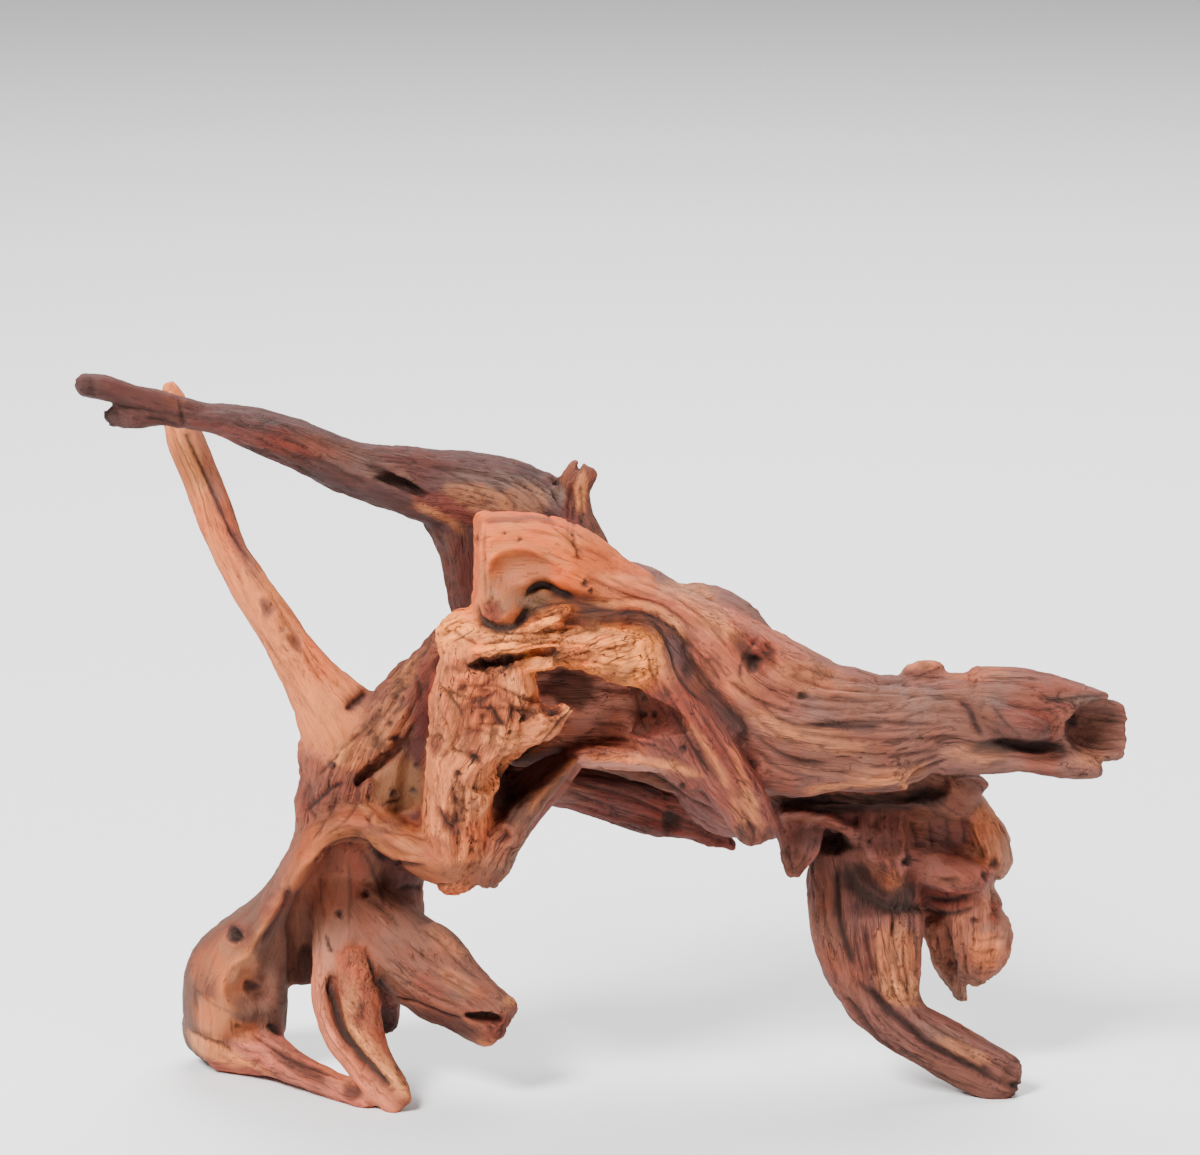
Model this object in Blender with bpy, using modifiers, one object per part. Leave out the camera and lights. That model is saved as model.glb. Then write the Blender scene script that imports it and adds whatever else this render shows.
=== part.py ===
"""A piece of weathered driftwood: a hollowed stump with limbs, roots and a broken pipe-like trunk end.

The wood grew as one piece, so it is one solid. It is drawn as limbs, which are lofts through
elliptical sections. The limbs are joined, the hollows are cut out of them, and the whole is
smoothed as weather has done.

Stations are read off a front view in millimetres. Each one holds
    across   to the right of the middle
    height   up the front view, from the foot that stands furthest forward
    depth    to the back
    width    half of the section across the limb, as the front view shows it
    thick    half of the section from front to back
"""

from math import cos, pi, radians, sin

import bmesh
import bpy
from mathutils import Vector

MM = 0.001
NAME = "driftwood"

# The front view looks down a little and is seen from this far, so depth shows as height too
LOOK_DOWN = radians(12.0)
EYE_DISTANCE = 2400.0
VIEW_CENTRE = (0.0, 216.2)
VIEW_TARGET = (0.0, -35.0, 215.3)

# Sections and the skin, in millimetres where they are lengths
SECTION_SIDES = 24
STATION_SPACING = 3.0
ROUND_END = 0.4
SMOOTHING_LOSS = 0.5
VOXEL = 2.6
SMOOTHING_STEPS = 5
TRIANGLES = 9500

# Lobes round a limb, each as (how many, share of the radius)
LOBES = ((2, 0.025), (3, 0.035), (5, 0.03), (7, 0.015))

# Limbs that are squarer than an ellipse; 1 is an ellipse, less is squarer
SQUARENESS = {"block": 0.72, "block_side": 0.8, "ledge": 0.75, "strap": 0.8, "face": 0.85}

# The wood is worn flat where it stands
WORN_FLAT = 0.8

LIMBS = {
    # The grey-brown branch that reaches up to the left
    "long_branch": [
        (-6, 220, 4, 9, 13),
        (-15, 233, 6, 12.5, 16),
        (-26, 241, 7, 15.5, 17.5),
        (-40, 247.5, 6, 15.5, 17),
        (-54, 250.5, 3, 15.2, 16),
        (-68, 253, 0, 14.6, 15),
        (-80, 256, -4, 13, 13),
        (-90, 258, -7, 11.8, 12),
        (-100, 260.7, -10, 10.6, 11),
        (-110, 264.8, -14, 10.2, 10.5),
        (-120, 269.5, -18, 9.8, 10),
        (-130, 273, -23, 9.2, 9.5),
        (-140, 276.2, -28, 8.3, 8.5),
        (-150, 279.3, -33, 6.3, 7),
        (-160, 280.3, -38, 5.3, 6),
        (-170, 282.5, -43, 6, 6),
        (-180, 285.2, -47, 6.2, 5.8),
        (-190, 289.5, -51, 4.4, 5),
        (-199, 292.2, -55, 4.8, 4.8),
        (-207.5, 293.3, -59, 4.6, 4.6),
    ],
    "long_branch_nub": [
        (-166, 281, -42, 4.5, 5),
        (-176, 281, -45, 4, 5),
        (-186, 280.3, -48, 4.2, 4.8),
        (-194, 280.8, -50, 4, 4),
        (-198, 281, -51, 2.2, 2.6),
    ],
    "branch_root": [
        (-56, 240, 3, 10, 11),
        (-54, 230, 2, 9.5, 11),
        (-53, 221, 1, 9.5, 11),
        (-52, 212, 0, 9, 11),
        (-50, 203, -3, 9, 11),
        (-48, 192, -8, 11, 12),
        (-46, 178, -14, 14, 14),
    ],
    "top_spike": [
        (-3, 224, 6, 6, 10),
        (-9, 240, 7, 5, 9),
        (-10.5, 249, 7, 5.5, 7),
        (-9.5, 255, 6, 6.5, 4.5),
        (-6, 259, 5, 4.5, 2.5),
    ],
    # The pale limb at the far left
    "pale_limb": [
        (-100, 150, -28, 17, 17),
        (-106, 161, -29, 16.5, 17),
        (-114.5, 173.5, -28, 11.8, 12.5),
        (-123.5, 187, -26, 9.4, 10),
        (-130, 197.5, -25, 8.5, 9),
        (-136, 206.5, -24, 8, 8.5),
        (-142, 216, -23, 7.5, 8),
        (-148, 226.5, -21, 6.9, 7.5),
        (-152, 236, -19, 7.3, 7.5),
        (-155, 244, -18, 7.6, 7.5),
        (-158.3, 253, -16, 7.4, 7),
        (-162, 262, -14, 7.3, 7),
        (-165.8, 271, -12, 7.3, 6.8),
        (-168.8, 280, -10, 6, 6),
        (-171, 288, -9, 4.6, 4.8),
        (-172.5, 293.5, -8, 2.6, 3),
    ],
    # The squared block in the upper middle, with its nose and what lies behind it
    "block": [
        (16, 210, -44, 9, 17),
        (6, 214.5, -45, 10, 18),
        (-4, 219.5, -46, 12.5, 20),
        (-15, 223.5, -48, 14.5, 21.5),
        (-27, 225.5, -49, 15.2, 23),
        (-38, 225, -50, 15.5, 23.5),
        (-44, 224, -50, 15.5, 23),
        (-48, 223, -50, 13, 20),
        (-50, 222, -50, 8, 12),
    ],
    "block_side": [
        (-45, 234, -46, 5, 16),
        (-46, 222, -46, 5, 17),
        (-46.5, 210, -46, 4.6, 16),
        (-46, 203, -46, 4, 13),
    ],
    "block_nose": [
        (-38, 224, -58, 11, 14),
        (-39, 214, -63, 11.5, 14),
        (-40, 206, -66, 10.2, 12.5),
        (-40, 200.5, -67, 7.8, 9.5),
        (-40, 197.5, -67, 4.8, 6),
    ],
    "block_back": [
        (-40, 226, -20, 12, 14),
        (-26, 222, -18, 16, 16),
        (-12, 214, -18, 17, 18),
        (4, 207, -20, 15, 20),
        (20, 201, -22, 12, 20),
        (34, 194, -26, 12, 20),
    ],
    "vein_back": [
        (-44, 202, -22, 14, 14),
        (-22, 197, -22, 14, 14),
        (0, 193, -22, 14, 14),
        (20, 189, -24, 13, 14),
        (38, 182, -28, 12, 14),
    ],
    "upper_slab": [
        (-6, 217, -46, 11, 18),
        (8, 213, -47, 8.5, 17),
        (20, 208, -47, 6.5, 17),
        (32, 202, -47, 8.5, 18),
        (42, 195, -46, 12, 20),
        (52, 186, -45, 17, 21),
        (62, 177, -43, 20, 21),
        (72, 171, -39, 20, 20),
        (84, 166, -34, 19, 18),
    ],
    "back_ridge": [
        (-10, 212, 4, 12, 14),
        (6, 211, 2, 11.5, 15),
        (18, 208, 0, 11.5, 16),
        (28, 201.5, -2, 12, 17),
        (40, 201, -5, 12.5, 18),
        (50, 197.3, -9, 12.6, 19),
        (58, 189.5, -14, 12, 20),
        (68, 176, -22, 15, 21),
        (80, 168, -28, 17, 21),
    ],
    "vein_bed": [
        (-36, 207, -42, 9, 12),
        (-24, 206, -46, 8.5, 12),
        (-12, 202.5, -46, 7, 12),
        (0, 201, -47, 7, 12),
        (12, 201, -47, 7, 12),
        (21, 198.5, -48, 6.5, 12),
        (28, 192, -48, 6.5, 12),
        (33, 182, -48, 6.5, 12),
        (40, 173, -48, 6, 12),
        (50, 163, -48, 6, 12),
    ],
    # The trunk to the right, with its broken end
    "trunk": [
        (44, 176, -34, 18, 20),
        (56, 166, -36, 27, 22),
        (68, 161.5, -38, 30, 23),
        (80, 159, -39, 29, 23),
        (90, 157, -40, 26.5, 23),
        (100, 156, -40, 25, 22),
        (110, 154.5, -40, 23.5, 22),
        (120, 156, -40, 22, 21),
        (130, 158.3, -40, 19.5, 20),
        (140, 159.5, -40, 18.8, 19),
        (150, 158.5, -40, 20, 19),
        (160, 159, -40, 20.8, 19),
        (170, 159.3, -40, 20, 18),
        (180, 159, -40, 18, 16),
        (188, 158, -40, 14, 13),
    ],
    "trunk_lip": [
        (66, 140, -50, 9, 12),
        (78, 137, -52, 8.5, 10),
        (92, 139.5, -52, 8.5, 10),
        (106, 140, -52, 8.8, 10),
        (118, 140, -52, 8.8, 10),
        (121.5, 139.5, -52, 7.5, 8),
    ],
    "trunk_beak": [
        (150, 171, -40, 9, 16),
        (168, 171.5, -40, 8, 14),
        (182, 171, -42, 5.5, 10),
        (193, 170, -43, 3.2, 6),
        (204, 168.8, -44, 0.9, 2),
    ],
    "trunk_pipe": [
        (168, 156, -38, 13, 14),
        (182, 155.5, -38, 12.6, 13),
        (194, 155, -38, 12.3, 12.5),
        (203, 154.7, -38, 12, 12),
        (207, 154.5, -38, 10.8, 10.8),
    ],
    "trunk_finger": [
        (138, 147, -44, 9, 13),
        (152, 145, -46, 7, 11),
        (168, 144, -47, 5, 9),
        (180, 142.5, -48, 5, 8),
        (187, 142.5, -49, 6, 7),
        (194, 140.5, -50, 4.4, 5.5),
        (200.5, 138.8, -50, 2.2, 3),
    ],
    "trunk_knuckle": [
        (152, 164, -50, 7, 8),
        (162, 160.5, -56, 6.5, 8),
        (171, 157, -60, 5.6, 7),
        (178, 155, -61, 4, 5),
    ],
    "trunk_stub": [
        (123, 178, -36, 3, 5),
        (130, 178.6, -36, 3.6, 6),
        (136.5, 178.8, -36, 3.2, 5),
    ],
    # The ledge under the dark vein and the wall of the middle hollow
    "ledge": [
        (-62, 190, -40, 7, 12),
        (-56, 192.5, -48, 10, 18),
        (-44, 191.5, -56, 9, 20),
        (-30, 191, -59, 8.5, 19),
        (-14, 190, -60, 8.5, 18),
        (0, 188.5, -60, 9, 17),
        (9, 186.5, -59, 10, 16),
        (13.5, 185, -58, 10, 14),
        (14.5, 184.5, -57, 7, 9),
    ],
    "inner_wall": [
        (-36, 164, -16, 24, 12),
        (-14, 166, -12, 26, 12),
        (6, 166, -13, 26, 13),
        (22, 164, -24, 25, 14),
        (36, 160, -34, 22, 15),
        (50, 156, -38, 18, 16),
    ],
    "rear_wall": [
        (-52, 168, -10, 22, 14),
        (-30, 170, -5, 25, 14),
        (-8, 168, -3, 26, 14),
        (18, 161, -2, 25, 14),
        (46, 152, -4, 24, 15),
        (76, 146, -8, 21, 17),
        (104, 142, -10, 18, 17),
        (128, 137, -9, 14, 15),
        (144, 128, -3, 11, 14),
    ],
    "rear_rib": [
        (-44, 200, 0, 8, 9),
        (-30, 192, 5, 7, 8),
        (-8, 185, 8, 6.5, 7),
        (18, 176, 9, 6, 7),
        (46, 168, 8, 6, 7),
        (76, 158, 5, 6, 7),
        (104, 148, 4, 5, 7),
    ],
    "rear_root": [
        (-52, 150, -2, 8, 10),
        (-34, 148, 6, 8, 9),
        (-6, 146, 9, 7, 7),
        (26, 140, 10, 7, 7),
        (58, 134, 9, 6.5, 7),
        (88, 128, 10, 6, 7),
        (112, 118, 12, 6, 8),
        (126, 106, 14, 5, 8),
    ],
    "inner_sill": [
        (-12, 145, -30, 3, 14),
        (2, 145, -30, 3.4, 16),
        (16, 144, -32, 3.6, 17),
        (30, 141.5, -36, 4, 16),
        (42, 137.5, -40, 5, 14),
        (50, 134, -42, 5, 12),
    ],
    "strap": [
        (20, 194, -52, 6.5, 9),
        (21.5, 187, -55, 7.5, 10),
        (24, 179, -58, 8.6, 10),
        (29, 170, -60, 8.8, 9),
        (35, 160.5, -62, 9.6, 8.5),
        (42, 149.5, -64, 10.4, 8),
        (49.5, 138, -66, 10, 7.5),
        (56, 128, -67, 8, 7),
        (61, 120, -67, 6.2, 6),
        (65, 114, -67, 4.8, 5),
    ],
    "strap_back": [
        (8, 182, -44, 8, 12),
        (13, 170, -46, 10, 12),
        (22, 158, -48, 11, 12),
        (32, 146, -50, 10, 10),
        (42, 136, -52, 8, 8),
    ],
    "keel": [
        (-40, 140, 0, 12, 12),
        (-28, 137, 4, 11, 13),
        (-10, 134, 8, 10.5, 13),
        (8, 130, 10, 13, 12),
        (24, 126, 10, 14, 11),
        (36, 121, 9, 10, 9),
        (46, 114, 8, 5.5, 6),
        (54, 107.6, 6, 1.2, 2),
    ],
    "tooth": [
        (78, 122, -8, 9, 12),
        (79, 115, -18, 9, 11),
        (79, 108, -24, 7.6, 9),
        (77.5, 101.5, -26, 4.8, 7),
        (76.8, 97, -26, 2.6, 3.4),
    ],
    # The rugged face and the chin below it
    "face": [
        (-47, 190, -52, 15, 20),
        (-46, 180, -57, 19, 23),
        (-46, 168, -59, 21.5, 26),
        (-48, 156, -59, 20, 26),
        (-53, 144, -57, 16, 25),
        (-56, 132, -54, 14, 23),
        (-57, 120, -51, 14, 21),
        (-57, 108, -48, 13, 19),
        (-58, 100, -46, 10, 15),
        (-59, 95, -44, 6, 10),
    ],
    "beak": [
        (-46, 160, -64, 15, 16),
        (-34, 156.5, -69, 13, 13),
        (-24, 156, -72, 9, 10),
        (-17, 158, -73, 6, 7),
        (-12.5, 162, -73, 3.2, 4),
        (-10.3, 166, -72, 1.3, 1.8),
    ],
    "chin": [
        (-10, 143.5, -46, 1.8, 4),
        (-17, 136.5, -49, 3, 7),
        (-25, 128.5, -52, 4.5, 10),
        (-33, 120, -54, 6, 13),
        (-38, 112, -54, 7, 15),
        (-43, 103, -52, 7, 14),
        (-45, 98.5, -50, 5.5, 11),
    ],
    "chin_core": [
        (-50, 136, -40, 10, 20),
        (-47, 124, -38, 12, 22),
        (-47, 112, -38, 12, 22),
        (-50, 101, -40, 9, 17),
    ],
    # The left body with its window, and the hood over the foot
    "left_body": [
        (-60, 192, -30, 6.5, 14),
        (-66, 184, -29, 7.2, 16),
        (-74, 172, -29, 10, 18),
        (-82, 160, -29, 15, 20),
        (-89, 148, -29, 20, 21),
        (-94, 136, -29, 23.5, 21),
        (-97, 125, -28, 24.5, 20),
        (-98, 117, -28, 23, 18),
    ],
    "left_join": [
        (-68, 184, -32, 7, 14),
        (-70, 170, -30, 12, 17),
        (-70, 154, -28, 14, 18),
        (-70, 138, -28, 15, 18),
        (-70, 122, -28, 15, 18),
        (-70, 108, -30, 12, 16),
    ],
    "left_edge": [
        (-111, 150, -28, 9, 14),
        (-111, 138, -28, 8, 14),
        (-112.5, 126, -28, 9, 14),
        (-113, 116, -28, 8.5, 14),
        (-117, 107, -28, 7, 14),
        (-122.5, 98, -27, 5.5, 14),
        (-128, 90, -24, 5, 14),
    ],
    "hood": [
        (-122, 97, -32, 5, 14),
        (-116, 107, -36, 6, 15),
        (-108, 115, -39, 7, 16),
        (-97, 119, -43, 6.5, 17),
        (-87, 115, -46, 7.5, 18),
        (-77, 109.5, -48, 8, 18),
        (-67, 103.5, -50, 8.5, 18),
        (-59, 99, -50, 7, 15),
    ],
    # The heel, which is a smooth knuckle, and the root that runs forward from it
    "heel": [
        (-113, 116, -26, 7, 14),
        (-118.5, 107, -27, 5.5, 14),
        (-124, 97.5, -24, 5.5, 15),
        (-130, 87.5, -20, 6.5, 16),
        (-136.5, 78, -15, 9.5, 18),
        (-143, 69, -10, 13.5, 20),
        (-148.5, 58.5, -5, 17.5, 22),
        (-149.8, 48, -1, 18, 23),
        (-149.8, 41, 3, 17.5, 22),
        (-149.8, 35.5, 8, 17.8, 19),
        (-149, 29.5, 12.5, 13.5, 12.5),
    ],
    "heel_inner": [
        (-132, 82, -14, 6, 12),
        (-132, 70, -8, 7, 14),
        (-132.5, 58, -5, 7.5, 16),
        (-132.5, 46, -3, 7.5, 15),
        (-134, 36, -2, 8, 14),
    ],
    "heel_root": [
        (-148, 31, 0, 14, 16),
        (-139, 28, -8, 11, 14),
        (-130, 24.5, -17, 8, 11),
        (-122, 20, -27, 6, 8.5),
        (-113, 16, -36, 5.4, 7),
        (-104, 12, -44, 5, 6),
        (-96, 8.8, -51, 4.8, 5.2),
        (-91, 6.8, -55, 4, 4.4),
    ],
    # The forked foot in the middle of the left cluster
    "foot_stem": [
        (-97, 124, -20, 16, 13),
        (-99, 112, -10, 16, 13),
        (-101, 100, -6, 15, 12),
        (-102, 88, -9, 14, 12),
        (-103, 76, -14, 12, 12),
        (-104, 66, -19, 10.5, 11),
        (-104, 57, -24, 10, 11),
    ],
    "foot_toe_left": [
        (-109, 62, -20, 5.5, 9),
        (-110.3, 52, -26, 5, 9),
        (-109.5, 42, -34, 4.6, 8),
        (-105.5, 33, -41, 4.6, 7.5),
        (-99.5, 24.5, -48, 4.6, 7),
        (-92.5, 15.5, -54, 4.3, 6),
        (-85.5, 7.5, -59, 3.8, 5),
        (-81, 3.2, -61, 3, 3.8),
    ],
    "foot_toe_right": [
        (-99, 64, -26, 7, 10),
        (-97, 54, -33, 7.5, 10),
        (-95.5, 44, -39, 7.3, 9.5),
        (-93.5, 35, -45, 6.3, 9),
        (-90, 26.5, -51, 5.6, 8),
        (-85.5, 18.5, -55, 4.8, 7),
        (-80.5, 11, -59, 4.2, 5.5),
        (-77.8, 6.8, -61, 3.2, 4),
    ],
    "foot_left_wall": [
        (-112, 116, -16, 8, 13),
        (-118, 103, -7, 7, 12),
        (-121, 90, -1, 7, 11),
        (-121, 76, 3, 7, 10),
        (-120, 64, 4, 7, 9),
        (-120, 56, 4, 6, 8),
    ],
    "foot_back_wall": [
        (-74, 126, -16, 14, 14),
        (-78, 114, -4, 13, 13),
        (-81, 102, 3, 12, 12),
        (-82.5, 90, 2, 12, 12),
        (-82, 80, 0, 12, 12),
        (-85, 66, -4, 11, 12),
        (-86, 54, -3, 7, 9),
        (-85.5, 44, -1, 5.8, 6),
        (-85.5, 37, 0, 4.4, 4.5),
    ],
    # The short branch with a cut end, to the right of the foot
    "cut_branch": [
        (-98, 86, -10, 13, 12),
        (-86, 74, -14, 15.5, 14),
        (-74, 62.5, -20, 17, 14),
        (-62, 53, -28, 16, 13),
        (-52, 46, -35, 13.5, 12),
        (-44, 40.5, -41, 12, 11),
        (-40, 37.5, -44, 10.5, 9.5),
    ],
    "cut_branch_fin": [
        (-74, 72, -18, 7, 9),
        (-66, 68, -23, 7, 9),
        (-57, 59, -29, 6.5, 7),
        (-46, 51, -34, 4.5, 5),
        (-38, 47.5, -37, 2.6, 3.5),
        (-33.5, 46, -39, 1.2, 2),
    ],
    # The right leg and the dark mass above and behind it
    "leg": [
        (104, 106, -4, 20, 15),
        (105, 96, -10, 23, 16),
        (106, 86, -15, 23.6, 16),
        (107, 76, -20, 23.6, 16),
        (108.5, 66, -25, 21.5, 15),
        (111, 56, -29, 18.8, 14),
        (114.5, 46.5, -32, 14.8, 13),
        (122, 37, -35, 11.2, 12),
        (131, 31.5, -36, 11, 11),
        (140, 26, -36, 11.2, 10),
        (151, 19.8, -37, 10.9, 9),
        (160, 15, -38, 10.9, 8),
        (163.5, 13.4, -38, 10, 7),
    ],
    "under_wall": [
        (34, 136, -8, 6, 13),
        (46, 126, -6, 10, 13),
        (58, 122, -4, 9.5, 13),
        (70, 122, -3, 9, 14),
        (84, 124, 0, 8.5, 16),
        (98, 124.5, 4, 11, 17),
        (112, 123, 6, 15, 18),
        (126, 121.5, 7, 17, 18),
        (138, 119, 7, 16, 18),
        (148, 113, 6, 11, 14),
    ],
    "under_core": [
        (84, 118, 6, 9, 12),
        (98, 112, 8, 14, 14),
        (114, 104, 8, 16, 15),
        (130, 98, 6, 16, 15),
        (142, 92, 4, 12, 14),
    ],
    "under_tip": [
        (126, 135, 2, 10, 14),
        (138, 135, -2, 9, 13),
        (146, 134, -6, 6, 10),
        (151, 133.5, -7, 3.6, 6),
        (155.5, 133, -8, 1.2, 2.4),
    ],
    "under_tooth": [
        (110, 120, -6, 12, 12),
        (110.5, 112, -13, 9.5, 10),
        (112.5, 104, -20, 8.5, 8.5),
        (116.5, 97, -24, 6, 7),
        (119.4, 92.4, -25, 2.6, 3.4),
    ],
    "under_lump": [
        (122, 112, -6, 10, 10),
        (131, 104, -10, 9, 11),
        (140, 98.5, -12, 8, 11),
        (148, 97.5, -10, 7, 10),
        (152, 98, -6, 5, 8),
    ],
    "shoulder": [
        (146, 131, 2, 4, 9),
        (150, 122, 1, 6, 10),
        (154.5, 113, 0, 7, 11),
        (157.5, 105, 0, 6.6, 11),
        (157, 98, 0, 5, 8),
    ],
    "knee": [
        (146, 108, 2, 9, 13),
        (145, 98, 0, 10.5, 14),
        (147, 90, -1, 10.5, 15),
        (149.5, 80, -1, 12, 15),
        (150.5, 71, 0, 13, 14),
        (149, 63, 1, 10.5, 11),
        (146.5, 58.5, 1, 6, 8),
    ],
    "knee_spike": [
        (137, 80, 4, 9, 11),
        (139, 68, 5, 8, 9),
        (140.5, 60, 5, 6, 7),
        (143, 53, 4, 3.8, 5),
        (145.6, 47, 3, 1.4, 2),
    ],
}

HOLLOWS = {
    "branch_slot": [
        (-92, 258, -22, 0.8, 3),
        (-84, 255.5, -20, 2.4, 6),
        (-76, 252.5, -16, 2.8, 6),
        (-68, 248, -15, 1.2, 4),
    ],
    "scoop": [
        (-46.5, 206, -81, 3, 5),
        (-43, 211, -81, 6.5, 7.5),
        (-37, 217, -81, 8.5, 8.5),
        (-30, 221, -79.5, 7, 7.5),
        (-24, 223, -78, 3, 5),
    ],
    "vein_mouth": [
        (-29, 207, -76, 3, 8),
        (-25, 210.5, -74, 5.5, 11),
        (-19, 210.5, -72, 5, 10),
        (-13, 206.5, -70, 3.6, 8),
        (-6, 203.5, -69, 3, 6),
    ],
    "vein": [
        (-14, 204.5, -70, 4, 8),
        (0, 201.2, -70, 3.8, 8),
        (12, 201.4, -70, 3.6, 8),
        (21, 198.8, -70, 3.5, 8),
        (28, 192, -70, 3.4, 8),
        (33, 182, -70, 3, 7),
        (39, 174, -70, 2.2, 6),
        (46, 166, -70, 1.4, 4),
    ],
    "fissure": [
        (-53, 181.5, -84, 1.2, 8),
        (-44, 181, -84, 2.4, 12),
        (-34, 184, -84, 2.2, 12),
        (-24, 187, -82, 1.4, 9),
    ],
    "middle_hollow": [
        (-24, 170, -62, 5, 20),
        (-14, 168.5, -54, 12, 28),
        (-2, 166, -50, 15, 24),
        (10, 163, -56, 12, 18),
        (18, 160, -62, 6, 10),
    ],
    "under_beak": [
        (-44, 127, -74, 4.5, 14),
        (-38, 132, -76, 6.5, 20),
        (-27, 139, -72, 6, 26),
        (-14, 147, -62, 5, 26),
    ],
    "pipe_bore": [
        (190, 155, -44, 8, 8),
        (197, 155, -46, 10, 12),
        (206, 154.7, -49, 10.4, 14),
        (216, 154.5, -52, 10.4, 14),
    ],
    "under_knuckle": [
        (152, 150, -66, 2, 6),
        (163, 148.5, -65, 3, 9),
        (176, 148.5, -63, 3.6, 10),
        (186, 150, -60, 3, 8),
    ],
    "window": [
        (-74, 160, -62, 4, 12),
        (-77, 150, -60, 7, 14),
        (-83, 138, -60, 12, 14),
        (-84, 128, -60, 11, 14),
        (-82, 121, -62, 7, 10),
    ],
    "hood_hollow": [
        (-103, 106, -46, 10, 18),
        (-104, 94, -42, 15, 22),
        (-106, 80, -42, 16, 20),
        (-112, 66, -42, 10, 16),
    ],
    "hood_shadow": [
        (-94, 99, -44, 8, 20),
        (-84, 94, -38, 10, 22),
        (-73, 89, -34, 9, 22),
        (-62, 86, -32, 6, 18),
    ],
    "heel_knot": [
        (-143, 57, -36, 4, 8),
        (-140, 52, -34, 7, 10),
        (-137, 47, -34, 4, 8),
    ],
    "branch_end_slot": [
        (-56, 41, -50, 0.8, 3),
        (-50, 40.5, -50, 2, 6),
        (-44, 39.5, -53, 2.6, 8),
        (-38, 37.5, -58, 2.4, 8),
    ],
    "lip_hollow": [
        (58, 126, -32, 4, 12),
        (74, 126.5, -34, 5, 18),
        (92, 128, -34, 7, 20),
        (110, 129, -34, 8.5, 20),
        (126, 131, -34, 9, 20),
        (140, 133, -34, 7, 18),
    ],
    "leg_cavern": [
        (90, 110, -34, 4, 12),
        (98, 107, -34, 7, 16),
        (108, 97, -38, 7, 16),
        (119, 90, -40, 6, 14),
        (130, 86, -38, 3.5, 10),
    ],
    "knee_gap": [
        (133, 76, -26, 2, 10),
        (133.5, 68, -24, 3, 14),
        (132, 60, -22, 3, 14),
    ],
}


def place(across, height, depth):
    """A point of the front view at a depth, as a point in space in metres."""
    right = Vector((1, 0, 0))
    up = Vector((0, sin(LOOK_DOWN), cos(LOOK_DOWN)))
    ahead = Vector((0, cos(LOOK_DOWN), -sin(LOOK_DOWN)))
    eye = Vector(VIEW_TARGET) - ahead * EYE_DISTANCE
    sight = (
        ahead * EYE_DISTANCE
        + right * (across - VIEW_CENTRE[0])
        + up * (height - VIEW_CENTRE[1])
    )
    return (eye + sight * ((depth - eye.y) / sight.y)) * MM


def spline(points, step):
    """Catmull-Rom samples through rows of numbers whose first three are the position."""
    rows = [Vector(p) for p in points]
    rows = [rows[0] * 2 - rows[1], *rows, rows[-1] * 2 - rows[-2]]
    out = []
    for a, b, c, d in zip(rows, rows[1:], rows[2:], rows[3:]):
        gap = (Vector(b[:3]) - Vector(c[:3])).length
        count = max(1, round(gap / step))
        for i in range(count):
            t = i / count
            out.append(
                0.5
                * (
                    2 * b
                    + (c - a) * t
                    + (2 * a - 5 * b + 4 * c - d) * t * t
                    + (3 * b - a - 3 * c + d) * t * t * t
                )
            )
    out.append(rows[-2])
    return out


def limb_rows(stations):
    """Samples of (x, y, z, half width, half thickness) along a limb, in metres."""
    rows = []
    for across, height, depth, width, thick in stations:
        x, y, z = place(across, height, depth)
        rows.append((x, y, z, (width + SMOOTHING_LOSS) * MM, (thick + SMOOTHING_LOSS) * MM))
    return spline(rows, STATION_SPACING * MM)


def lobed(turn, along, phase):
    """How far out a limb reaches at a turn round it, as a share of its ellipse."""
    reach = 1.0
    for count, share in LOBES:
        reach += share * cos(count * turn + phase * count + along * (0.4 + 0.1 * count))
    return reach


def squared(value, power):
    """A sine or cosine made squarer, with its sign kept."""
    return abs(value) ** power * (1 if value >= 0 else -1)


def loft(bm, stations, phase=0.0, power=1.0, lobes=True):
    """Adds one closed loft with rounded ends through a limb's stations."""
    rows = limb_rows(stations)
    centres = [Vector(r[:3]) for r in rows]
    view = Vector((0, cos(LOOK_DOWN), -sin(LOOK_DOWN)))
    rings = []
    last = len(rows) - 1
    run = 0.0
    for i, row in enumerate(rows):
        along = (centres[min(i + 1, last)] - centres[max(i - 1, 0)]).normalized()
        side = view.cross(along).normalized()
        front = along.cross(side)
        if i:
            run += (centres[i] - centres[i - 1]).length / (row[3] + row[4])
        shrinks = [(0, 1)]
        if i in (0, last):
            sign = 1 if i == last else -1
            bulge = ROUND_END * row[3]
            shrinks = [(sign * bulge * sin(a), cos(a)) for a in (0, pi / 6, pi / 3)]
            if i == 0:
                shrinks.reverse()
        for shift, scale in shrinks:
            middle = centres[i] + along * shift
            ring = []
            for k in range(SECTION_SIDES):
                turn = 2 * pi * k / SECTION_SIDES
                offset = side * (squared(cos(turn), power) * row[3])
                offset += front * (squared(sin(turn), power) * row[4])
                if lobes:
                    offset *= lobed(turn, run, phase)
                ring.append(bm.verts.new(middle + offset * scale))
            rings.append(ring)
    for near, far in zip(rings, rings[1:]):
        for k in range(SECTION_SIDES):
            j = (k + 1) % SECTION_SIDES
            bm.faces.new((near[k], near[j], far[j], far[k]))
    bm.faces.new(rings[0][::-1])
    bm.faces.new(rings[-1])


def lofts_object(name, table, collection, lobes=True):
    """One object that holds a loft for each entry of a table."""
    bm = bmesh.new()
    for number, (limb, stations) in enumerate(table.items()):
        loft(bm, stations, 1.7 * number, SQUARENESS.get(limb, 1.0), lobes)
    bmesh.ops.recalc_face_normals(bm, faces=bm.faces)
    mesh = bpy.data.meshes.new(name)
    bm.to_mesh(mesh)
    bm.free()
    thing = bpy.data.objects.new(name, mesh)
    collection.objects.link(thing)
    return thing


def remesh(thing, voxel):
    """Joins what overlaps into one skin of even squares."""
    modifier = thing.modifiers.new("Join", "REMESH")
    modifier.mode = "VOXEL"
    modifier.voxel_size = voxel * MM
    return modifier


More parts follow.
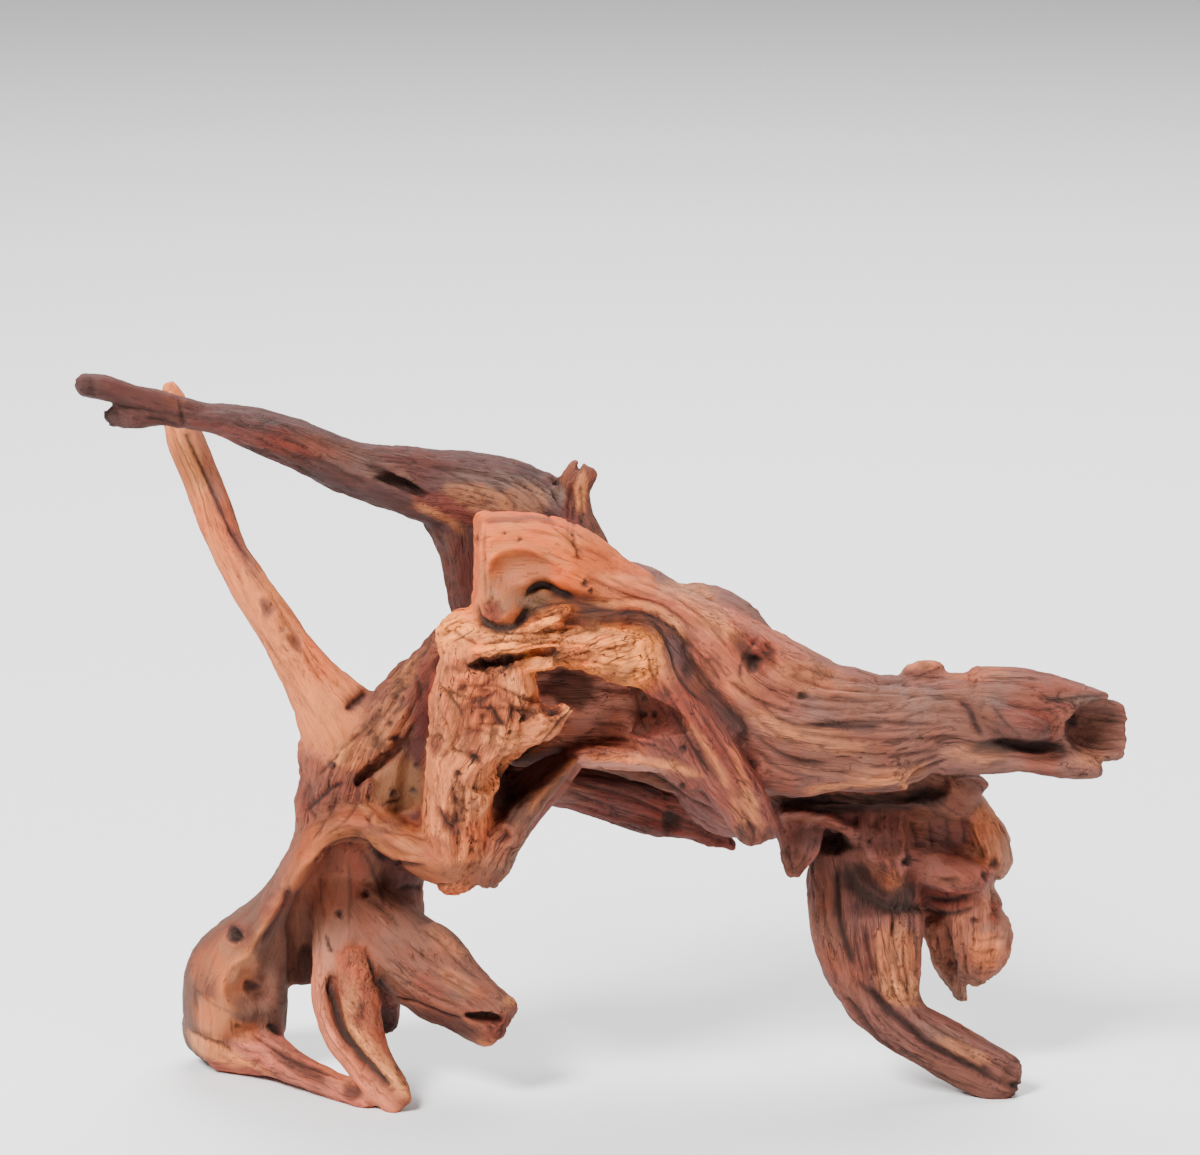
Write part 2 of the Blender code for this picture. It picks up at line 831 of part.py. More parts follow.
def applied(thing):
    """Replaces an object's mesh with what its modifiers make of it."""
    graph = bpy.context.evaluated_depsgraph_get()
    mesh = bpy.data.meshes.new_from_object(thing.evaluated_get(graph))
    thing.modifiers.clear()
    thing.data = mesh


def wear_flat(thing):
    """Takes off what lies under the worn level, so the wood stands on small flat spots."""
    bm = bmesh.new()
    bm.from_mesh(thing.data)
    cut = bmesh.ops.bisect_plane(
        bm,
        geom=[*bm.verts, *bm.edges, *bm.faces],
        plane_co=(0, 0, WORN_FLAT * MM),
        plane_no=(0, 0, -1),
        clear_outer=True,
    )
    rims = [e for e in cut["geom_cut"] if isinstance(e, bmesh.types.BMEdge)]
    bmesh.ops.holes_fill(bm, edges=rims, sides=0)
    bmesh.ops.triangulate(bm, faces=bm.faces)
    bmesh.ops.recalc_face_normals(bm, faces=bm.faces)
    bm.to_mesh(thing.data)
    bm.free()


def centre_on_floor(thing):
    """Moves the mesh so that the middle of the bottom of its box is the origin."""
    points = [v.co for v in thing.data.vertices]
    low = Vector([min(p[i] for p in points) for i in range(3)])
    high = Vector([max(p[i] for p in points) for i in range(3)])
    shift = Vector((-(low.x + high.x) / 2, -(low.y + high.y) / 2, -low.z))
    for vertex in thing.data.vertices:
        vertex.co += shift
    print("box", [round(v / MM, 2) for v in low], [round(v / MM, 2) for v in high])
    return shift


def wood_material():
    """Weathered brown wood."""
    material = bpy.data.materials.new(NAME)
    material.use_nodes = True
    shader = material.node_tree.nodes["Principled BSDF"]
    shader.inputs["Base Color"].default_value = (0.40, 0.19, 0.11, 1.0)
    shader.inputs["Roughness"].default_value = 0.8
    return material


def main():
    for thing in list(bpy.data.objects):
        bpy.data.objects.remove(thing)
    scene = bpy.context.scene
    home = bpy.data.collections.new(NAME)
    cutters = bpy.data.collections.new("cutters")
    scene.collection.children.link(home)
    scene.collection.children.link(cutters)

    wood = lofts_object(NAME, LIMBS, home)
    remesh(wood, VOXEL)
    applied(wood)

    hollows = lofts_object("hollows", HOLLOWS, cutters, lobes=False)
    remesh(hollows, VOXEL)
    applied(hollows)
    hollows.hide_render = True
    hollows.display_type = "WIRE"

    hollow = wood.modifiers.new("Hollow", "BOOLEAN")
    hollow.operation = "DIFFERENCE"
    hollow.solver = "EXACT"
    hollow.object = hollows
    remesh(wood, VOXEL)
    weather = wood.modifiers.new("Weather", "SMOOTH")
    weather.factor = 0.5
    weather.iterations = SMOOTHING_STEPS
    applied(wood)

    faces = len(wood.data.polygons) * 2
    thin = wood.modifiers.new("Thin", "DECIMATE")
    thin.ratio = TRIANGLES / faces
    thin.use_collapse_triangulate = True
    applied(wood)

    wear_flat(wood)
    shift = centre_on_floor(wood)
    print("shift", [round(v / MM, 2) for v in shift], "triangles", len(wood.data.polygons))
    wood.data.materials.clear()
    wood.data.materials.append(wood_material())
    wood.data.shade_smooth()


main()
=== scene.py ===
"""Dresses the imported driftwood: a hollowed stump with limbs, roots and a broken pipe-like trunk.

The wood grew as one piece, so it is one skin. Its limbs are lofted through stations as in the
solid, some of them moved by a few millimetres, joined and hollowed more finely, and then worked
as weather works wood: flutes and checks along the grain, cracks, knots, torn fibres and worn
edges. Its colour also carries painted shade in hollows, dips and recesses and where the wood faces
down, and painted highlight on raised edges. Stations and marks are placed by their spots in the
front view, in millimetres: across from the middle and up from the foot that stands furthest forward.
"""

import logging
from collections.abc import Iterable, Sequence
from dataclasses import dataclass, field, fields
from enum import Enum, IntEnum
from math import cos, pi, radians, sin

import bmesh
import bpy
import numpy as np
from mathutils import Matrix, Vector
from mathutils.bvhtree import BVHTree
from mathutils.kdtree import KDTree


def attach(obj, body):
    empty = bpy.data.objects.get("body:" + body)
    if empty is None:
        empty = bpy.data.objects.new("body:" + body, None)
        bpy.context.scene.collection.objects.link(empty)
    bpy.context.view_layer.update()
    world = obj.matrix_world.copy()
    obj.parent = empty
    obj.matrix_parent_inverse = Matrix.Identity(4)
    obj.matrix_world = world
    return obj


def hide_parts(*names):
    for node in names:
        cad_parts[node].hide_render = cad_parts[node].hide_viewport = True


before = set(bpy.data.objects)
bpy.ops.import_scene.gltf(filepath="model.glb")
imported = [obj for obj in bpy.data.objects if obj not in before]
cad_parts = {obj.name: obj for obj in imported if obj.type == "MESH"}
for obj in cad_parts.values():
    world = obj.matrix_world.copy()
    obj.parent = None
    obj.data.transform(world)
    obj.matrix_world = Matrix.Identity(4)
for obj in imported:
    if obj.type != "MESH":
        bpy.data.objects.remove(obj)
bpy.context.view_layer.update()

MM = 0.001
LOG = logging.getLogger("driftwood")
Array = np.ndarray
Row = tuple[float, ...]
Spot = tuple[float, float]
Triple = tuple[float, float, float]
CELL_FACTORS = (73856093, 19349663, 83492791)
SEED_FACTOR = 2654435761
MIX_FACTORS = (2246822519, 3266489917)
WHOLE_32_BITS = 0xFFFFFFFF
TEN_BITS = 1023
SECTION_SIDES = 24
SECTION_STEP = 3.0
LINE_STEP = 1.2
END_BULGE = 0.4
LOBES = ((2, 0.025), (3, 0.035), (5, 0.03), (7, 0.015))


def linear(code: str) -> Array:
    """Turns a colour such as "c48c62" into linear red, green and blue.

    Args:
        code: Six hexadecimal digits.

    Returns:
        Three linear values.
    """
    share = np.array([int(code[i : i + 2], 16) for i in (0, 2, 4)]) / 255.0
    return np.where(share < 0.04045, share / 12.92, ((share + 0.055) / 1.055) ** 2.4)


@dataclass(frozen=True)
class Finish:
    """How one stretch of the wood is coloured and worn.

    Attributes:
        colour: The wood's own colour, as six hexadecimal digits.
        flute: How deep the long waves along the grain are, in millimetres.
        pitch: How far apart they are, in millimetres.
        checks: How deep the narrow cracks along the grain are, in millimetres.
        rough: How deep the uneven wear is, in millimetres.
        fibre: How strongly the fibres show, from 0 to 1.
    """

    colour: str
    flute: float = 0.5
    pitch: float = 6.0
    checks: float = 0.35
    rough: float = 0.15
    fibre: float = 0.5


class Look(Enum):
    """The finishes that the limbs take, by what they are like on the real wood."""

    BRANCH = Finish("4e322f", 0.45, 6.5, 0.40, 0.20, 0.45)
    BRANCH_ROOT = Finish("4d2b23", 0.60, 5.0, 0.50, 0.30, 0.50)
    SPIKE = Finish("6e4030", 0.50, 4.0, 0.50, 0.30, 0.60)
    PALE_LIMB = Finish("c26c3e", 0.36, 5.0, 0.20, 0.12, 0.40)
    BLOCK = Finish("c55c24", 0.26, 7.0, 0.14, 0.22, 0.40)
    NOSE = Finish("b56439", 0.22, 7.0, 0.08, 0.14, 0.30)
    SLAB = Finish("9e5842", 0.45, 6.0, 0.30, 0.30, 0.60)
    VEIN = Finish("3d2521", 0.35, 4.0, 0.45, 0.12, 0.60)
    TRUNK = Finish("74493e", 0.62, 7.0, 0.42, 0.18, 0.60)
    KNUCKLE = Finish("5a3932", 0.35, 5.0, 0.30, 0.20, 0.45)
    LEDGE = Finish("fd9041", 0.75, 4.5, 0.70, 0.32, 0.95)
    FACE = Finish("d07546", 0.75, 5.5, 0.62, 0.42, 0.95)
    CHIN = Finish("7b503f", 0.80, 7.0, 0.50, 0.50, 0.75)
    STRAP = Finish("753e33", 0.50, 5.0, 0.40, 0.20, 0.65)
    INNER = Finish("ca8570", 0.50, 6.0, 0.30, 0.28, 0.60)
    BACK = Finish("6d4335", 0.80, 8.0, 0.55, 0.40, 0.55)
    KEEL = Finish("6c3830", 0.60, 6.0, 0.50, 0.30, 0.60)
    BODY = Finish("73402f", 0.85, 6.5, 0.55, 0.38, 0.70)
    BODY_EDGE = Finish("7d4838", 0.95, 6.0, 0.60, 0.50, 0.80)
    WINDOW = Finish("441c1c", 0.30, 7.0, 0.20, 0.25, 0.35)
    HOOD = Finish("8a492a", 0.32, 8.0, 0.14, 0.20, 0.34)
    HEEL = Finish("624235", 0.30, 9.0, 0.12, 0.18, 0.30)
    HEEL_ROOT = Finish("b1604a", 0.45, 5.0, 0.35, 0.15, 0.50)
    STEM = Finish("8d5b47", 0.36, 7.0, 0.18, 0.20, 0.34)
    TOE = Finish("c76f4e", 0.45, 4.5, 0.35, 0.15, 0.55)
    TOE_RIGHT = Finish("975036", 0.40, 4.0, 0.35, 0.15, 0.60)
    FOOT_BACK = Finish("6d3c31", 0.50, 6.0, 0.35, 0.44, 0.50)
    CUT = Finish("724636", 0.50, 7.0, 0.28, 0.24, 0.45)
    LEG = Finish("704339", 0.75, 6.0, 0.45, 0.18, 0.70)
    UNDER = Finish("7e4e47", 0.70, 7.0, 0.40, 0.36, 0.50)
    KNEE = Finish("936350", 0.70, 5.0, 0.30, 0.46, 0.60)


class Seed(IntEnum):
    """Which noise each thing is drawn with; a grain's own number is added from WAVE on."""

    COARSE = 3
    PITTED = 4
    LUMPS = 5
    WANDER = 11
    PATCH_EDGE = 23
    WAVE = 10
    SMALL = 30
    BROKEN = 50
    FINE = 70
    BEND = 90
    BIG_BITS = 110
    SLIM_BITS = 140


class Side(Enum):
    """Which side of the wood a mark is on, with the way that it is looked at from there."""

    FRONT = 1.0
    BACK = -1.0


class Stain(Enum):
    """Colours that lie over the wood's own, as six hexadecimal digits; MAROON, DARK and BROWN also serve
    as painted shade.
    """

    NONE = ""
    GREY = "775f53"
    PURPLE = "654241"
    RED = "7c3526"
    MAROON = "351916"
    DARK = "2d1c17"
    TAN = "bc7245"
    PALE = "dc8b54"
    ORANGE = "b26336"
    OLIVE = "765130"
    BROWN = "6d4130"


@dataclass(frozen=True)
class FrontView:
    """The view that the wood is drawn from: it looks down a little, from not far away.

    Attributes:
        look_down: The angle below level.
        distance: From the eye to the middle of the picture, in millimetres.
        centre: The spot of the front view in the middle of the picture.
        target: The point in space there, before the wood is moved to its own frame.
        shift: That move, in millimetres.
    """

    look_down: float = radians(12.0)
    distance: float = 2400.0
    centre: Spot = (0.0, 216.2)
    target: Triple = (0.0, -35.0, 215.3)
    shift: Triple = (-2.83, 29.72, -0.80)

    @property
    def right(self) -> Array:
        """The way to the right of the picture."""
        return np.array((1.0, 0.0, 0.0))

    @property
    def up(self) -> Array:
        """The way up the picture."""
        return np.array((0.0, sin(self.look_down), cos(self.look_down)))

    @property
    def ahead(self) -> Array:
        """The way that the eye looks."""
        return np.array((0.0, cos(self.look_down), -sin(self.look_down)))

    @property
    def middle(self) -> Array:
        """The middle of the picture, in the wood's own frame."""
        return np.array(self.target) + np.array(self.shift)

    @property
    def eye(self) -> Array:
        """Where the eye is, in the wood's own frame."""
        return self.middle - self.ahead * self.distance

    def sight(self, across: float, height: float) -> Array:
        """Gives the line of sight through a spot of the front view.

        Args:
            across: How far right of the middle.
            height: How far up the view.

        Returns:
            A vector from the eye, as long as the eye's distance or a little more.
        """
        flat = self.right * (across - self.centre[0]) + self.up * (height - self.centre[1])
        return self.ahead * self.distance + flat

    def place(self, across: float, height: float, depth: float) -> Array:
        """Finds the point in space for a spot of the front view at a depth.

        Args:
            across: How far right of the middle.
            height: How far up the view.
            depth: How far back, before the wood is moved to its own frame.

        Returns:
            The point in the wood's own frame.
        """
        sight = self.sight(across, height)
        return self.eye + sight * ((depth + self.shift[1] - self.eye[1]) / sight[1])


VIEW = FrontView()


def unit(rows: Array) -> Array:
    """Scales each row to a length of one."""
    length = np.linalg.norm(rows, axis=-1, keepdims=True)
    return rows / np.maximum(length, 1e-9)


def spline(points: Array, step: float) -> Array:
    """Draws a smooth curve through rows whose first three numbers are a place.

    Args:
        points: The rows.
        step: The spacing that is wanted along the curve.

    Returns:
        Rows on the curve.
    """
    rows = np.vstack((2 * points[0] - points[1], points, 2 * points[-1] - points[-2]))
    out = []
    for a, b, c, d in zip(rows, rows[1:], rows[2:], rows[3:]):
        count = max(1, round(float(np.linalg.norm((c - b)[:3])) / step))
        for t in np.arange(count) / count:
            lift = (2 * a - 5 * b + 4 * c - d) * t * t + (3 * b - a - 3 * c + d) * t**3
            out.append(0.5 * (2 * b + (c - a) * t + lift))
    out.append(rows[-2])
    return np.array(out)


def scramble(cell: Array, seed: int) -> Array:
    """Gives each cell of a grid its own whole number.

    Args:
        cell: Rows of three whole numbers.
        seed: Which numbers.

    Returns:
        One number of 32 bits for each row.
    """
    first, second, third = (cell * CELL_FACTORS).T
    mixed = first ^ second ^ third ^ (seed * SEED_FACTOR)
    mixed = (mixed ^ mixed >> 15) * MIX_FACTORS[0] & WHOLE_32_BITS
    mixed = (mixed ^ mixed >> 13) * MIX_FACTORS[1] & WHOLE_32_BITS
    return mixed ^ mixed >> 16


def thirds(mixed: Array) -> Array:
    """Splits whole numbers into three shares from 0 to 1."""
    return np.stack([mixed >> shift & TEN_BITS for shift in (0, 10, 20)], 1) / TEN_BITS


def ripple(points: Array, seed: int) -> Array:
    """Gives smooth noise, from about -1 to 1, that changes over a distance of one.

    Args:
        points: Rows of three numbers.
        seed: Which noise.

    Returns:
        One value for each row.
    """
    base = np.floor(points)
    part = points - base
    fade = part**3 * (part * (part * 6 - 15) + 10)
    cell = base.astype(np.int64)
    total = np.zeros(len(points))
    for corner in range(8):
        step = np.array((corner & 1, corner >> 1 & 1, corner >> 2))
        slopes = thirds(scramble(cell + step, seed)) * 2 - 1
        share = np.prod(np.where(step, fade, 1 - fade), axis=1)
        total += share * np.einsum("ij,ij->i", slopes, part - step)
    return np.clip(total * 1.6, -1, 1)


def splinters(points: Array, seed: int) -> tuple[Array, Array]:
    """Breaks space into uneven bits about one across, as torn wood breaks.

    Args:
        points: Rows of three numbers.
        seed: Which bits.

    Returns:
        How high each row's bit stands, from -1 to 1, and how far the row is from its edge.
    """
    base = np.floor(points).astype(np.int64)
    first = np.full(len(points), 9.0)
    second = first.copy()
    height = np.zeros(len(points))
    for corner in range(27):
        cell = base + np.array((corner % 3 - 1, corner // 3 % 3 - 1, corner // 9 - 1))
        mixed = scramble(cell, seed)
        away = ((points - cell - thirds(mixed)) ** 2).sum(1)
        nearer = away < first
        second = np.where(nearer, first, np.minimum(second, away))
        height = np.where(nearer, (mixed >> 7 & TEN_BITS) / (TEN_BITS / 2) - 1, height)
        first = np.minimum(first, away)
    return height, np.sqrt(second) - np.sqrt(first)


def nearest(points: Array, spots: Iterable[Sequence[float]]) -> Array:
    """Finds the point that is nearest to each spot.

    Args:
        points: The points.
        spots: The spots.

    Returns:
        A point's number for each spot.
    """
    tree = KDTree(len(points))
    for k, point in enumerate(points):
        tree.insert(point, k)
    tree.balance()
    return np.array([tree.find(spot)[1] for spot in spots])


def stations(text: str) -> tuple[Row, ...]:
    """Reads rows of numbers, such as a limb's stations or the corners of a path.

    Args:
        text: The rows, with semicolons between. A station has across, height, depth and two
            half sizes; a corner has across and height.

    Returns:
        The rows as numbers.
    """
    return tuple(tuple(float(v) for v in row.split()) for row in text.split(";"))


@dataclass(frozen=True)
class Axis:
    """A limb's middle line, sampled, in millimetres.

    Attributes:
        middle: Points along the limb.
        along: The way along it at each.
        side: The way across it, as the front view shows it.
        front: The way through it, across the other two.
        wide: Half of the section across.
        thick: Half of the section from front to back.
        run: How far along each point is.
    """

    middle: Array
    along: Array
    side: Array
    front: Array
    wide: Array
    thick: Array
    run: Array


@dataclass(frozen=True)
class Loft:
    """A closed rounded shape drawn through stations, each across, height, depth and half sizes."""

    rows: tuple[Row, ...]

    def axis(self, extra: float) -> Axis:
        """Samples the middle line.

        Args:
            extra: What is added to each half size, which later smoothing takes off.

        Returns:
            The samples.
        """
        placed = [
            (*VIEW.place(across, height, depth), width + extra, thick + extra)
            for across, height, depth, width, thick in self.rows
        ]
        samples = spline(np.array(placed), SECTION_STEP)
        middle = samples[:, :3]
        along = unit(np.vstack((middle[1:], middle[-1:])) - np.vstack((middle[:1], middle[:-1])))
        side = unit(np.cross(VIEW.ahead, along))
        steps = np.linalg.norm(np.diff(middle, axis=0), axis=1)
        return Axis(
            middle, along, side, np.cross(along, side), samples[:, 3], samples[:, 4],
            np.concatenate(((0.0,), np.cumsum(steps))),
        )

    @staticmethod
    def lobed(turn: Array, phase: float | None, travel: float) -> Array:
        """Gives how far a section reaches at each angle, as a share of its size.

        Args:
            turn: The angles.
            phase: Where the lobes start, or None for a section without lobes.
            travel: How far along the limb the section is, in half widths.

        Returns:
            A share for each angle.
        """
        reach = np.ones(len(turn))
        if phase is not None:
            for count, share in LOBES:
                lean = phase * count + travel * (0.4 + 0.1 * count)
                reach += share * np.cos(count * turn + lean)
        return reach

    def draw(self, axis: Axis, power: float, phase: float | None) -> bmesh.types.BMesh:
        """Makes the shape: a capped ring that is extruded from station to station.

        Args:
            axis: The sampled middle line.
            power: 1 for an ellipse, less for a squarer section.
            phase: Where the limb's lobes start, or None for a limb without lobes.

        Returns:
            A closed mesh in millimetres.
        """
        turn = np.arange(SECTION_SIDES) * 2 * pi / SECTION_SIDES
        square = [np.sign(w) * np.abs(w) ** power for w in (np.cos(turn), np.sin(turn))]
        bm = bmesh.new()
        ring = bmesh.ops.create_circle(bm, cap_ends=True, segments=SECTION_SIDES, radius=1.0)
        cap = ring["verts"][0].link_faces[0]
        last = len(axis.run) - 1
        pace = np.diff(axis.run) / (axis.wide + axis.thick)[1:]
        travel = np.concatenate(((0.0,), np.cumsum(pace)))
        started = False
        for i in range(last + 1):
            reach = self.lobed(turn, phase, travel[i])
            offset = np.outer(square[0] * axis.wide[i] * reach, axis.side[i])
            offset += np.outer(square[1] * axis.thick[i] * reach, axis.front[i])
            rounds = [(0.0, 1.0)]
            if i in (0, last):
                way = 1 if i == last else -1
                bulge = way * END_BULGE * axis.wide[i]
                rounds = [(bulge * sin(a), cos(a)) for a in (0, pi / 6, pi / 3)]
                rounds = rounds if i == last else rounds[::-1]
            for out, share in rounds:
                if started:
                    made = bmesh.ops.extrude_face_region(bm, geom=[cap])["geom"]
                    cap = next(g for g in made if isinstance(g, bmesh.types.BMFace))
                started = True
                spots = axis.middle[i] + axis.along[i] * out + offset * share
                for vert, spot in zip(cap.verts, spots):
                    vert.co = spot
        bmesh.ops.recalc_face_normals(bm, faces=bm.faces)
        return bm


@dataclass(frozen=True)
class Limb(Loft):
    """A stretch of wood: its stations, its finish and which grain it shares.

    Attributes:
        look: The finish.
        grain: The name of the grain that runs through it.
        power: 1 for an ellipse, less for a squarer section.
    """

    look: Look = Look.TRUNK
    grain: str = ""
    power: float = 1.0


@dataclass(frozen=True)
class Hollow(Loft):
    """A space that is cut out of the wood."""


class Skin:
    """The wood's surface as arrays, in millimetres, with what has been worked into it.

    Attributes:
        points: Where each vertex is.
        normals: The way out of the wood at each.
        push: How far each vertex is to move outwards.
        crack: How dark and narrow the wood is there, as in a crack, from 0 to 1.
        torn: How torn the fibres are, from 0 to 1.
        smooth: How far the wood is worn smooth, from 0 to 1.
        closed: How closed in it is, from 0 to 1; the colour is darkened there with painted shade and a
            dark stain.
        crest: How far it stands out of what is around it, in millimetres.
        tint: The colour, as linear red, green and blue, with painted shade where the wood faces down.
        line_facing: How far a vertex has to face the eye, from -1 to 1, to take part of a line.
        spot_facing: The same for a knot or a patch.
    """

    line_facing = -0.35
    spot_facing = -0.2

    def __init__(self, mesh: bpy.types.Mesh) -> None:
        """Reads a mesh.

        Args:
            mesh: A closed mesh in metres.
        """
        count = len(mesh.vertices)
        self.points = self.rows(mesh.vertices, "co", np.float32, 3).astype(float) / MM
        self.normals = self.rows(mesh.vertices, "normal", np.float32, 3).astype(float)
        self.near, self.far = self.rows(mesh.edges, "vertices", np.int32, 2).T
        self.ties = np.bincount(self.near, minlength=count) + np.bincount(self.far, minlength=count)
        self.push, self.crack, self.torn, self.smooth = np.zeros((4, count))
        self.closed, self.crest = np.zeros((2, count))
        self.tint = np.zeros((count, 3))

    @staticmethod
    def rows(items: bpy.types.bpy_prop_collection, name: str, kind: type, wide: int) -> Array:
        """Reads one property of a mesh's vertices or edges.

        Args:
            items: The vertices or edges.
            name: The property.
            kind: The kind of number.
            wide: How many numbers each item has.

        Returns:
            A row for each item.
        """
        numbers = np.empty(len(items) * wide, kind)
        items.foreach_get(name, numbers)
        return numbers.reshape(-1, wide)

    def blurred(self, values: Array, rounds: int) -> Array:
        """Spreads values over the surface.

        Args:
            values: One number or a row of numbers for each vertex.
            rounds: How many times each is mixed with its neighbours.

        Returns:
            The softened values.
        """
        columns = values.reshape(len(values), -1).copy()
        for k in range(columns.shape[1]):
            value = columns[:, k]
            for _ in range(rounds):
                around = np.bincount(self.near, value[self.far], len(value))
                around += np.bincount(self.far, value[self.near], len(value))
                value = 0.5 * value + 0.5 * around / self.ties
            columns[:, k] = value
        return columns.reshape(values.shape)

    def facing(self, side: Side) -> Array:
        """Tells how far each vertex faces the eye that looks at a side, from -1 to 1."""
        return -side.value * (self.normals @ VIEW.ahead)

    def beside(self, line: Array, reach: float, side: Side) -> tuple[Array, Array, Array, Array]:
        """Finds the vertices near a line on the surface.

        Args:
            line: Points along it.
            reach: How near a vertex has to be.
            side: The side of the wood that it is on.

        Returns:
            The vertices' numbers, how far each is from the line, how far along the line it is
            from 0 to 1, and how far left of the line it is as seen from that side.
        """
        inside = (self.points > line.min(0) - reach) & (self.points < line.max(0) + reach)
        found = np.nonzero(inside.all(1) & (self.facing(side) > self.line_facing))[0]
        spots = self.points[found]
        best = np.full(len(found), 1e9)
        run = np.zeros(len(found))
        left = np.zeros(len(found))
        for k, (a, b) in enumerate(zip(line, line[1:])):
            step = b - a
            share = np.clip((spots - a) @ step / max(float(step @ step), 1e-9), 0, 1)
            gap = spots - a - share[:, None] * step
            away = np.linalg.norm(gap, axis=1)
            nearer = away < best
            across = unit(np.cross(step, VIEW.ahead * side.value))
            best[nearer] = away[nearer]
            run[nearer] = (k + share[nearer]) / (len(line) - 1)
            left[nearer] = -(gap[nearer] @ across)
        near = best < reach
        return found[near], best[near], run[near], left[near]

    def around(
        self, middle: Array, size: Spot, turn: float, side: Side, reach: float
    ) -> tuple[Array, Array, Array]:
        """Finds the vertices in an oval on the surface.

        Args:
            middle: Its middle.
            size: Half its width and half its height in the front view.
            turn: How far it is turned, in degrees, anticlockwise.
            side: The side of the wood that it is on.
            reach: How far out to look, as a share of the size.

        Returns:
            The vertices' numbers, how far out each is as a share of the size, and the angle.
        """
        gap = self.points - middle
        within = (np.abs(gap) < max(size) * reach + 6).all(1)
        found = np.nonzero(within & (self.facing(side) > self.spot_facing))[0]
        gap = gap[found]
        lean = radians(turn)
        right, up = gap @ VIEW.right, gap @ VIEW.up
        u = (right * cos(lean) + up * sin(lean)) / size[0]
        v = (up * cos(lean) - right * sin(lean)) / size[1]
        deep = np.maximum(np.abs(gap @ VIEW.ahead) - 0.8 * max(size) - 3, 0) / 5
        away = np.sqrt(u * u + v * v + deep * deep)
        near = away < reach
        return found[near], away[near], np.arctan2(v, u)[near]

    @staticmethod
    def lift(values: Array, found: Array, least: Array) -> None:
        """Raises some of the values to what they have to be at least.

        Args:
            values: One number for each vertex.
            found: The vertices' numbers.
            least: What each of them has to be at least.
        """
        values[found] = np.maximum(values[found], least)

    def stain(self, found: Array, share: Array, colour: Stain) -> None:
        """Mixes a colour into the tint of some vertices.

        Args:
            found: Their numbers.
            share: How much of it, from 0 to 1.
            colour: The colour, if any.
        """
        if colour is Stain.NONE:
            return
        share = np.clip(share, 0, 1)[:, None]
        self.tint[found] = self.tint[found] * (1 - share) + linear(colour.value) * share


class Anchors:
    """Finds where a spot of the front view lies on the wood."""

    def __init__(self, skin: Skin, mesh: bpy.types.Mesh) -> None:
        """Keeps the surface that the spots are looked up on.

        Args:
            skin: The surface before anything is worked into it.
            mesh: The mesh that it was read from.
        """
        faces = [tuple(p.vertices) for p in mesh.polygons]
        self.tree = BVHTree.FromPolygons(skin.points.tolist(), faces)

    def spot(self, across: float, height: float, side: Side) -> Array | None:
        """Looks up one spot.

        Args:
            across: How far right of the middle.
            height: How far up the front view.
            side: Whether it is looked for from the front or from behind.

        Returns:
            The point on the wood, or None where the line of sight meets none.
        """
        sight = VIEW.sight(across, height)
        start = VIEW.eye if side is Side.FRONT else VIEW.eye + sight * 1.2
        found = self.tree.ray_cast(Vector(start), Vector(sight * side.value))[0]
        return None if found is None else np.array(found)

    def line(self, path: str, side: Side) -> Array:
        """Looks up a path, with a point every millimetre or so.

        Args:
            path: Its corners in the front view.
            side: The side of the wood that it is on.

        Returns:
            The points that lie on the wood.
        """
        rows = np.array([(*spot, 0.0) for spot in stations(path)])
        if len(rows) == 2:
            rows = np.vstack((rows[0], rows.mean(0), rows[1]))
        points = [self.spot(x, h, side) for x, h, _ in spline(rows, LINE_STEP)]
        kept = [p for p in points if p is not None]
        smooth = np.array(kept)
        if len(kept) > 4:
            smooth[1:-1] = (smooth[:-2] + smooth[1:-1] * 2 + smooth[2:]) / 4
        return smooth


@dataclass(frozen=True)
class Mark:
    """Something that is worked into the wood at a place in the front view."""

    side: Side = field(default=Side.FRONT, kw_only=True)

    def work(self, skin: Skin, anchors: Anchors) -> None:
        """Works the mark into the skin.

        Args:
            skin: The surface.
            anchors: What finds the mark's place on it.
        """
        raise NotImplementedError


@dataclass(frozen=True)
class Groove(Mark):
    """A crack or furrow along a path; where it runs under an overhang, its dark colour is also painted
    shadow.

    Attributes:
        path: Its corners in the front view.
        width: Half its width in millimetres.
        depth: How deep it is; a groove of less than nothing is a raised ridge.
        dark: How dark it is, from 0 to 1.
        stain: A colour that spreads round it, if any.
    """

    path: str
    width: float = 1.2
    depth: float = 1.5
    dark: float = 0.8
    stain: Stain = Stain.NONE

    def work(self, skin: Skin, anchors: Anchors) -> None:
        """Presses the groove in, narrower at both ends."""
        line = anchors.line(self.path, self.side)
        if len(line) < 3:
            return
        found, away, run, left = skin.beside(line, self.width * 3.2, self.side)
        wander = ripple(np.column_stack((run * len(line) / 5, left * 0.2, away * 0)), Seed.WANDER)
        taper = np.clip(np.sin(pi * np.clip(run, 0, 1)) * 2.2, 0, 1)
        reach = away / (self.width * (0.35 + 0.65 * taper) * (1 + 0.3 * wander))
        skin.push[found] -= self.depth * np.exp(-(reach**2)) * taper
        crack = self.dark * np.exp(-((reach / 0.85) ** 4)) * taper
        skin.lift(skin.crack, found, crack)
        skin.stain(found, 0.8 * np.exp(-((reach / 1.8) ** 2)) * taper, self.stain)


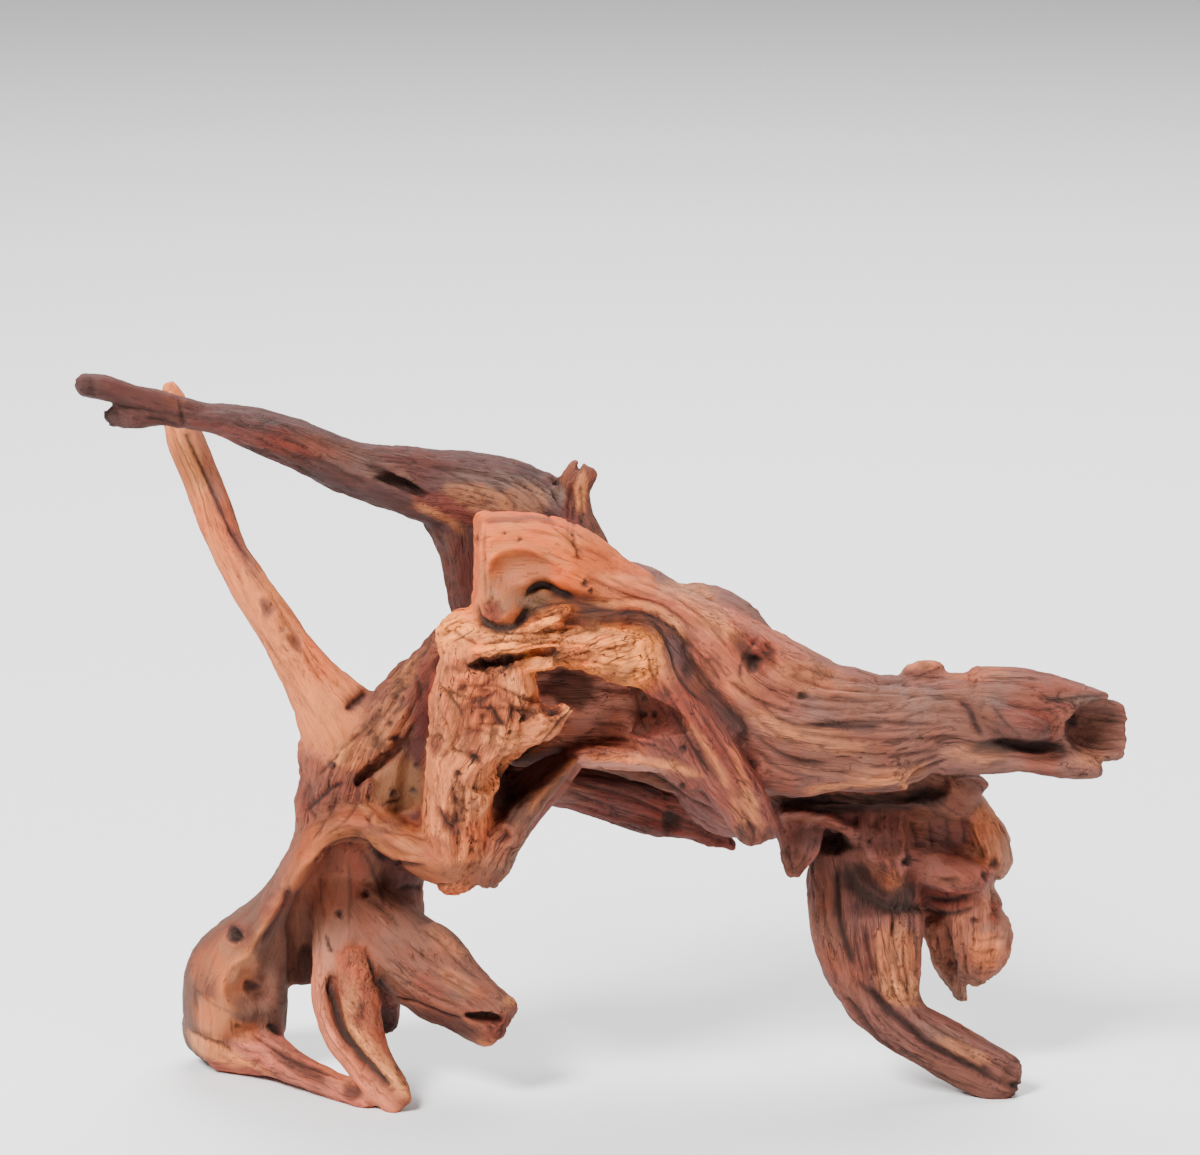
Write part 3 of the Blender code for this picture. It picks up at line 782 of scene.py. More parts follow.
@dataclass(frozen=True)
class Lip(Mark):
    """An edge along a path: the wood to its left, as the path is walked, stands higher.

    Attributes:
        path: Its corners in the front view.
        height: How much higher, in millimetres.
        reach: How far the rise spreads, in millimetres.
        stain: A colour laid along the edge, if any; a pale one is partly edge wear, partly painted
            highlight on the rim.
    """

    path: str
    height: float = 1.2
    reach: float = 4.0
    stain: Stain = Stain.NONE

    def work(self, skin: Skin, anchors: Anchors) -> None:
        """Raises the left side and sinks the right one, with a sharp step between them."""
        line = anchors.line(self.path, self.side)
        if len(line) < 3:
            return
        found, away, run, left = skin.beside(line, self.reach * 2.5, self.side)
        taper = np.clip(np.sin(pi * np.clip(run, 0, 1)) * 2.0, 0, 1)
        fade = np.exp(-((away / self.reach) ** 2)) * taper
        skin.push[found] += self.height * np.tanh(left / 0.9) * fade * 0.5
        edge = np.exp(-(((left - 0.8) / 1.4) ** 2)) * taper
        # Pale edge colours stand partly for wear and partly for painted highlight on the rim.
        skin.stain(found, 0.7 * edge, self.stain)


@dataclass(frozen=True)
class Knot(Mark):
    """A knot or a hole: a sunk or raised middle in a ring.

    Attributes:
        at: Its middle in the front view.
        size: Half its width and half its height.
        depth: How far the middle is sunk, in millimetres; less than nothing is a bud.
        ring: How far the ring round it stands up.
        turn: How far it is turned, in degrees.
        dark: How dark its middle is, from 0 to 1.
        stain: The colour of the knot, if any.
    """

    at: Spot
    size: Spot = (3.0, 3.0)
    depth: float = 1.5
    ring: float = 0.4
    turn: float = 0.0
    dark: float = 0.6
    stain: Stain = Stain.MAROON

    def work(self, skin: Skin, anchors: Anchors) -> None:
        """Sinks the middle, raises the ring and darkens what is between them."""
        middle = anchors.spot(*self.at, self.side)
        if middle is None:
            return
        found, away, angle = skin.around(middle, self.size, self.turn, self.side, 2.6)
        uneven = away * (1 + 0.12 * np.sin(3 * angle + self.at[0]) + 0.08 * np.sin(5 * angle))
        skin.push[found] -= self.depth * np.exp(-((uneven / 0.7) ** 4))
        skin.push[found] += self.ring * np.exp(-(((uneven - 1.15) / 0.35) ** 2))
        rim = np.exp(-(((uneven - 0.85) / 0.18) ** 2))
        core = np.exp(-((uneven / 0.6) ** 4))
        skin.lift(skin.crack, found, self.dark * np.maximum(core, rim * 0.5))
        skin.stain(found, 0.75 * np.exp(-(uneven**6)), self.stain)


@dataclass(frozen=True)
class Patch(Mark):
    """A stretch of wood with a colour laid over it, or torn or worn smooth; in some recesses and under
    overhangs the colour is painted shade.

    Attributes:
        at: Its middle in the front view.
        size: Half its width and half its height.
        stain: The colour that it takes, if any.
        share: How much of the colour, from 0 to 1.
        turn: How far it is turned, in degrees.
        torn: How torn it is, from 0 to 1; less than nothing is worn smooth.
        push: How far it is raised, in millimetres; less than nothing is sunk.
    """

    at: Spot
    size: Spot
    stain: Stain = Stain.NONE
    share: float = 0.6
    turn: float = 0.0
    torn: float = 0.0
    push: float = 0.0

    def work(self, skin: Skin, anchors: Anchors) -> None:
        """Lays the colour on with an uneven edge."""
        middle = anchors.spot(*self.at, self.side)
        if middle is None:
            return
        found, away, _ = skin.around(middle, self.size, self.turn, self.side, 1.8)
        away = away + 0.22 * ripple(skin.points[found] / 5.0, Seed.PATCH_EDGE)
        share = np.clip((1.25 - away) / 0.5, 0, 1)
        share = share * share * (3 - 2 * share)
        skin.stain(found, self.share * share, self.stain)
        skin.lift(skin.torn, found, self.torn * share)
        skin.lift(skin.smooth, found, -self.torn * share)
        skin.push[found] += self.push * share


def drawn(text: str) -> tuple[Mark, ...]:
    """Reads marks, one to a line.

    Args:
        text: Each line has the kind of mark, where it is and its other values in their order,
            with slashes between, such as "knot -82 255 / 9 2.4 / 2 .5". A line that starts
            with "back" is for the side behind, and one that ends with a semicolon goes on in
            the next.

    Returns:
        The marks.
    """
    kinds = {"groove": Groove, "lip": Lip, "knot": Knot, "patch": Patch}
    marks = []
    for line in text.strip().replace(";\n", ";").splitlines():
        words, *sizes, rest = (part.strip() for part in line.split("/"))
        side = Side.BACK if words.startswith("back ") else Side.FRONT
        kind, place = words.removeprefix("back ").split(" ", 1)
        where = (stations(place)[0], stations(sizes[0])[0]) if sizes else (place,)
        values = (Stain[word.upper()] if word.isalpha() else float(word) for word in rest.split())
        marks.append(kinds[kind](*where, *values, side=side))
    return tuple(marks)


@dataclass(frozen=True)
class Region:
    """A sub-assembly of the wood: its limbs, its hollows and its marks, as fields."""

    marks: tuple[Mark, ...] = field(default=(), kw_only=True)

    def made_of(self, kind: type) -> dict[str, Loft]:
        """Lists the region's fields of one kind.

        Args:
            kind: Limb or Hollow.

        Returns:
            Each field's value by its name.
        """
        named = {f.name: getattr(self, f.name) for f in fields(self)}
        return {name: value for name, value in named.items() if isinstance(value, kind)}


@dataclass(frozen=True)
class LongBranch(Region):
    """The grey-brown branch that reaches up to the left, with its root and a broken spike."""

    branch: Limb = Limb(stations(
        "-6 220 4 9 13; -15 233 6 12.5 16; -26 241 7 15.5 17.5; -40 247.5 6 15.5 17; "
        "-54 250.5 3 15.2 16; -68 253 0 14.6 15; -80 256 -4 13 13; -90 258 -7 11.8 12; "
        "-100 260.7 -10 10.6 11; -110 264.8 -14 10.2 10.5; -120 269.5 -18 9.8 10; "
        "-130 273 -23 9.2 9.5; -140 276.2 -28 8.3 8.5; -150 279.3 -33 6.3 7; "
        "-160 280.3 -38 5.3 6; -170 282.5 -43 6 6; -180 285.2 -47 6.2 5.8; "
        "-190 289.5 -51 4.4 5; -199 292.2 -55 4.8 4.8; -207.5 293.3 -59 4.6 4.6"
    ), Look.BRANCH, "branch")
    nub: Limb = Limb(stations(
        "-166 281 -42 4.5 5; -176 281 -45 4 5; -186 280.3 -48 4.2 4.8; -194 280.8 -50 4 4; "
        "-198 281 -51 2.2 2.6"
    ), Look.BRANCH, "branch")
    root: Limb = Limb(stations(
        "-62 247 3 12 11; -58 238 3 11 11; -55 229 2 9.8 11; -53 221 1 9.5 11; -52 212 0 9 11; "
        "-50 203 -3 9 11; -48 192 -8 11 12; -46 178 -14 14 14"
    ), Look.BRANCH_ROOT, "branch_root")
    spike: Limb = Limb(stations(
        "-2 226 6 7 10; -8 238 7 6.2 9; -10 247 7 5.6 7; -10.4 252 6.5 6 5; -8.4 256 6 6.2 4; "
        "-6 259.4 5.6 5.8 3"
    ), Look.SPIKE, "spike", power=0.6)
    slot: Hollow = Hollow(stations(
        "-92 258 -22 0.8 3; -84 255.5 -20 2.4 6; -76 252.5 -16 2.8 6; -68 248 -15 1.2 4"
    ))
    snag: Limb = Limb(stations(
        "-26 250 4 5 7; -22 254 4 4 5; -19.5 256 4 2.4 3"
    ), Look.BRANCH, "branch")
    crown: Limb = Limb(stations(
        "-12 256 5.6 2.2 3; -12.6 259.6 5.4 1.6 2"
    ), Look.SPIKE, "spike")
    crown_notch: Hollow = Hollow(stations(
        "-8 263 12 1.6 3; -8.2 261 5 1.5 3; -8.4 260.4 -2 1.4 3"
    ))
    # Painted light: the tan lip along the branch's lower edge is partly painted highlight, the maroon
    # patch under it (-60 236) is painted shade, and the maroon patch on the root (-52 215) is the block's
    # painted shadow.
    marks: tuple[Mark, ...] = drawn("""
    knot -82 255 / 9 2.4 / 2 .5 -14 .9
    patch -60 244 / 16 4 / red .5 -22
    lip -75 247; -65 242; -55 236; -51 231 / 1.4 3.5 tan
    patch -60 236 / 12 3 / maroon .7 -25
    groove -128 277; -112 270; -98 266; -84 262 / 1 .6 .35
    groove -70 262; -56 259; -44 257; -30 250; -22 240 / 1 .8 .45
    groove -46 256; -38 250; -32 242 / .9 .7 .5
    groove -38 258; -28 251; -22 243; -18 236 / .9 .8 .6
    groove -30 259; -20 252; -14 243 / .8 .7 .5
    groove -62 252; -50 247; -40 243 / .9 .6 .35
    groove -150 280; -138 276; -124 271; -112 265 / .9 .6 .35
    groove -200 286; -190 284; -176 282; -160 279 / 1.1 1.4 .6
    groove -182 280; -176 279; -168 277 / .9 1 .6
    patch -205.5 292.5 / 3 4.5 / maroon .6 0 .6
    patch -196 280.5 / 4 3.5 / dark .7 0 .8
    patch -100 264 / 26 5 / grey .35 -22
    patch -38 251 / 24 8 / grey .35 -8
    patch -140 272 / 24 3.5 / red .3 -14
    groove -13 232; -12.5 242; -12 252 / .8 .8 .6
    patch -52 215 / 6 16 / maroon .45
    groove -95 262; -86 258.5; -76 254; -70 248 / 1.2 1.3 .75 maroon
    knot -16.5 249 / 2.4 3.4 / .9 .6 10 .55 grey
    knot -17.2 254 / 1.5 1.4 / 1.3 .2 0 .95
    groove -65 261; -60 258; -54 255; -46 250 / .8 .8 .6
    groove -20 253; -17.5 247; -15 243 / .7 .8 .75
    groove -12 255; -10.5 248; -10.5 240; -11 232 / .8 .9 .7
    groove -8.5 254; -7 246; -6.5 238 / .6 .7 .55
    patch -7.5 251 / 2.6 8 / pale .55 -4
    patch -12 242 / 3 10 / red .45
    patch -30 246 / 9 8 / tan .3
    patch -48 248 / 14 5 / tan .45 -16
    lip -48 240; -38 240; -26 240.5; -16 238 / -1.6 2.4 maroon
    patch -188 286 / 16 6 / maroon .15 -10
    patch -118 270 / 14 4 / red .25 -16
    groove -172 283; -158 280; -146 276; -134 270 / .8 .6 .4
    groove -122 265; -108 261; -98 256; -90 251 / .9 .7 .5
    back groove -122 268; -96 260; -70 254; -44 250 / 1 1.2 .6
    back groove -60 246; -44 243; -28 240; -12 234 / 1 1.3 .7
    back knot -62 252 / 3 2.2 / 1.4 .5 -14 .7
    back patch -140 274 / 16 4 / tan .25 -14
    back patch -80 256 / 22 5 / purple .3 -14
    """)


@dataclass(frozen=True)
class PaleLimb(Region):
    """The slim tan limb at the far left."""

    limb: Limb = Limb(stations(
        "-100 150 -28 17 17; -106 161 -29 16.5 17; -114.5 173.5 -28 11.8 12.5; "
        "-123.5 187 -26 9.4 10; -130 197.5 -25 8.5 9; -136 206.5 -24 8 8.5; -142 216 -23 7.5 8; "
        "-148 226.5 -21 6.9 7.5; -152 236 -19 7.3 7.5; -155 244 -18 7.6 7.5; "
        "-158.3 253 -16 7.4 7; -162 262 -14 7.3 7; -165.8 271 -12 7.3 6.8; -168.8 280 -10 6 6; "
        "-171 288 -9 4.6 4.8; -172.5 293.5 -8 2.6 3"
    ), Look.PALE_LIMB, "pale_limb")
    marks: tuple[Mark, ...] = drawn("""
    groove -167 284; -166 275; -160 262; -155 251; -150 240; -145 231; -138 219 / 1.1 1.5 .85 purple
    patch -153 256 / 3 24 / purple .5 24
    patch -143 226 / 3 14 / purple .5 28
    knot -133 204 / 2.8 4.5 / .9 .6 18 .55 purple
    knot -122 190 / 2.6 4.6 / .9 .6 30 .55 purple
    knot -127.5 195.5 / 1.5 1.8 / .6 .2 0 .4 brown
    groove -160 258; -155 243; -149 226; -140 210 / .8 .5 .25
    groove -135 214; -126 200; -117 184; -108 170 / .9 .7 .45
    groove -137 196; -128 182; -119 168; -112 158 / .9 .6 .35
    patch -126 196 / 4 16 / orange .35 28
    patch -170 289 / 3.5 5 / brown .5 0 .5
    groove -170 292; -167 282; -163 272 / .8 .9 .6
    patch -163 262 / 3.6 15 / pale .6 20
    back groove -162 266; -150 240; -140 218; -130 202 / .8 .9 .5 purple
    back knot -128 194 / 2 3 / .8 .5 20 .5 purple
    back knot -146 232 / 1.8 3 / .8 .4 20 .5 purple
    back patch -120 186 / 5 14 / orange .35 28
    """)


@dataclass(frozen=True)
class Block(Region):
    """The squared block in the upper middle, with the nose that hangs from it."""

    block: Limb = Limb(stations(
        "16 210 -44 9 17; 6 214.5 -45 10 18; -4 219.5 -46 12.5 20; -15 223.5 -48 14.5 21.5; "
        "-27 225.5 -49 15.2 23; -38 225.5 -50 15.6 23.5; -44 224.8 -50 16 23; "
        "-48 224 -50 15 20; -50 223 -50 11 13"
    ), Look.BLOCK, "block", power=0.62)
    side: Limb = Limb(stations(
        "-45.5 238.6 -46 5.6 17; -46 231 -46 5.4 18; -46.3 220 -46 5.2 17; "
        "-46.5 210 -46 4.8 16; -46.5 203.5 -46 4.2 13"
    ), Look.BLOCK, "block", power=0.6)
    nose: Limb = Limb(stations(
        "-38 222 -56 10 12; -39 214 -58 11 13; -40 207 -63 10.8 13; -40.2 201.5 -66 9 10.5; "
        "-40 198 -66 6 7"
    ), Look.NOSE, "nose")
    back: Limb = Limb(stations(
        "-40 226 -20 12 14; -26 222 -18 16 16; -12 214 -18 17 18; 4 207 -20 15 20; "
        "20 201 -22 12 20; 34 194 -26 12 20"
    ), Look.BACK, "block")
    scoop: Hollow = Hollow(stations(
        "-47.5 204 -84 2.6 7; -44.8 211 -83 7.2 10.5; -39.5 217.4 -82 10 13; "
        "-31 221 -79 9 11.5; -21.5 221 -75 5 8; -13.6 218 -72 2 4"
    ))
    side_cut: Hollow = Hollow(stations(
        "-55.4 250 -60 7.6 30; -54.6 232 -60 7 30; -55 216 -60 7 30; -56.4 205 -60 6.6 26"
    ))
    # Painted shadow: the dark colour of the groove round the nose's bottom (-49.5 207 on), of the patch
    # under it (-40 196.5), of the groove under the arch (-30 208 on) and of the patch in the vein's mouth
    # (-26 205); the tan lip round the scoop's rim is partly painted highlight.
    marks: tuple[Mark, ...] = drawn("""
    groove -49.5 207; -48 200.4; -43 196.4; -37 196; -32 198.4; -29 203; -28 208 / 1.5 2.4 .95 dark
    lip -28.6 208; -30 202; -33 198.6; -38 197; -43 197.6; -47.4 201.4; -48.6 207 / -1.4 2 none
    groove -30 208; -28 211; -24 213; -20 212.4; -15 210; -10 207.8 / 1.2 2 .95 dark
    patch -26 205 / 6 4 / dark .5 0 .8
    patch -17 203 / 7 3 / brown .5 -8 .9
    groove -28 203; -22 205; -16 206.4; -10 206 / .6 .9 .8
    groove -27 199.4; -20 201; -13 202.4 / .6 .9 .8
    patch -32 214 / 14 12 / olive .6 22 -.9
    patch -36 214 / 7 7 / orange .45 0 -.9
    knot -42.4 202.8 / 3.2 3.4 / .9 .8 0 .5 red
    knot -32 231.5 / 1.2 1 / 1.1 .3 0 .8
    knot -49 232 / 1.2 1.2 / 1.1 .3 0 .8
    groove -11 234; -9.5 228; -8 223 / .7 1 .8
    groove -48 238; -38 239; -26 238 / .8 .6 .3
    groove -14 230; -4 227; 6 222 / .9 .8 .4
    groove -30 235; -18 233; -6 228 / .8 .5 .25
    patch -24 233 / 20 5 / tan .3 -8
    patch -2 222 / 9 6 / red .3 -20
    patch -46 226 / 3.5 12 / tan .3
    lip -10 219.3; -14 220.6; -20 224; -25 227.4; -30 229; -38 228.4; -42.6 226; -46.6 220.6;
      -49.4 212 / -2 2.4 tan
    groove -20 237; -14 233; -10 230; -6 224 / .8 .9 .6
    knot -38 234 / 1 .8 / .8 .2 0 .7
    knot -11 233.5 / 1 .8 / .8 .2 0 .7
    patch -43 203 / 4 5 / red .45 0 .9
    knot -6 214 / 1.4 2 / 1 .3 0 .8
    knot -3.6 211 / 1.2 1.4 / .9 .2 0 .8
    patch -40 196.5 / 9 2.2 / dark .7
    patch -30 218 / 9 4 / tan .4 10 -.8
    patch -34 206 / 6 3 / grey .4 20 -.6
    groove -46 238; -46.5 228; -46 216; -46 206 / .7 .8 .5
    groove -44 214; -43 208; -41 203 / .7 .6 .5
    groove -8 218; 0 214; 8 210; 16 207 / .8 .9 .6
    groove -28 239; -16 237; -8 233; 0 229 / .7 .6 .4
    patch -31 217 / 13 9 / brown .4 22 -.9
    """)


@dataclass(frozen=True)
class Slab(Region):
    """The salmon slab behind the dark vein, and the bed that the vein runs in."""

    vein_back: Limb = Limb(stations(
        "-44 202 -22 14 14; -22 197 -22 14 14; 0 193 -22 14 14; 20 189 -24 13 14; "
        "38 182 -28 12 14"
    ), Look.INNER, "ridge")
    slab: Limb = Limb(stations(
        "-6 217 -46 11 18; 8 213 -47 8.5 17; 20 208 -47 6.5 17; 32 202 -47 8.5 18; "
        "42 195 -46 12 20; 52 186 -45 17 21; 62 177 -43 20 21; 72 171 -39 20 20; "
        "84 166 -34 19 18"
    ), Look.SLAB, "slab", power=0.74)
    ridge: Limb = Limb(stations(
        "-10 212 4 12 14; 6 211 2 11.5 15; 18 208 0 11.5 16; 28 201.5 -2 12 17; "
        "40 201 -5 12.5 18; 50 197.3 -9 12.6 19; 58 189.5 -14 12 20; 68 176 -22 15 21; "
        "80 168 -28 17 21"
    ), Look.TRUNK, "ridge")
    vein_bed: Limb = Limb(stations(
        "-36 205.5 -55 8.5 10; -27 205.4 -60 8.4 10; -18 203.6 -60 7.2 10; -8 201.8 -58 6.4 10; "
        "0 201.3 -54 6.2 11; 12 201.5 -50 6 12; 21 198.8 -50 5.6 12; 28 192.4 -50 5.2 12; "
        "32.5 182.5 -52 4.6 12; 39 172.5 -54 4 12; 48.5 163.5 -56 3.4 11; 56 155 -57 2.8 9"
    ), Look.VEIN, "vein")
    vein_mouth: Hollow = Hollow(stations(
        "-30 209.6 -78 1.2 10; -26.5 212.2 -77 2.2 12; -22 213 -76 2.6 13; "
        "-17.5 211.4 -75 2.2 12; -12.5 209 -74 1.4 10; -7 207.2 -73 1 8"
    ))
    chip: Limb = Limb(stations(
        "-22 200.4 -68 1.6 4; -17 202.4 -70 2.4 4; -12.6 203.8 -69 1.4 3"
    ), Look.LEDGE, "ledge", power=0.6)
    fibre: Limb = Limb(stations(
        "-28 197.2 -78 1.3 1.6; -21 198.6 -79 1.4 1.6; -15 200.3 -78 1.1 1.4"
    ), Look.LEDGE, "ledge")
    marks: tuple[Mark, ...] = drawn("""
    knot 61 183 / 4.5 4 / 2.2 .6 20 .9 dark
    patch 60 189 / 9 6 / red .4 -40 .7
    groove 64 193; 60 188; 56 180; 57 174 / 1 1.2 .8
    groove 12 216; 22 212; 34 206; 44 198; 52 190 / .9 .8 .45
    groove 2 217; 12 212; 24 208 / .8 .8 .5
    groove 30 213; 40 210; 50 203; 58 196 / .9 .9 .5
    patch 20 210 / 14 4 / red .35 -16
    patch 42 203 / 12 6 / tan .35 -24
    patch 36 211 / 10 4 / pale .35 -14
    groove 2 201.2; 8 201.5; 12 202; 18 201.3; 22 199.5; 26 197.5; 30 194.5; 34 190; 36 187.5 / .7 1.2 .95
    groove 14 200.4; 18 200; 24 195; 28 188; 31 178; 36 171; 44 164 / .8 1.4 .95
    groove -12 203; -6 202.4; 0 203.4; 8 203 / .7 .8 .7
    groove 22 203; 23.5 200.4; 24.6 198 / .5 .7 .8
    groove 28.6 198; 30 196; 31 193.6 / .5 .7 .8
    groove 33 180; 35.6 178.4; 38 178 / .5 .6 .7
    lip -8 207.8; 2 206.6; 14 206.4; 22 204.4; 28 200.6; 33 195.4; 36 189 / 1.2 2.2 pale
    patch 6 200 / 20 3.4 / brown .35
    patch 32 190 / 5 7 / dark .45 -45
    patch 42 178 / 4.4 9 / brown .6 -40
    groove 38 187; 42 183; 46 178; 48 173 / .8 .9 .7
    groove 41 188; 45 184; 49 179; 51 174 / .7 .8 .6
    groove 36 184; 39 180; 43 175; 46 170 / .7 .8 .6
    knot 62 182 / 4.2 3.4 / 2 .6 30 .95 dark
    patch 64 186 / 7 5 / red .45 -40 .9
    patch 20 212.5 / 20 3 / pale .3 -12
    patch 4 210 / 8 3 / orange .4 -8
    groove 6 207.8; 16 207.4; 24 205; 32 199.6; 38 192 / .7 .8 .55
    groove 16 214; 28 210; 38 203; 46 194; 54 184 / .7 .8 .6
    patch 53 193 / 8 4 / brown .5 -50
    patch 56 172 / 7 5 / tan .4 -30
    groove 50 176; 58 170; 68 165; 80 162 / .9 1.1 .7
    patch 48 196 / 8 5 / pale .35 -40
    """)


@dataclass(frozen=True)
class Trunk(Region):
    """The long trunk to the right, with its broken pipe end, beak and fingers."""

    trunk: Limb = Limb(stations(
        "44 176 -34 18 20; 56 166 -36 27 22; 68 161.5 -38 30 23; 80 159 -39 29 23; "
        "90 157 -40 26.5 23; 100 156 -40 25 22; 110 154.5 -40 23.5 22; 120 156 -40 22 21; "
        "130 158.3 -40 19.5 20; 140 159.5 -40 18.8 19; 150 158.5 -40 20 19; "
        "160 159 -40 20.8 19; 170 159.3 -40 20 18; 180 159 -40 18 16; 188 158 -40 14 13"
    ), Look.TRUNK, "trunk")
    lip: Limb = Limb(stations(
        "66 140 -50 9 12; 78 137 -52 8.5 10; 92 139.5 -52 8.5 10; 106 140 -52 8.8 10; "
        "118 140 -52 8.8 10; 121.5 139.5 -52 7.5 8"
    ), Look.TRUNK, "trunk")
    beak: Limb = Limb(stations(
        "150 171 -40 9 16; 168 171.5 -40 8 14; 182 171 -42 5.5 10; 193 170 -43 3.2 6; "
        "204 168.8 -44 0.9 2"
    ), Look.TRUNK, "trunk")
    pipe: Limb = Limb(stations(
        "168 156 -38 13 14; 182 155.5 -38 12.6 13; 194 155 -38 12.3 12.5; 203 154.7 -38 12 12; "
        "207 154.5 -38 10.8 10.8"
    ), Look.TRUNK, "trunk")
    finger: Limb = Limb(stations(
        "138 147 -44 9 13; 152 145 -46 7 11; 168 144 -47 5 9; 180 142.5 -48 5 8; "
        "187 142.5 -49 6 7; 194 140.5 -50 4.4 5.5; 200.5 138.8 -50 2.2 3"
    ), Look.TRUNK, "finger")
    knuckle: Limb = Limb(stations(
        "150 164 -50 6.5 8; 159 160.5 -56 6.4 9; 168 156.6 -60 6 8; 175 155 -61 5 6.5; "
        "179 155.5 -61 3 4"
    ), Look.KNUCKLE, "finger")
    stub: Limb = Limb(stations(
        "123 178 -36 3 5; 130 178.6 -36 3.6 6; 136.5 178.8 -36 3.2 5"
    ), Look.TRUNK, "trunk")
    bore: Hollow = Hollow(stations(
        "187 157.5 -52 3.6 9; 191 156.5 -51 8.6 13; 198 155 -50 10.6 15; 207 154.6 -51 10.8 16; "
        "216 154.5 -52 10.8 16"
    ))
    under_knuckle: Hollow = Hollow(stations(
        "153 151.5 -68 1.6 7; 162 150.3 -66 3 12; 172 148.2 -64 3.4 13; 181 148.6 -62 3.4 12; "
        "187 150 -60 2.4 9"
    ))
    lip_hollow: Hollow = Hollow(stations(
        "58 126 -32 4 12; 74 126.5 -34 5 18; 92 128 -34 7 20; 110 129 -34 8.5 20; "
        "126 131 -34 9 20; 140 133 -34 7 18"
    ))
    # Painted shade: the dark patches along the gap under the knuckle (166 149, 170 148.6).
    marks: tuple[Mark, ...] = drawn("""
    patch 110 163 / 34 9 / grey .3 -3
    patch 150 146 / 12 4 / tan .35
    patch 172 160 / 10 4 / red .35 -10
    patch 90 150 / 22 6 / brown .4 -8
    groove 62 176; 72 171; 86 168; 104 167; 122 168 / 1.3 1.27 .43
    groove 76 182; 92 177; 110 174; 128 173; 146 171 / 1.2 1.02 .36
    groove 84 153; 100 152; 118 151; 136 152; 150 153 / 1.2 1.19 .43
    groove 94 147; 110 145; 128 146; 140 148 / 1 .94 .43
    groove 96 162.5; 114 163; 130 163; 148 163 / 1 .77 .36
    groove 150 174; 164 174; 178 172.5 / .9 .68 .29
    lip 123 136; 106 133; 92 132; 80 130 / -1.4 3 tan
    patch 106.5 140.5 / 4 5 / grey .4
    patch 72 166 / 14 4 / red .3 -25
    patch 118 168 / 26 5 / grey .35 -3
    patch 86 176 / 18 6 / tan .35 -12
    patch 155 170 / 16 4 / grey .35
    patch 92 140 / 18 4 / brown .4
    patch 130 152 / 20 5 / brown .35
    patch 68 158 / 12 4 / tan .4 -30
    patch 166 149 / 20 3.2 / dark .8 4
    groove 176 166.5; 186 167.5; 196 168.5; 204 168.6 / 1 1.1 .65 purple
    patch 196 144 / 7 3.5 / tan .35
    groove 146 146; 160 144.5; 176 144; 188 145 / .9 .68 .43
    knot 130 180 / 3 1.6 / .8 .5 0 .5 brown
    groove 160 166; 172 164; 184 163 / 1 .85 .5
    groove 150 161; 158 158; 166 155 / .9 .77 .43
    groove 58 170; 64 166; 70 161; 78 157.5; 88 157; 95 158; 108 159; 125 158; 142 157 / 1.3 1.7 .61
    groove 60 155; 68 148; 76 144; 84 142; 95 142 / 1.3 1.61 .58
    groove 60 163; 66 157; 74 152; 84 149.5; 96 149 / .9 1.1 .5
    groove 62 147; 70 141; 80 137; 92 136 / 1 1.19 .54
    groove 66 172; 76 166.5; 88 164; 104 163.6 / .8 .85 .43
    groove 96 180; 112 178; 128 177; 142 175.5; 158 174 / .7 .59 .36
    groove 104 170.5; 120 170; 138 168; 152 167.6 / .7 .68 .43
    groove 100 155.4; 116 155; 132 155.6; 146 156.6 / .7 .68 .43
    groove 104 141; 116 140.6; 126 142.4; 138 146 / .8 .77 .5
    knot 81 169 / 2.6 1.8 / .8 .5 10 .6 dark
    lip 137.5 179; 137 182; 129 183; 121 182.6 / -1 1.8 tan
    patch 129 181 / 8 2 / tan .6
    patch 150 160 / 8 7 / brown .5 10
    groove 143 168; 148 163; 150 157; 154 152 / 1 1.19 .58 maroon
    groove 156 167; 160 161; 165 155; 170 151.5 / .8 .85 .58
    patch 177 156 / 4 3 / dark .45
    patch 170 148.6 / 18 2.6 / dark .85 -3
    patch 190 167.6 / 12 1.6 / grey .6
    knot 189 159 / 1.8 3.4 / 1.6 .2 0 1 dark
    patch 199 153 / 8 9 / brown .6 0 .3
    groove 124 131.6; 122.4 134; 124.4 137; 131 140.5; 140 143.4 / 1 1.19 .61
    lip 131 140.5; 124.4 137; 122.2 134; 124 131.4 / 1.2 2 tan
    groove 74 178; 84 174; 96 171.4; 110 171 / .8 .85 .43
    patch 150 178 / 14 3 / tan .3
    patch 112 137 / 12 3 / tan .35
    patch 100 143 / 24 6 / brown .5
    patch 90 152 / 18 5 / tan .3 -14
    groove 82 158; 98 156.6; 114 157 / .9 1.3 .6 maroon
    back groove 78 166; 110 164; 140 162; 174 160 / 1.2 1.6 .7
    back groove 84 178; 112 175; 142 173; 172 170 / .9 1.1 .6
    back groove 100 152; 128 151; 156 150; 184 149 / 1 1.2 .65
    back knot 122 166 / 3 2.2 / 1.2 .5 0 .7
    back patch 150 165 / 18 5 / grey .35
    back patch 104 172 / 14 5 / tan .3
    """)


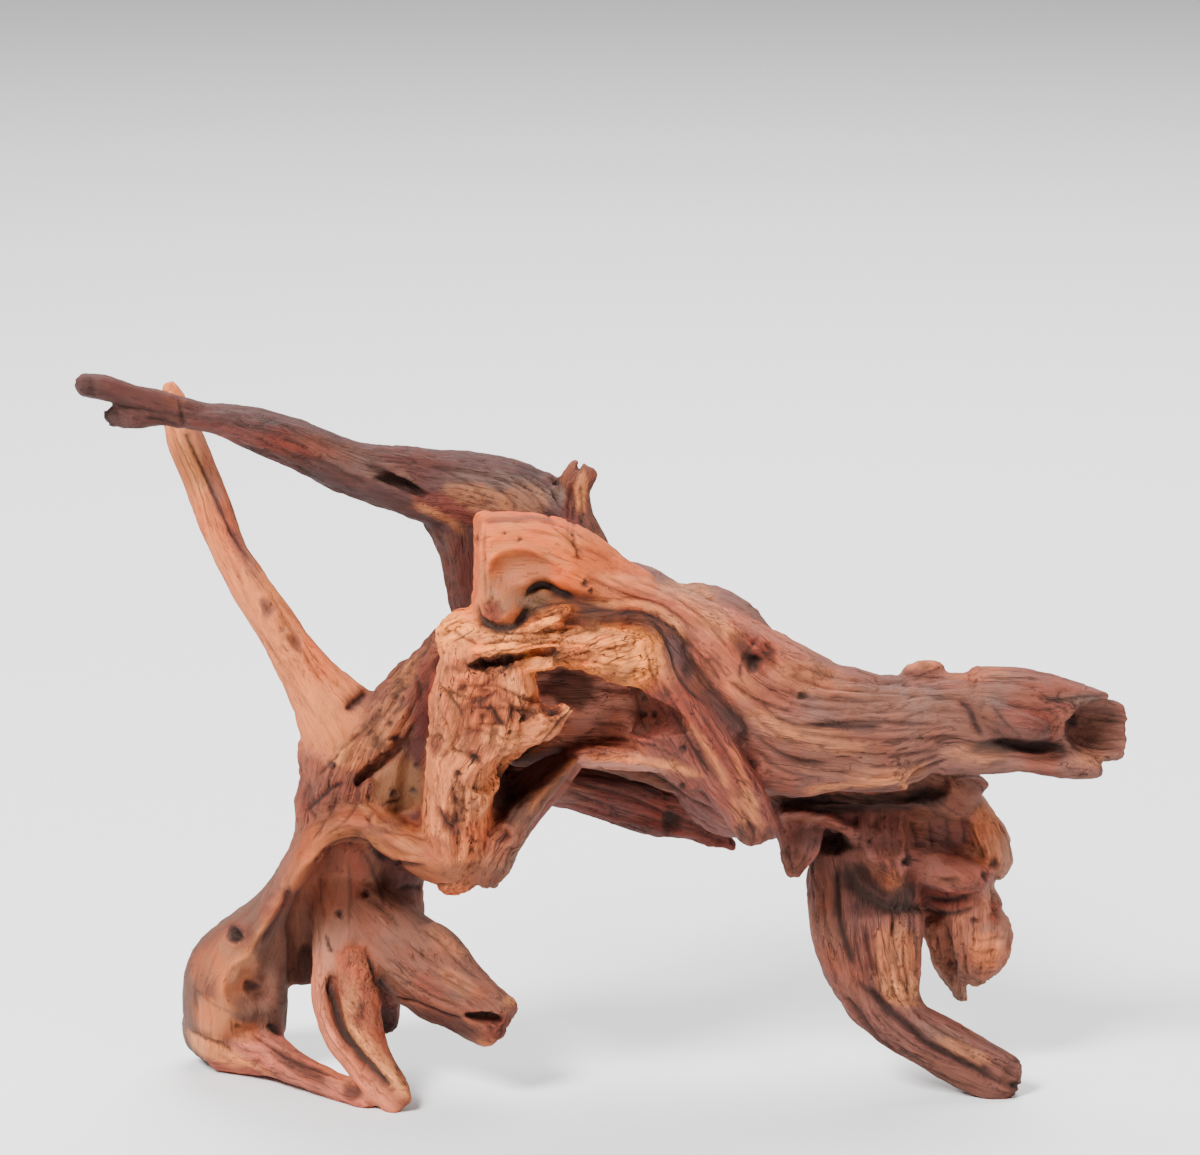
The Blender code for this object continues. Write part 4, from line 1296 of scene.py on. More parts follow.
@dataclass(frozen=True)
class Ledge(Region):
    """The pale fibrous beam under the vein, over the middle hollow."""

    ledge: Limb = Limb(stations(
        "-57 191.5 -46 8 13; -52 192.6 -50 9.6 18; -44 191.5 -56 9 20; -30 191 -59 8.5 19; "
        "-14 190 -60 8.5 18; 0 187.6 -60 10 17; 8 185.4 -59 11.4 16; 12.6 184.6 -57 11.4 15; "
        "14.4 184.4 -55 9.5 12"
    ), Look.LEDGE, "ledge", power=0.62)
    fissure: Hollow = Hollow(stations(
        "-53 181.4 -84 1.4 9; -46 181 -84 2.8 15; -38 182.6 -84 2.3 14; -30 185.4 -83 1.8 12; "
        "-22 186.6 -81 1.5 10; -16 186 -79 0.9 6"
    ))
    stub: Limb = Limb(stations(
        "-28 181.8 -69 2.6 6; -23 182.2 -71 2.8 6; -19 182.4 -71 2.6 5.5"
    ), Look.LEDGE, "ledge", power=0.55)
    splint: Limb = Limb(stations(
        "-50 187 -76 1.6 2; -40 188 -78 2 2.4; -29 188.6 -78 1.8 2.2; -22 188 -77 1.2 1.6"
    ), Look.LEDGE, "ledge")
    # Painted shade: the maroon patch in the fissure (-36 182.4) and the brown patches on the ledge's
    # lower face (-12 185, 6 177).
    marks: tuple[Mark, ...] = drawn("""
    groove -48 195; -34 194; -20 194 / .9 1.3 .7
    groove -40 191; -26 190.5; -12 190; 2 189 / .8 1.2 .6
    groove -8 186; 2 185; 12 183 / .7 .8 .4
    groove -6 180; 4 179; 12 177 / .7 .8 .4
    patch -14 196 / 14 2.5 / red .4 0 .8
    patch -26 193 / 34 3.2 / pale .6 0 .4
    patch 2 190 / 8 5 / pale .3 0 .3
    patch -12 185 / 11 4 / brown .6 0 .85 -1.4
    patch -36 182.4 / 16 3 / maroon .7 8
    groove -44 186.4; -34 187; -24 190; -12 190.4 / .7 .9 .7
    groove -50 190; -40 190.6; -28 191.8; -16 192.6 / .7 1 .75
    groove -6 183; 2 181.6; 10 180 / .6 .9 .7
    groove -4 189.4; 4 187.6; 12 186.4 / .6 .8 .6
    groove 4 195; 6 190; 7 184 / .5 .6 .5
    lip 14 196; 13 190; 12 186; 13 181; 12 178; 11 174 / 1.4 1.6 tan
    patch 6 177 / 7 4 / brown .45 0 .4
    patch -23 182 / 5 2.4 / pale .6
    groove -60 196; -54 192; -48 189 / .8 1 .7
    patch -6 199 / 10 2 / dark .5
    """)


@dataclass(frozen=True)
class HollowWalls(Region):
    """The walls of the middle hollow, and the plain back of the stump."""

    inner_wall: Limb = Limb(stations(
        "-36 164 -16 24 12; -14 166 -12 26 12; 6 166 -13 26 13; 22 164 -24 25 14; "
        "36 160 -34 22 15; 50 156 -38 18 16"
    ), Look.INNER, "inner_wall")
    rear_wall: Limb = Limb(stations(
        "-52 168 -10 22 14; -30 170 -5 25 14; -8 168 -3 26 14; 18 161 -2 25 14; "
        "46 152 -4 24 15; 76 146 -8 21 17; 104 142 -10 18 17; 128 137 -9 14 15; "
        "144 128 -3 11 14"
    ), Look.BACK, "rear")
    rear_rib: Limb = Limb(stations(
        "-44 200 0 8 9; -30 192 5 7 8; -8 185 8 6.5 7; 18 176 9 6 7; 46 168 8 6 7; "
        "76 158 5 6 7; 104 148 4 5 7"
    ), Look.BACK, "rear")
    rear_root: Limb = Limb(stations(
        "-52 150 -2 8 10; -34 148 6 8 9; -6 146 9 7 7; 26 140 10 7 7; 58 134 9 6.5 7; "
        "88 128 10 6 7; 112 118 12 6 8; 126 106 14 5 8"
    ), Look.BACK, "rear")
    sill: Limb = Limb(stations(
        "-12 145 -30 3 14; 2 145 -30 3.4 16; 16 144 -32 3.6 17; 30 141.5 -36 4 16; "
        "42 137.5 -40 5 14; 50 134 -42 5 12"
    ), Look.INNER, "inner_wall")
    hollow: Hollow = Hollow(stations(
        "-24 170 -62 5 20; -14 168.5 -54 12 28; -2 166 -50 15 24; 8 163.6 -56 12.4 18; "
        "16 161.6 -61 10 15; 24 159.6 -68 7 12; 31 157.6 -75 3.6 8"
    ))
    # Painted shade: the dark patch at the top of the middle hollow, under the ledge (-12 172).
    marks: tuple[Mark, ...] = drawn("""
    knot 17.2 161.7 / 1.6 1.6 / 1.6 .3 0 .95
    knot 21.5 161.7 / 1.5 1.5 / 1.4 .3 0 .9
    knot 33.2 147.6 / 1.8 1.8 / 1.6 .3 0 .9
    groove -4 172; 8 171; 18 172 / .9 .9 .5
    groove -6 158; 6 157; 18 153; 30 148 / 1 .9 .5
    groove 0 164; 10 163; 16 162 / .8 .7 .4
    patch -12 172 / 12 8 / dark .8
    patch 12 158 / 12 8 / brown .4 0 -.5
    lip -8 145; 4 145; 16 144; 30 141.5; 42 137.5 / 1.2 3 tan
    patch 10 148 / 14 3 / orange .3
    knot 17.8 168.4 / 1.8 1.6 / .9 .5 0 .6 grey
    patch 16 165 / 5 9 / brown .4
    groove -2 152; 10 151; 22 148; 34 143 / .8 .8 .5
    groove 14 172; 15 165; 17 158; 21 152 / .7 .8 .6
    back groove 112 168; 84 171; 52 175; 20 178 / 1.2 1.8 .8
    back groove 104 150; 72 150; 40 152; 8 158 / 1 1.5 .75
    back groove 96 160; 64 162; 34 164; 4 168 / .8 1.1 .6
    back knot 62 164 / 4.4 3 / 2 .7 10 .8
    back knot 20 150 / 3 2.4 / 1.6 .5 0 .7
    back knot 92 142 / 2.4 2 / 1.4 .4 0 .7
    back patch 44 160 / 26 8 / grey .35 -6
    back patch 80 138 / 18 7 / tan .3 -8 .5
    back patch 102 124 / 14 8 / brown .4 0 .7
    back patch -18 172 / 14 10 / red .35 0 .5
    back patch 4 140 / 16 5 / maroon .4 -8
    """)


@dataclass(frozen=True)
class Strap(Region):
    """The reddish strap that runs down in front of the trunk."""

    strap: Limb = Limb(stations(
        "20 194 -52 7 9; 21.5 187 -55 8 10; 24 179 -58 9 10; 29 170 -60 9.2 9; "
        "35 160.5 -62 10 8.5; 42 149.5 -63 10.6 8; 49.5 138 -64 10.6 7.5; 56 128 -65 9.8 7; "
        "60.5 120.5 -66 9 6.2; 63 115 -66 8 5.4; 64 112.4 -66 6.6 4.6"
    ), Look.STRAP, "strap", power=0.62)
    back: Limb = Limb(stations(
        "8 182 -44 8 12; 13 170 -46 10 12; 22 158 -48 11 12; 32 146 -50 10 10; 42 136 -52 8 8"
    ), Look.STRAP, "strap")
    marks: tuple[Mark, ...] = drawn("""
    groove 17 194; 20 182; 24 170; 31 158; 40 144; 48 132 / .9 1 .5
    groove 26 190; 29 176; 36 163; 45 150; 54 136 / .8 .8 .45
    groove 26 168; 34 155; 44 140; 53 126 / .7 .7 .4
    lip 52 150; 57 138; 61 126; 66 114 / -1 2.4 tan
    patch 48 146 / 5 14 / red .35 30
    patch 58 124 / 5 8 / tan .35 25
    patch 24 180 / 6 10 / tan .35 18
    lip 33 160; 40 153; 45 145; 50 137; 52 130 / -1.4 3 tan
    groove 24 176; 28 168; 33 159 / .7 .9 .65
    groove 37 166; 44 156; 51 145; 58 133; 62 122 / .8 1 .65
    patch 61 114 / 8 4 / brown .4 0 .9
    groove 56 124; 60 118; 62 112 / .7 .9 .7
    patch 36 150 / 4 14 / maroon .4 38
    patch 29 186 / 5 6 / purple .4
    """)


@dataclass(frozen=True)
class Keel(Region):
    """The keel under the middle hollow, and the tooth that hangs at the strap's end."""

    keel: Limb = Limb(stations(
        "-40 140 0 12 12; -28 137 4 11 13; -10 134 8 10.5 13; 8 130 10 13 12; 24 126 10 14 11; "
        "36 121 9 10 9; 46 114 8 5.5 6; 54 107.6 6 1.2 2"
    ), Look.KEEL, "keel")
    tooth: Limb = Limb(stations(
        "78 122 -8 9 12; 79 115 -18 9 11; 79 108 -24 7.6 9; 77.5 101.5 -26 4.8 7; "
        "76.8 97 -26 2.6 3.4"
    ), Look.UNDER, "tooth")
    marks: tuple[Mark, ...] = drawn("""
    groove -20 137; -4 133; 12 128; 26 122; 40 116; 52 109 / 1 1.2 .6
    groove -16 131; 0 126; 16 121; 30 116 / .9 1 .55
    groove 30 118; 40 114; 50 109 / .9 1 .7
    patch 6 134 / 22 5 / dark .4 -12
    patch -12 130 / 10 4 / grey .4 -10
    patch 44 113 / 8 4 / red .45 -28 .5
    patch 77 103 / 6 8 / brown .5 0 .5
    knot 28.5 119 / 4.6 4.2 / 2.4 .5 -30 1 dark
    groove -12 141; 2 140; 18 138; 26 134; 34 129; 42 124; 50 122 / 1 1.5 .85
    knot 33 133 / 1.6 1.2 / 1 .3 0 .8
    groove 34 124; 42 118; 48 114 / .8 1.1 .8
    patch 20 114 / 16 4 / maroon .5 -16
    patch 0 124 / 12 4 / purple .4 -14
    lip -8 145; 4 144.6; 16 143.4; 30 140.6; 42 137 / 1 2 tan
    back groove 50 126; 26 130; 2 134; -20 138 / 1 1.4 .7
    back patch 20 122 / 18 5 / red .35 -12 .4
    """)


@dataclass(frozen=True)
class Face(Region):
    """The rugged face, its beak and its chin."""

    face: Limb = Limb(stations(
        "-47 190 -52 15 20; -46 180 -57 19 23; -46 168 -59 21.5 26; -48 156 -59 20 26; "
        "-53 144 -57 16 25; -56 132 -54 14 23; -57 120 -51 14 21; -57 108 -48 13 19; "
        "-58 100 -46 10 15; -59 95 -44 6 10"
    ), Look.FACE, "face", power=0.85)
    beak: Limb = Limb(stations(
        "-46 160 -64 15 16; -34 157.5 -69 12.5 13; -25 158 -72 8.4 10; -18.6 160.4 -73 5 7; "
        "-14 163.6 -73 2.6 4; -10.6 167.6 -72 0.9 1.6"
    ), Look.FACE, "face_beak")
    chin: Limb = Limb(stations(
        "-10 143.5 -46 1.8 4; -17 136.5 -49 3 7; -25 128.5 -52 4.5 10; -33 120 -54 6 13; "
        "-38 112 -54 7 15; -43 103 -52 7 14; -45 98.5 -50 5.5 11"
    ), Look.CHIN, "chin")
    chin_core: Limb = Limb(stations(
        "-50 136 -40 10 20; -47 124 -38 12 22; -47 112 -38 12 22; -50 101 -40 9 17"
    ), Look.CHIN, "chin")
    under_beak: Hollow = Hollow(stations(
        "-46.8 130 -78 5.6 14; -41.8 133.6 -80 9.4 25; -32.8 137 -78 9.8 28; "
        "-22.6 141.6 -74 8.6 29; -12.6 146.6 -66 6.4 25; -3.6 150.6 -58 3.8 17"
    ))
    chin_wall: Limb = Limb(stations(
        "-43 108 -37 8 8; -37 118 -36 10 8; -30 127 -35 10 8; -22 134.5 -34 8.4 8; "
        "-14 141 -33 5.6 7; -8 145.6 -32 3 5"
    ), Look.STRAP, "chin")
    # Painted shade: the dark patches in the hollow under the beak (-40 132, -30 126); the brown and
    # maroon patches on the funnel that runs up from it (-26 129, -12 147, -16 140, -26 138) are partly
    # its darker brown, partly painted shade.
    marks: tuple[Mark, ...] = drawn("""
    patch -26 129 / 6 17 / brown .85 -42 -.7
    patch -32 118 / 4 9 / brown .6 -30 -.5
    patch -12 147 / 9 3.4 / maroon .7 32 -.6
    patch -16 140 / 8 6 / brown .8 40 -.7
    groove -10 166; -16 158; -24 150; -32 145; -38 141 / .8 1.2 .7 maroon
    groove -21 157; -17 160; -13 164 / .6 .8 .6
    groove -27 152; -21 155; -16 160 / .6 .8 .5
    patch -44 160 / 16 12 / orange .4 0 .75
    patch -62 160 / 6 16 / tan .4 0 .5
    knot -65.7 149 / 3.4 3.6 / -.7 .9 0 .32 red
    patch -52 150 / 8 6 / red .45 0 .9
    patch -40 150 / 8 5 / pale .3 0 .7
    knot -46 171 / 2.4 1.4 / 1.4 .4 0 .63
    knot -30 160 / 3 1.6 / 1.4 .5 30 .63
    knot -55 172 / 2.4 2 / 1.4 .5 0 .56
    knot -36 154 / 2.2 1.4 / 1.2 .4 10 .56
    groove -60 176; -52 173; -42 173; -32 169; -22 165 / 1 1.4 .68
    groove -58 166; -50 164; -40 164; -28 163; -18 164 / 1 1.3 .59
    groove -66 168; -63 160; -60 152; -58 142 / 1 1.2 .51
    groove -56 156; -46 154; -36 151 / .9 1 .51
    groove -60 138; -58 128; -57 116 / .8 .8 .34
    groove -52 136; -51 126; -51 114 / .8 .8 .38
    groove -47 122; -48 112; -48 102 / .7 .7 .34
    lip -12.4 158.3; -20 151; -29.8 143.7 / -1.2 2.4 tan
    patch -66 108 / 7 5 / red .45 10
    lip -7.5 144; -16 136; -24 127; -29.8 118.7 / 1.3 2.6 tan
    knot -38.6 113 / 4 4 / 1.8 .7 0 .28 brown
    patch -34 124 / 5 8 / brown .4 -30 .6
    patch -54 122 / 8 14 / tan .35
    patch -52 98 / 12 5 / brown .55 0 .3
    patch -43 110 / 6 12 / orange .25 0 .4
    patch -43 177 / 13 4 / tan .4 38 .95
    patch -35 171 / 9 6 / pale .45 20 -.4
    groove -50 171; -44 175; -38 180; -34 183 / .9 1.3 .72
    groove -52 166; -46 168; -40 172 / .8 1.2 .68 red
    groove -43 163.5; -41 160; -38 156.6 / 1.2 1.8 .81 maroon
    knot -47 160 / 1.6 2.4 / 1.5 .3 0 .63 maroon
    patch -41 153 / 6 4 / pale .7 0 .9
    patch -23 152 / 8 6 / orange .4 -40 -.6
    patch -19 163.4 / 4.4 3.4 / red .6 0 .9 -2.2
    knot -19 163.4 / 2.4 2.2 / 1.4 .3 0 .63 maroon
    patch -12.5 164 / 2 4 / pale .6 -30
    groove -69.4 147.6; -69.2 151; -66.6 153.2; -63.4 152.6; -61.8 149.6 / .8 1.2 .81
    groove -66 144.6; -62.6 144.8; -60.6 147 / .7 .9 .72
    knot -50 144 / 3.2 1.8 / 1.8 .5 -30 .66 maroon
    knot -57 138 / 1.8 2.2 / 1.4 .4 0 .59 maroon
    groove -65 125; -63 120; -60.5 117; -58 114.6 / 1.1 1.5 .72 maroon
    groove -63.4 187.6; -63 184; -62.6 181 / .8 1.2 .81
    groove -55 135; -54.4 126; -53.6 116 / .6 .9 .51
    groove -49.4 134; -49 124; -48.6 114 / .6 .8 .51
    groove -58.6 132; -58 124; -56.6 114; -56 104 / .7 .9 .51
    patch -40 132 / 8 7 / dark .8 -20
    patch -26 138 / 17 9 / maroon .7 26 -.5
    knot -38 112.6 / 3 3.2 / 1.4 .6 0 .42 brown
    groove -31 128; -34 122; -37 118 / .9 1.1 .64
    groove -66 176; -62 171; -58 166; -54 160 / .9 1.3 .72
    groove -56 183; -50 180; -44 179.6 / .7 1 .64
    patch -58 152 / 4 8 / pale .4 0 .5
    patch -60 118 / 4 6 / red .5 0 .7
    groove -44 148; -36 147; -28 146 / .6 .8 .51
    groove -34 166; -28 168; -22 170; -17 170 / .8 1.1 .68
    patch -24 171 / 7 3 / red .5 0 .8
    patch -44 166 / 10 4 / brown .5 20 .9
    patch -56 158 / 4 10 / brown .45 8 .8
    patch -30 163 / 9 3 / brown .5 14 .9
    patch -50 182 / 12 3 / brown .4 14 .7
    patch -57 126 / 3 12 / brown .4 0 .8
    patch -30 126 / 13 6 / dark .5 42 -.8
    groove -64 172; -58 170; -52 168; -46 169 / .9 1.5 .7
    groove -50 158; -44 157; -38 158 / .9 1.5 .7
    groove -60 148; -56 146; -50 147 / .9 1.4 .65
    groove -38 168; -34 164; -30 162; -24 161 / .8 1.4 .65
    """)


@dataclass(frozen=True)
class LeftBody(Region):
    """The body left of the face, with its smooth window."""

    body: Limb = Limb(stations(
        "-60 192 -30 6.5 14; -66 184 -29 7.2 16; -74 172 -29 10 18; -82 160 -29 15 20; "
        "-89 148 -29 20 21; -94 136 -29 23.5 21; -97 125 -28 24.5 20; -98 117 -28 23 18"
    ), Look.BODY, "body")
    join: Limb = Limb(stations(
        "-68 184 -32 7 14; -70 170 -30 12 17; -70 154 -28 14 18; -70 138 -28 15 18; "
        "-70 122 -28 15 18; -70 108 -30 12 16"
    ), Look.WINDOW, "body")
    edge: Limb = Limb(stations(
        "-111 150 -28 9 14; -111 138 -28 8 14; -112.5 126 -28 9 14; -113 116 -28 8.5 14; "
        "-117 107 -28 7 14; -122.5 98 -27 5.5 14; -128 90 -24 5 14"
    ), Look.BODY_EDGE, "body")
    window: Hollow = Hollow(stations(
        "-74 160 -62 4 12; -77 150 -61 7 14; -83 138 -61 12 14; -84 128 -61 11 14; "
        "-82 121 -62 7.5 11"
    ))
    hook: Hollow = Hollow(stations(
        "-68.5 162.8 -62 1.5 12; -72 162.3 -60 2.1 14; -76 160.5 -59 2 14; "
        "-77.2 156 -59 1.8 14; -76.5 151 -58 1 10"
    ))
    rift: Hollow = Hollow(stations(
        "-79 150 -59 1.7 13; -84 146 -58 2.7 15; -91 140.3 -57 2.8 15; -96 135.2 -56 2.8 14; "
        "-98.8 131.5 -56 1.6 10"
    ))
    cleft: Hollow = Hollow(stations(
        "-96.5 149.5 -54 1 5; -99 146 -53 1.8 7; -102 141.5 -52 1.2 6; -104.5 137.5 -52 0.8 4"
    ))
    burr: Limb = Limb(stations(
        "-84 166 -22 4 9; -81 173 -22 4 8; -77.5 178.5 -23 3.4 7; -75.5 181 -24 2.2 4"
    ), Look.BODY_EDGE, "body")
    marks: tuple[Mark, ...] = drawn("""
    patch -76 148 / 5 7 / dark .5 0 -.4
    groove -92 160; -100 151; -106 146 / .9 1.2 .7
    groove -80 168; -88 160; -95 152 / .9 1.1 .6
    groove -104 130; -110 120; -116 110 / 1 1.2 .6
    groove -96 128; -102 119; -110 112 / .9 1 .5
    lip -71 126; -78 121; -86 121; -93 126; -96 133 / -1.4 2.8 tan
    patch -98 146 / 10 7 / orange .4 -40 .4
    patch -84 160 / 8 7 / tan .35 -40
    patch -110 126 / 6 10 / brown .35 0 .5
    patch -66 180 / 6 7 / red .4 0 .3
    knot -90 152 / 1.8 1.3 / 1 .3 0 .6
    knot -107 141 / 1.6 1.4 / 1 .3 0 .6
    patch -80 133 / 10 12 / olive .6 0 -.9
    knot -82.5 130 / 1.9 1.9 / .8 .4 0 .56 dark
    knot -75 131 / 1.6 1.6 / .7 .3 0 .52 dark
    knot -73.5 141 / 1.5 1.5 / .7 .3 0 .52 dark
    groove -88 125; -84 126.4; -80 127 / .5 .6 .7
    knot -92 120 / 1.8 2 / 1.4 .2 0 .68
    knot -82 169 / 1.6 1.4 / 1.4 .3 0 .71
    knot -84 158 / 1.5 1.3 / 1.3 .3 0 .71
    knot -82.5 152 / 2.8 1.3 / 1.4 .3 0 .68
    groove -101 135; -107 132; -112 128; -116 125; -120 122 / 1.1 1.8 .9 red
    groove -90 173; -96 168; -102 163 / 1.5 1.8 .75 brown
    patch -96 168 / 9 4 / brown .6 32
    patch -79 176 / 4 9 / tan .45 -30 .9
    patch -90 152 / 8 6 / tan .4 -40 .9
    patch -102 146 / 5 5 / pale .45 -50 .6
    groove -86 166; -90 160; -96 154; -102 150 / .8 1.1 .8
    groove -104 147; -109 141; -114 137 / .8 1.1 .8
    groove -78 170; -80 164; -84 161 / .8 1.1 .85
    groove -74 178; -72 172; -72 166 / .8 1.2 .85
    lip -95 127; -92 122; -84 116.5; -75 120 / -1.4 2.4 tan
    patch -117 128 / 3 6 / maroon .4 0 .7
    groove -106 126; -110 119; -113 112 / .7 .9 .6
    groove -66 196; -69 189; -72 184 / .9 1.1 .7
    patch -68 172 / 4 8 / red .45 0 .6
    patch -97 130 / 5 4 / red .4 0 .5
    back groove -84 172; -94 152; -104 132; -114 114 / 1.1 1.5 .7
    back groove -72 160; -78 140; -84 120; -92 104 / 1 1.3 .65
    back knot -100 132 / 3 3 / 1.6 .6 0 .7
    back patch -90 140 / 8 16 / brown .35 -14 .4
    back patch -112 150 / 7 12 / tan .3 0 .4
    """)


@dataclass(frozen=True)
class Hood(Region):
    """The arched rim over the roots."""

    rim: Limb = Limb(stations(
        "-122 97 -32 5 14; -116 107 -36 6 15; -108 115 -39 7 16; -97 119 -43 6.5 17; "
        "-87 115 -46 7.5 18; -77 109.5 -48 8 18; -67 103.5 -50 8.5 18; -59 99 -50 7 15"
    ), Look.HOOD, "hood")
    hollow: Hollow = Hollow(stations(
        "-103 106 -46 10 18; -104 94 -42 15 22; -106 80 -42 16 20; -112 66 -42 10 16"
    ))
    shadow: Hollow = Hollow(stations(
        "-94 99 -44 8 20; -84 94 -38 10 22; -73 89 -34 9 22; -62 86 -32 6 18"
    ))
    shelf: Limb = Limb(stations(
        "-84 97 -28 6 13; -74 95.6 -30 4.6 14; -64 94.2 -34 3.2 13; -57 94.6 -38 2.6 10; "
        "-54.5 96 -40 1.8 6"
    ), Look.FOOT_BACK, "hood", power=0.8)
    # Painted shade: the brown and maroon patches under the rim (-104 96, -94 104, -77 98, -68 94, -119
    # 60) and the maroon groove under its lip, partly the dark red-brown of the back wall.
    marks: tuple[Mark, ...] = drawn("""
    patch -92 119 / 18 4 / red .3 -8 -.4
    patch -104 96 / 10 12 / brown .45 0 -.7
    knot -94 90 / 1.8 2.2 / .8 .3 0 .52 dark
    patch -94 104 / 10 6 / brown .4 0 -.4
    groove -98 110; -92 102; -88 92; -86 82 / 1 .8 .5
    patch -119 60 / 5 9 / maroon .8
    lip -67 98; -70 103; -78 104; -83 105.5; -88 108; -92 112.5; -97 114; -104 113; -110 110; -115 105;
      -120 100; -125 95 / -2.4 2.4 orange
    groove -69 101; -78 102; -84 103.6; -89 106; -93 110.4; -98 111.8; -104 110.6; -110 107.6;
      -115 102.4 / 1.4 1.8 .55 maroon
    patch -75 110 / 7 4 / tan .35 0 -.4
    patch -88 116 / 12 3 / brown .4 12 .5
    patch -68 94 / 14 3.4 / maroon .55
    groove -82 91; -76 93; -70 91.6; -64 93.6; -58 92.6 / 1 1.4 .85
    patch -77 98 / 15 12 / maroon .55 0 -.4
    knot -104.5 82 / 1.8 1.8 / .9 .4 0 .6 dark
    groove -110 74; -109 70; -107 66 / .7 1 .95
    groove -101 104; -100 94; -100 84; -101 74 / .8 .7 .4
    groove -112 98; -112 88; -110 80 / .8 .7 .4
    patch -96 98 / 4 12 / red .4
    patch -107 104 / 4 6 / maroon .4
    patch -72 116 / 7 3 / orange .4
    groove -88 118; -82 114; -74 113; -68 110 / .7 .8 .5
    """)


@dataclass(frozen=True)
class Heel(Region):
    """The smooth heel, and the root that runs forward from it."""

    heel: Limb = Limb(stations(
        "-113 116 -26 7 14; -118.5 107 -27 5.5 14; -124 97.5 -24 5.5 15; -130 87.5 -20 6.5 16; "
        "-136.5 78 -15 9.5 18; -143 69 -10 13.5 20; -148.5 58.5 -5 17.5 22; -149.8 48 -1 18 23; "
        "-149.8 41 3 17.5 22; -149.8 35.5 8 17.8 19; -149 29.5 12.5 13.5 12.5"
    ), Look.HEEL, "heel")
    inner: Limb = Limb(stations(
        "-132 82 -14 6 12; -132 70 -8 7 14; -132.5 58 -5 7.5 16; -132.5 46 -3 7.5 15; "
        "-134 36 -2 8 14"
    ), Look.HEEL, "heel")
    root: Limb = Limb(stations(
        "-148 31 0 14 16; -139 28 -8 11 14; -130 24.5 -17 8 11; -122 20 -27 6 8.5; "
        "-113 16 -36 5.4 7; -104 12 -44 5 6; -96 8.8 -51 4.8 5.2; -91 6.8 -55 4 4.4"
    ), Look.HEEL_ROOT, "heel_root")
    knot: Hollow = Hollow(stations(
        "-143 57 -36 4 8; -140 52 -34 7 10; -137 47 -34 4 8"
    ))
    marks: tuple[Mark, ...] = drawn("""
    knot -139.5 52 / 9 10 / 2.6 1.2 -20 .04 brown
    knot -139.5 52 / 3 3.2 / 1.2 .6 0 .48 maroon
    patch -155 41 / 8 8 / pale .4 0 -.6
    patch -154 27 / 13 5 / pale .7 -25
    groove -165 36; -158 32; -150 29; -146 25 / 1 1 .5 maroon
    patch -146 24 / 7 2.4 / red .4 -20
    knot -145.4 72.6 / 3.2 3.4 / 2.8 .8 0 .95 dark
    patch -145 73 / 7 6 / red .4 0 .25
    knot -145 37 / 1.6 1.4 / .8 .3 0 .56 dark
    patch -148 60 / 10 14 / tan .35 0 -.6
    patch -135 92 / 5 12 / orange .35 -35
    patch -126 66 / 4 14 / brown .6
    patch -99 11.5 / 5 2.5 / dark .65 -25
    patch -122 22 / 14 4 / brown .35 -30
    groove -136 28; -126 23; -114 17.5; -102 12.5 / .9 .7 .4
    groove -128 100; -136 88; -144 78 / .9 .6 .3
    groove -160 62; -162 50; -160 40 / .9 .5 .25
    lip -125 95; -127 88; -133 78; -138 70; -141 65; -147 61; -150 54; -149 47; -143 43 / 1.6 2.6 tan
    groove -124 94; -125.4 87; -130.6 77; -135.6 69 / 1.2 1.2 .4 maroon
    lip -165 35; -158 31; -150 28; -147 26; -140 22.6; -130 18 / -1.8 2 pale
    groove -133 38; -130 35; -127 32 / 1.2 1.6 .95 dark
    patch -148 36 / 12 5 / orange .5 -18
    patch -131 84 / 4 9 / red .45 -35
    patch -158 60 / 6 9 / orange .3 -20
    groove -164 54; -158 48; -152 44; -146 42 / .7 .6 .35
    groove -152 70; -156 60; -158 52 / .7 .5 .3
    groove -147 30; -141 27; -134 25 / .6 .6 .4
    patch -116 26 / 8 5 / red .35 -30
    patch -106 17 / 8 3 / tan .35 -26
    groove -134 30; -126 25; -116 20.6; -106 16 / .8 1.3 .7 maroon
    groove -132 24; -122 19.4; -110 14.6 / .7 1 .65
    groove -140 34; -131 28.6; -122 25 / .7 1 .6
    patch -118 18 / 12 2.6 / dark .55 -26
    patch -145.4 73.4 / 3 3.4 / dark .95 0 .3
    knot -145.4 73.4 / 2.2 2.6 / 2.4 .4 0 1 dark
    back groove -150 85; -156 65; -158 45 / .8 .8 .4
    back groove -138 88; -144 66; -146 44; -142 28 / .8 .8 .4
    back knot -146 56 / 2.6 2.4 / 1.2 .5 0 .6
    back patch -140 50 / 8 12 / tan .3
    back patch -150 26 / 12 5 / brown .4
    """)


